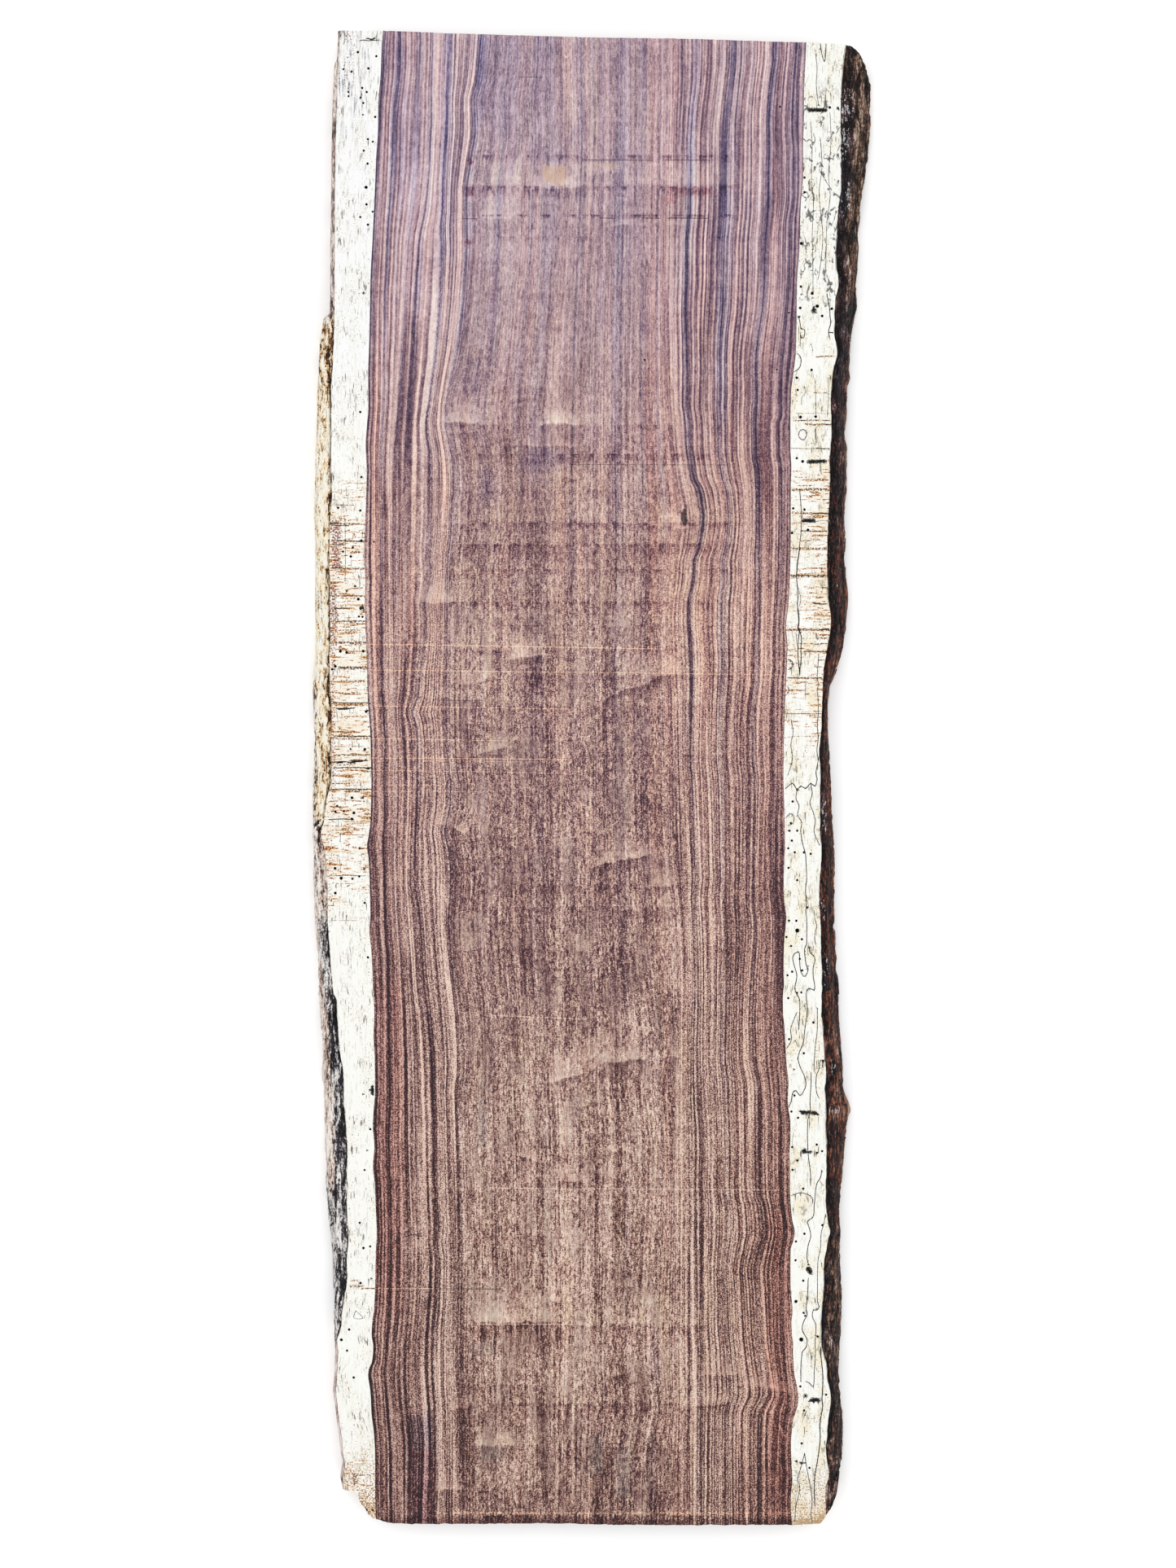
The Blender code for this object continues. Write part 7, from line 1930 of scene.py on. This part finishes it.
    # the dark speckled figure darkens the tone: partly painted shade below the figure's steps
    rough_dark = g.span(g.add(drk, g.mul(g.sub(grit, 0.5), 0.75), g.mul(g.sub(dash, 0.5), 0.65)), 0.10, 0.62)
    t = g.add(t, g.mul(rough_dark, g.mul(g.span(drk, 0.02, 0.8), -0.36)))
    t = g.add(t, g.mul(blu, -0.13))
    t = g.add(t, g.mul(g.span(g.add(red, g.mul(g.sub(speck, 0.5), 1.6)), 0.25, 0.7), g.mul(g.span(red, 0.05, 0.7), -0.26)))
    foot = g.span(g.add(row, g.mul(g.sub(dash, 0.5), 4.0), g.mul(g.sub(cloud, 0.5), 8.0)), 1863.0, 1868.0)
    t = g.add(t, g.mul(foot, g.add(-0.14, g.mul(tick, -0.16), g.mul(streak, -0.06))))
    seam_y = g.add(row, g.mul(g.sub(cloud, 0.5), 3.0))
    seam = g.mul(g.span(seam_y, 1856.6, 1858.0), g.span(seam_y, 1860.2, 1858.8))
    seam = g.mul(g.mul(seam, g.span(x, -200, -182)), g.mul(g.span(x, 270, 240), g.span(g.add(fleck, streak), 0.55, 1.2)))
    t = g.add(t, g.mul(seam, 0.22))
    broken = g.span(g.noise(g.vector(g.mul(x, 1 / 2.6), g.mul(y, 1 / 3), 2.2), 1.0, 2.0, 0.6), 0.3, 0.62)
    t = g.add(t, g.mul(g.mul(g.span(saw, 0.08, 0.55), g.add(0.4, g.mul(broken, 0.6))), g.mul(g.add(saw, 0.35), 0.44)))
    t = g.math("ADD", t, 0.0, clamp=True)

    cool = g.ramp(t, [
        (0.0, lin(48, 34, 62)), (0.14, lin(82, 66, 92)), (0.28, lin(116, 94, 114)), (0.42, lin(153, 128, 140)),
        (0.56, lin(185, 160, 168)), (0.72, lin(210, 188, 192)), (0.88, lin(230, 214, 212)), (1.0, lin(242, 232, 226)),
    ])
    warm = g.ramp(t, [
        (0.0, lin(44, 22, 38)), (0.14, lin(78, 46, 62)), (0.28, lin(112, 76, 84)), (0.42, lin(148, 112, 110)),
        (0.56, lin(180, 146, 138)), (0.72, lin(206, 174, 162)), (0.88, lin(228, 202, 186)), (1.0, lin(240, 222, 206)),
    ])
    painted_shade_ramp = g.ramp(t, [
        (0.0, lin(34, 14, 22)), (0.14, lin(66, 34, 40)), (0.28, lin(102, 64, 62)), (0.42, lin(142, 104, 94)),
        (0.56, lin(177, 143, 131)), (0.72, lin(205, 175, 161)), (0.88, lin(225, 201, 185)), (1.0, lin(237, 219, 204)),
    ])
    # The upper end takes the cool ramp: its bluish cast is a painted reflection of the sky. Toward the lower end a
    # darker, browner ramp is mixed in: painted shade.
    heart = g.mix(g.span(painted_light_height, 180, 760), warm, cool)
    heart = g.mix(g.span(painted_light_height, 60, -620), heart, painted_shade_ramp)

    # casts of colour, laid over the tone
    def cast(factor, colour, red_, green, blue):
        tinted = g.mix(1.0, colour, (red_, green, blue, 1.0), "MULTIPLY")
        return g.mix(factor, colour, tinted)

    # rises toward the upper end: the navy and slate casts are stronger there as a painted sky reflection
    painted_sky_sheen = g.span(painted_light_height, -250, 520)
    salmon = grain(r, 8, y, 260, 60, 2.0, 0.5, 0.42, 0.66, 51.0)
    olive = grain(r, 12, y, 150, 60, 2.0, 0.5, 0.46, 0.68, 33.0)
    slate = grain(r, 10, y, 210, 60, 2.0, 0.5, 0.46, 0.68, 61.0)
    heart = cast(g.mul(cool_bar, g.add(0.15, g.mul(painted_sky_sheen, 0.70))), heart, 0.84, 0.93, 1.11)
    heart = cast(g.mul(warm_bar, g.sub(0.75, g.mul(low, 0.45))), heart, 1.12, 0.95, 0.91)
    heart = cast(g.mul(salmon, g.sub(0.55, g.mul(low, 0.25))), heart, 1.11, 0.97, 0.91)
    heart = cast(g.mul(slate, g.add(0.04, g.mul(painted_sky_sheen, 0.40))), heart, 0.88, 0.95, 1.06)
    heart = cast(g.mul(g.mul(olive, inner), 0.28), heart, 0.96, 1.05, 0.84)
    heart = cast(g.mul(pale_row, 0.50), heart, 0.98, 1.04, 0.87)
    heart = cast(g.mul(veil, 0.85), heart, 0.94, 1.01, 1.03)
    heart = cast(g.mul(dark_row, 0.50), heart, 1.06, 0.88, 0.90)
    heart = cast(g.mul(blu, 0.80), heart, 0.80, 0.90, 1.16)
    heart = cast(g.mul(g.span(pal, 0.1, 0.8), 0.7), heart, 0.99, 1.01, 1.01)
    heart = cast(g.span(red, 0.1, 0.6), heart, 1.08, 0.84, 0.82)
    scratch = g.mul(g.span(saw, 0.12, 0.7), g.span(y, -180, -60))
    heart = cast(g.mul(scratch, 0.8), heart, 1.16, 0.94, 0.74)
    rag = g.noise(g.vector(g.mul(x, 1 / 9), g.mul(y, 1 / 7), 43.0), 1.0, 3.0, 0.65)
    waxy = g.span(g.add(wrm, g.mul(g.sub(rag, 0.5), 2.2), g.mul(g.sub(grit, 0.5), 0.35), g.mul(g.sub(tick, 0.5), 0.25)), 0.30, 0.95)
    heart = g.mix(g.mul(waxy, 0.6), heart, lin(212, 172, 134))
    heart = g.mix(g.mul(gry, 0.55), heart, g.mix(g.span(dash, 0.1, 0.9), lin(96, 86, 86), lin(150, 138, 132)))
    heart = cast(g.mul(seam, 0.9), heart, 1.16, 0.92, 0.74)
    heart = cast(g.mul(foot, 0.6), heart, 0.98, 0.90, 0.84)
    edge = g.math("MAXIMUM", g.span(r, 530, 462), g.span(r, 915, 962))
    heart = cast(g.mul(edge, g.add(0.22, g.mul(low, 0.75))), heart, 0.80, 0.72, 0.74)
    heart = cast(g.mul(g.span(r, 870, 920), low), heart, 1.01, 0.96, 0.93)
    heart_ink = g.span(g.mul(ink, g.add(0.7, g.mul(speck, 0.6))), 0.12, 0.6)
    heart = g.mix(g.mul(heart_ink, 0.85), heart, lin(34, 20, 26))

    # sapwood
    s_fine = g.noise(g.vector(g.mul(ring, 1 / 1.9), g.mul(y, 1 / 9), g.mul(z, 1 / 1.9)), 1.0, 1.0, 0.5)
    s_line = g.noise(g.vector(g.mul(ring, 1 / 2.4), g.mul(y, 1 / 55), g.mul(z, 1 / 2.4)), 1.0, 3.0, 0.6)
    s_blot = g.noise(g.vector(g.mul(x, 1 / 22), g.mul(y, 1 / 45), 4.0), 1.0, 3.0, 0.6)
    s_spot = g.noise(g.vector(g.mul(x, 1 / 2.0), g.mul(y, 1 / 2.0), 6.0), 1.0, 2.0, 0.6)
    s_crack = g.noise(g.vector(g.mul(ring, 1 / 1.9), g.mul(y, 1 / 18), 12.0), 1.0, 1.0, 0.6)
    on_right = g.span(ring, 700, 720)
    sap = g.mix(g.span(s_line, 0.5, 0.74), lin(255, 255, 250), lin(246, 244, 232))
    sap = g.mix(g.mul(g.span(s_blot, 0.44, 0.66), g.add(0.2, g.mul(g.mul(on_right, g.add(0.35, g.mul(g.span(row, 360, 480), 0.65))), 0.65))), sap, lin(250, 240, 212))
    # left sapwood a touch bluer toward the upper end: painted sky reflection
    sap = cast(g.mul(g.sub(1.0, on_right), g.span(row, 620, 420)), sap, 0.985, 0.99, 1.03)
    sap = g.mix(g.mul(g.span(s_fine, 0.60, 0.70), 0.50), sap, lin(212, 208, 200))
    sap = g.mix(g.mul(g.mul(g.span(s_crack, 0.62, 0.68), g.span(s_blot, 0.42, 0.58)), 0.95), sap, lin(96, 90, 86))
    sap = g.mix(g.mul(g.mul(g.span(s_spot, 0.62, 0.67), g.span(s_blot, 0.40, 0.58)), g.add(0.85, g.mul(on_right, 0.15))), sap, lin(60, 52, 48))
    old_grain = g.noise(g.vector(g.mul(x, 1 / 1.9), g.mul(y, 1 / 30), 65.0), 1.0, 1.0, 0.6)
    old_corner = g.mul(g.span(ring, 446, 434), g.span(row, 210, 80))
    sap = g.mix(g.mul(g.mul(g.span(old_grain, 0.54, 0.62), old_corner), 0.60), sap, lin(170, 170, 182))
    sap = g.mix(g.mul(g.mul(g.span(old_grain, 0.60, 0.66), g.span(s_spot, 0.42, 0.56)), old_corner), sap, lin(60, 58, 70))
    # thin wandering fungus lines, mostly near the top of the right edge
    def contour(dx, dy, seed, level, wide):
        n = g.noise(g.vector(g.mul(x, 1 / dx), g.mul(y, 1 / dy), seed), 1.0, 2.0, 0.5)
        return g.span(g.math("ABSOLUTE", g.sub(n, level)), wide, wide * 0.35)

    net = g.math("MAXIMUM", contour(22.0, 46.0, 71.0, 0.50, 0.022), contour(12.0, 22.0, 75.0, 0.60, 0.030))
    upper_right = g.mul(on_right, g.mul(g.span(row, 95, 130), g.span(row, 400, 350)))
    rest_right = g.mul(on_right, g.span(s_blot, 0.52, 0.60))
    net_where = g.math("MAXIMUM", upper_right, g.mul(rest_right, 0.55))
    net_where = g.math("MAXIMUM", net_where, g.mul(g.mul(g.sub(1.0, on_right), g.span(s_blot, 0.56, 0.64)), 0.40))
    broken_net = g.span(g.noise(g.vector(g.mul(x, 1 / 9), g.mul(y, 1 / 12), 79.0), 1.0, 2.0, 0.6), 0.44, 0.54)
    sap = g.mix(g.mul(g.mul(net, net_where), g.mul(broken_net, 0.90)), sap, lin(78, 74, 72))
    shady = g.mul(upper_right, g.span(g.noise(g.vector(g.mul(x, 1 / 10), g.mul(y, 1 / 28), 83.0), 1.0, 3.0, 0.6), 0.5, 0.7))
    sap = g.mix(g.mul(shady, 0.22), sap, lin(222, 221, 214))
    glow = g.span(g.add(wrm, g.mul(g.sub(s_spot, 0.5), 0.9), g.mul(g.sub(s_line, 0.5), 0.6)), 0.10, 0.95)
    sap = g.mix(g.mul(glow, 0.30), sap, lin(250, 232, 198))
    dots = g.span(s_spot, 0.40, 0.60)
    near_gap = g.span(ring, 440, 409)
    near_bark = g.span(ring, 984, 1012)
    left_rows = g.mul(g.sub(1.0, on_right), g.mul(g.span(row, 540, 680), g.span(row, 1180, 1000)))
    right_rows = g.mul(on_right, g.mul(g.span(row, 520, 600), g.span(row, 960, 860)))
    rung = g.noise(g.vector(g.mul(x, 1 / 26), g.mul(y, 1 / 3.4), 91.0), 1.0, 1.0, 0.5)
    rung2 = g.noise(g.vector(g.mul(x, 1 / 9), g.mul(y, 1 / 2.3), 97.0), 1.0, 1.0, 0.5)
    thick_rows = g.noise(g.vector(g.mul(x, 1 / 60), g.mul(y, 1 / 17), 93.0), 1.0, 2.0, 0.5)
    crowd = g.add(g.mul(left_rows, g.add(0.72, g.mul(near_gap, 0.40))), g.mul(right_rows, g.add(0.45, g.mul(near_bark, 0.55))))
    corner = g.mul(g.sub(1.0, on_right), g.span(row, 1740, 1830))
    crowd = g.math("MAXIMUM", crowd, g.mul(corner, 0.62))
    crowd = g.mul(crowd, g.add(0.45, g.span(thick_rows, 0.40, 0.60)))
    rungs = g.math("MAXIMUM", g.span(rung, 0.55, 0.66), g.mul(g.span(rung2, 0.58, 0.68), 0.9))
    rungs = g.mul(rungs, crowd)
    sap = g.mix(g.mul(g.span(g.add(crowd, g.mul(g.sub(s_blot, 0.5), 1.4)), 0.35, 1.2), 0.55), sap, lin(250, 236, 212))
    sap = g.mix(g.span(g.mul(rungs, g.add(0.35, dots)), 0.06, 0.50), sap, lin(224, 170, 112))
    sap = g.mix(g.span(g.mul(rungs, g.mul(dots, g.add(dots, 0.2))), 0.16, 0.60), sap, lin(108, 60, 40))
    crumb = g.mul(corner, g.span(g.add(s_spot, g.mul(s_blot, 0.5), g.mul(g.span(row, 1800, 1870), 0.12)), 0.75, 0.86))
    sap = g.mix(g.mul(crumb, 0.9), sap, lin(190, 142, 84))
    crumb2 = g.mul(g.span(row, 1780, 1850), g.span(g.add(s_spot, g.mul(s_blot, 0.4), g.mul(g.span(row, 1858, 1870), 0.16), g.mul(near_bark, 0.05)), 0.74, 0.81))
    sap = g.mix(g.mul(crumb2, 0.85), sap, lin(100, 62, 34))
    soil = g.mul(on_right, g.span(g.add(row, g.mul(g.sub(s_blot, 0.5), 60.0), g.mul(near_bark, 24.0)), 1805, 1875))
    sap = g.mix(g.mul(soil, g.add(0.25, g.mul(g.span(s_spot, 0.40, 0.60), 0.60))), sap, lin(222, 186, 136))
    sap = g.mix(g.mul(g.mul(soil, g.span(s_spot, 0.60, 0.66)), 0.9), sap, lin(92, 54, 30))
    mottle = g.span(g.add(gry, g.mul(g.sub(s_spot, 0.5), 2.2)), 0.55, 0.80)
    sap = g.mix(g.mul(mottle, g.mul(g.span(gry, 0.05, 0.4), 0.90)), sap, lin(132, 50, 26))
    rust = g.span(g.mul(org, g.add(0.10, g.mul(dots, 1.25))), 0.08, 0.55)
    sap = g.mix(rust, sap, g.mix(g.span(g.mul(org, g.add(0.35, g.mul(dots, 1.1))), 0.35, 0.95), lin(224, 186, 142), lin(112, 66, 40)))
    inked = g.span(g.mul(ink, g.add(0.65, g.mul(dots, 0.6))), 0.08, 0.44)
    sap = g.mix(inked, sap, lin(26, 22, 22))

    is_heart = g.mul(g.math("GREATER_THAN", ring, HEART_FROM), g.math("LESS_THAN", ring, HEART_TO))
    colour = g.mix(is_heart, sap, heart)

    # cut ends: darker, the rings show as arcs, with pores and rays
    pore = g.noise(g.vector(g.mul(x, 1 / 0.9), g.mul(y, 1 / 6), g.mul(z, 1 / 0.9)), 1.0, 2.0, 0.7)
    ray = g.noise(g.vector(g.mul(x, 1 / 1.3), 0.5, g.mul(z, 1 / 14)), 1.0, 2.0, 0.6)
    cut = g.noise(g.vector(g.mul(x, 1 / 30), 0.2, g.mul(z, 1 / 3)), 1.0, 3.0, 0.6)
    shade = g.add(0.74, g.mul(g.sub(pore, 0.5), 0.5), g.mul(g.sub(ray, 0.5), 0.22), g.mul(g.sub(cut, 0.5), 0.25))
    dim = g.node("ShaderNodeCombineColor")
    for socket, share in zip(dim.inputs[:3], (1.0, 0.95, 0.88)):
        g.put(socket, g.mul(shade, share))
    end_colour = g.mix(1.0, colour, dim.outputs[0], "MULTIPLY")
    end_colour = g.mix(g.mul(g.sub(1.0, is_heart), 0.35), end_colour, lin(206, 186, 150))
    end_colour = g.mix(g.mul(ink, 0.9), end_colour, lin(24, 14, 14))
    colour = g.mix(end, colour, end_colour)

    shader = g.node("ShaderNodeBsdfPrincipled")
    g.put(shader.inputs["Base Color"], colour)
    rough = g.add(g.mul(is_heart, -0.10), 0.72, g.mul(g.sub(fleck, 0.5), 0.12), g.mul(end, 0.15))
    g.put(shader.inputs["Roughness"], rough)
    shader.inputs["Specular IOR Level"].default_value = 0.22
    bump = g.node("ShaderNodeBump")
    bump.inputs["Strength"].default_value = 0.35
    bump.inputs["Distance"].default_value = 0.0004
    height = g.add(g.mul(dash, 0.4), g.mul(fleck, 0.4), g.mul(dark_pore, -0.5), g.mul(g.mul(end, pore), 1.6))
    g.put(bump.inputs["Height"], height)
    g.put(shader.inputs["Normal"], bump.outputs[0])
    out = g.node("ShaderNodeOutputMaterial")
    g.put(out.inputs[0], shader.outputs[0])
    return g.material


def bark_material():
    g = Graph("bark_finish")
    tall = g.attribute("tall").outputs["Fac"]
    arc = g.attribute("arc").outputs["Fac"]
    rust, slate, pale = g.split("mask_a")
    cream, grey, pink = g.split("mask_b")
    dark_bark_and_gap_shade, halo, brown = g.split("mask_c")
    where = g.node("ShaderNodeTexCoord").outputs["Object"]
    sep = g.node("ShaderNodeSeparateXYZ")
    g.put(sep.inputs[0], where)
    x, y, z = (g.mul(s, 1000.0) for s in sep.outputs[:3])

    def texture(vector, detail, rough, lo=0.34, hi=0.66):
        return g.span(g.noise(vector, 1.0, detail, rough), lo, hi, 0.0, 1.0, "LINEAR")

    warp = g.mul(g.sub(g.noise(g.vector(g.mul(x, 1 / 9), g.mul(y, 1 / 16), g.mul(z, 1 / 9)), 1.0, 2.0, 0.5), 0.5), 8.0)
    across = g.add(x, warp)
    fibre = texture(g.vector(g.mul(across, 1 / 1.9), g.mul(y, 1 / 15), g.mul(z, 1 / 5)), 2.0, 0.6)
    strand = texture(g.vector(g.mul(across, 1 / 3.8), g.mul(y, 1 / 28), g.mul(z, 1 / 9)), 3.0, 0.6)
    lump = texture(g.vector(g.mul(x, 1 / 12), g.mul(y, 1 / 22), g.mul(z, 1 / 16)), 3.0, 0.6)
    grit = texture(g.vector(g.mul(x, 1 / 1.9), g.mul(y, 1 / 2.4), g.mul(z, 1 / 3.5)), 2.0, 0.6, 0.36, 0.64)
    flake = texture(g.vector(g.mul(across, 1 / 3.2), g.mul(y, 1 / 6), g.mul(z, 1 / 6)), 2.0, 0.6, 0.38, 0.62)
    # the tone follows tall, the relief height, so cracks and hollows are painted darker: painted shade
    t = g.add(
        0.40, g.mul(g.sub(tall, 0.5), 0.46), g.mul(g.sub(fibre, 0.5), 0.72), g.mul(g.sub(strand, 0.5), 0.26),
        g.mul(g.sub(lump, 0.5), 0.22), g.mul(g.sub(grit, 0.5), 0.36), g.mul(g.sub(flake, 0.5), 0.22),
    )
    # darkened by the mask of painted shade in the gap at the wood and in the cracks, and of dark bark
    dark_t = g.math("ADD", g.sub(t, g.mul(dark_bark_and_gap_shade, 0.30)), 0.0, clamp=True)
    pale_t = g.math("ADD", g.sub(g.add(g.mul(t, 1.05), 0.17), g.mul(dark_bark_and_gap_shade, 0.62)), 0.0, clamp=True)
    base = g.ramp(dark_t, [
        (0.0, lin(12, 5, 9)), (0.22, lin(34, 18, 22)), (0.42, lin(60, 39, 41)), (0.60, lin(92, 66, 65)),
        (0.80, lin(132, 108, 104)), (1.0, lin(184, 168, 164)),
    ])
    rusty = g.ramp(dark_t, [
        (0.0, lin(14, 4, 5)), (0.22, lin(46, 18, 14)), (0.42, lin(84, 40, 28)), (0.60, lin(116, 64, 44)),
        (0.80, lin(140, 86, 62)), (1.0, lin(164, 120, 92)),
    ])
    browned = g.ramp(dark_t, [
        (0.0, lin(10, 6, 6)), (0.22, lin(38, 24, 20)), (0.42, lin(76, 53, 41)), (0.60, lin(118, 89, 70)),
        (0.80, lin(156, 127, 108)), (1.0, lin(196, 176, 160)),
    ])
    slaty = g.ramp(dark_t, [(0.0, lin(12, 12, 20)), (0.4, lin(34, 34, 48)), (0.7, lin(78, 80, 98)), (1.0, lin(168, 170, 182))])
    greyed = g.ramp(dark_t, [
        (0.0, lin(10, 9, 12)), (0.24, lin(34, 32, 37)), (0.40, lin(74, 70, 76)), (0.54, lin(146, 142, 144)), (0.68, lin(214, 210, 206)),
        (1.0, lin(246, 243, 238)),
    ])
    pinked = g.ramp(pale_t, [
        (0.0, lin(34, 22, 22)), (0.22, lin(96, 70, 62)), (0.42, lin(172, 144, 132)), (0.62, lin(222, 202, 190)), (0.85, lin(244, 234, 222)),
        (1.0, lin(252, 246, 236)),
    ])
    creamy = g.ramp(pale_t, [
        (0.0, lin(34, 18, 14)), (0.14, lin(112, 74, 48)), (0.28, lin(198, 156, 108)), (0.40, lin(242, 214, 168)), (0.55, lin(254, 243, 216)),
        (1.0, lin(255, 252, 242)),
    ])

    def frayed(mask, amount=0.5):
        rough_edge = g.span(g.add(mask, g.mul(g.sub(flake, 0.5), amount), g.mul(g.sub(fibre, 0.5), amount * 0.6)), 0.30, 0.70)
        return g.mul(rough_edge, g.span(mask, 0.0, 0.15))

    c = g.mix(frayed(brown), base, browned)
    c = g.mix(frayed(rust), c, rusty)
    c = g.mix(g.mul(frayed(slate), 0.9), c, slaty)
    c = g.mix(frayed(pink), c, pinked)
    c = g.mix(frayed(grey, 0.7), c, greyed)
    c = g.mix(frayed(cream, 0.25), c, creamy)
    fleck = g.mul(frayed(pale, 0.9), g.span(g.add(g.mul(fibre, 0.6), g.mul(grit, 0.5)), 0.62, 0.80))
    c = g.mix(g.mul(fleck, 0.85), c, lin(212, 208, 208))
    # pale grey flecks along the fibres: painted glints
    fibre_glint = g.span(g.noise(g.vector(g.mul(across, 1 / 1.6), g.mul(y, 1 / 7), g.mul(z, 1 / 3)), 1.0, 1.0, 0.5), 0.60, 0.68)
    c = g.mix(g.mul(fibre_glint, 0.12), c, lin(176, 158, 150))
    veins = g.span(g.noise(g.vector(g.mul(across, 1 / 2.0), g.mul(y, 1 / 20), g.mul(z, 1 / 3.0)), 1.0, 2.0, 0.6), 0.55, 0.66)
    veins = g.mul(g.mul(veins, frayed(cream, 0.25)), g.span(grit, 0.15, 0.7))
    c = g.mix(g.mul(veins, 0.90), c, lin(106, 70, 48))
    skin = g.mix(g.span(g.add(g.mul(strand, 0.6), g.mul(fibre, 0.4)), 0.15, 0.75), lin(184, 162, 156), lin(228, 216, 212))
    c = g.mix(g.mul(g.mul(halo, 0.70), g.span(g.add(lump, g.mul(fibre, 0.4)), 0.10, 0.45)), c, skin)
    shader = g.node("ShaderNodeBsdfPrincipled")
    g.put(shader.inputs["Base Color"], c)
    g.put(shader.inputs["Roughness"], g.add(0.82, g.mul(g.sub(fibre, 0.5), 0.2)))
    shader.inputs["Specular IOR Level"].default_value = 0.22
    bump = g.node("ShaderNodeBump")
    bump.inputs["Strength"].default_value = 0.6
    bump.inputs["Distance"].default_value = 0.0010
    g.put(bump.inputs["Height"], g.add(g.mul(fibre, 0.8), g.mul(grit, 0.5), g.mul(strand, 0.6)))
    g.put(shader.inputs["Normal"], bump.outputs[0])
    out = g.node("ShaderNodeOutputMaterial")
    g.put(out.inputs[0], shader.outputs[0])
    return g.material


wood = wood_material()
bark = bark_material()
slab.data.materials.append(wood)
for obj in (bark_right, bark_left):
    obj.data.materials.append(bark)

for obj in (slab, bark_right, bark_left):
    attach(obj, "root")
    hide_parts("slab")

# =====================================================================
# floor, light and camera
# =====================================================================
floor_mesh = bpy.data.meshes.new("floor")
floor_mesh.from_pydata([(-9, -9, -0.0004), (9, -9, -0.0004), (9, 9, -0.0004), (-9, 9, -0.0004)], [], [(0, 1, 2, 3)])
floor = bpy.data.objects.new("floor", floor_mesh)
bpy.context.scene.collection.objects.link(floor)
floor_finish = bpy.data.materials.new("floor_finish")
floor_finish.use_nodes = True
floor_shader = floor_finish.node_tree.nodes["Principled BSDF"]
floor_shader.inputs["Base Color"].default_value = (0.95, 0.95, 0.95, 1)
floor_shader.inputs["Roughness"].default_value = 1.0
floor_shader.inputs["Specular IOR Level"].default_value = 0.0
floor_mesh.materials.append(floor_finish)

world = bpy.data.worlds.new("studio")
world.use_nodes = True
world.node_tree.nodes["Background"].inputs[0].default_value = (1.0, 1.0, 1.0, 1)
world.node_tree.nodes["Background"].inputs[1].default_value = 0.95
bpy.context.scene.world = world


def area_light(name, place, target, size, power, colour=(1, 1, 1)):
    data = bpy.data.lights.new(name, "AREA")
    data.shape = "SQUARE"
    data.size = size
    data.energy = power
    data.color = colour
    lamp = bpy.data.objects.new(name, data)
    bpy.context.scene.collection.objects.link(lamp)
    lamp.location = place
    lamp.rotation_euler = (Vector(target) - Vector(place)).to_track_quat("-Z", "Y").to_euler()
    return lamp


area_light("key", (-0.9, 1.0, 5.0), (0, 0, 0), 3.8, 84)
area_light("fill", (1.6, -1.3, 4.8), (0, 0, 0), 4.0, 42)

camera_data = bpy.data.cameras.new("camera")
camera = bpy.data.objects.new("camera", camera_data)
bpy.context.scene.collection.objects.link(camera)
camera_data.sensor_width = 36.0
camera_data.lens = 36.0 * EYE_H / 1926.0
camera.location = ((EYE_X - SHEET_X) / 1000, (SHEET_Y - EYE_Y) / 1000, (THICK + EYE_H) / 1000)
camera.rotation_euler = (0, 0, 0)
camera_data.clip_end = 60
bpy.context.scene.camera = camera
bpy.context.scene.view_settings.view_transform = "Standard"
bpy.context.scene.view_settings.look = "None"
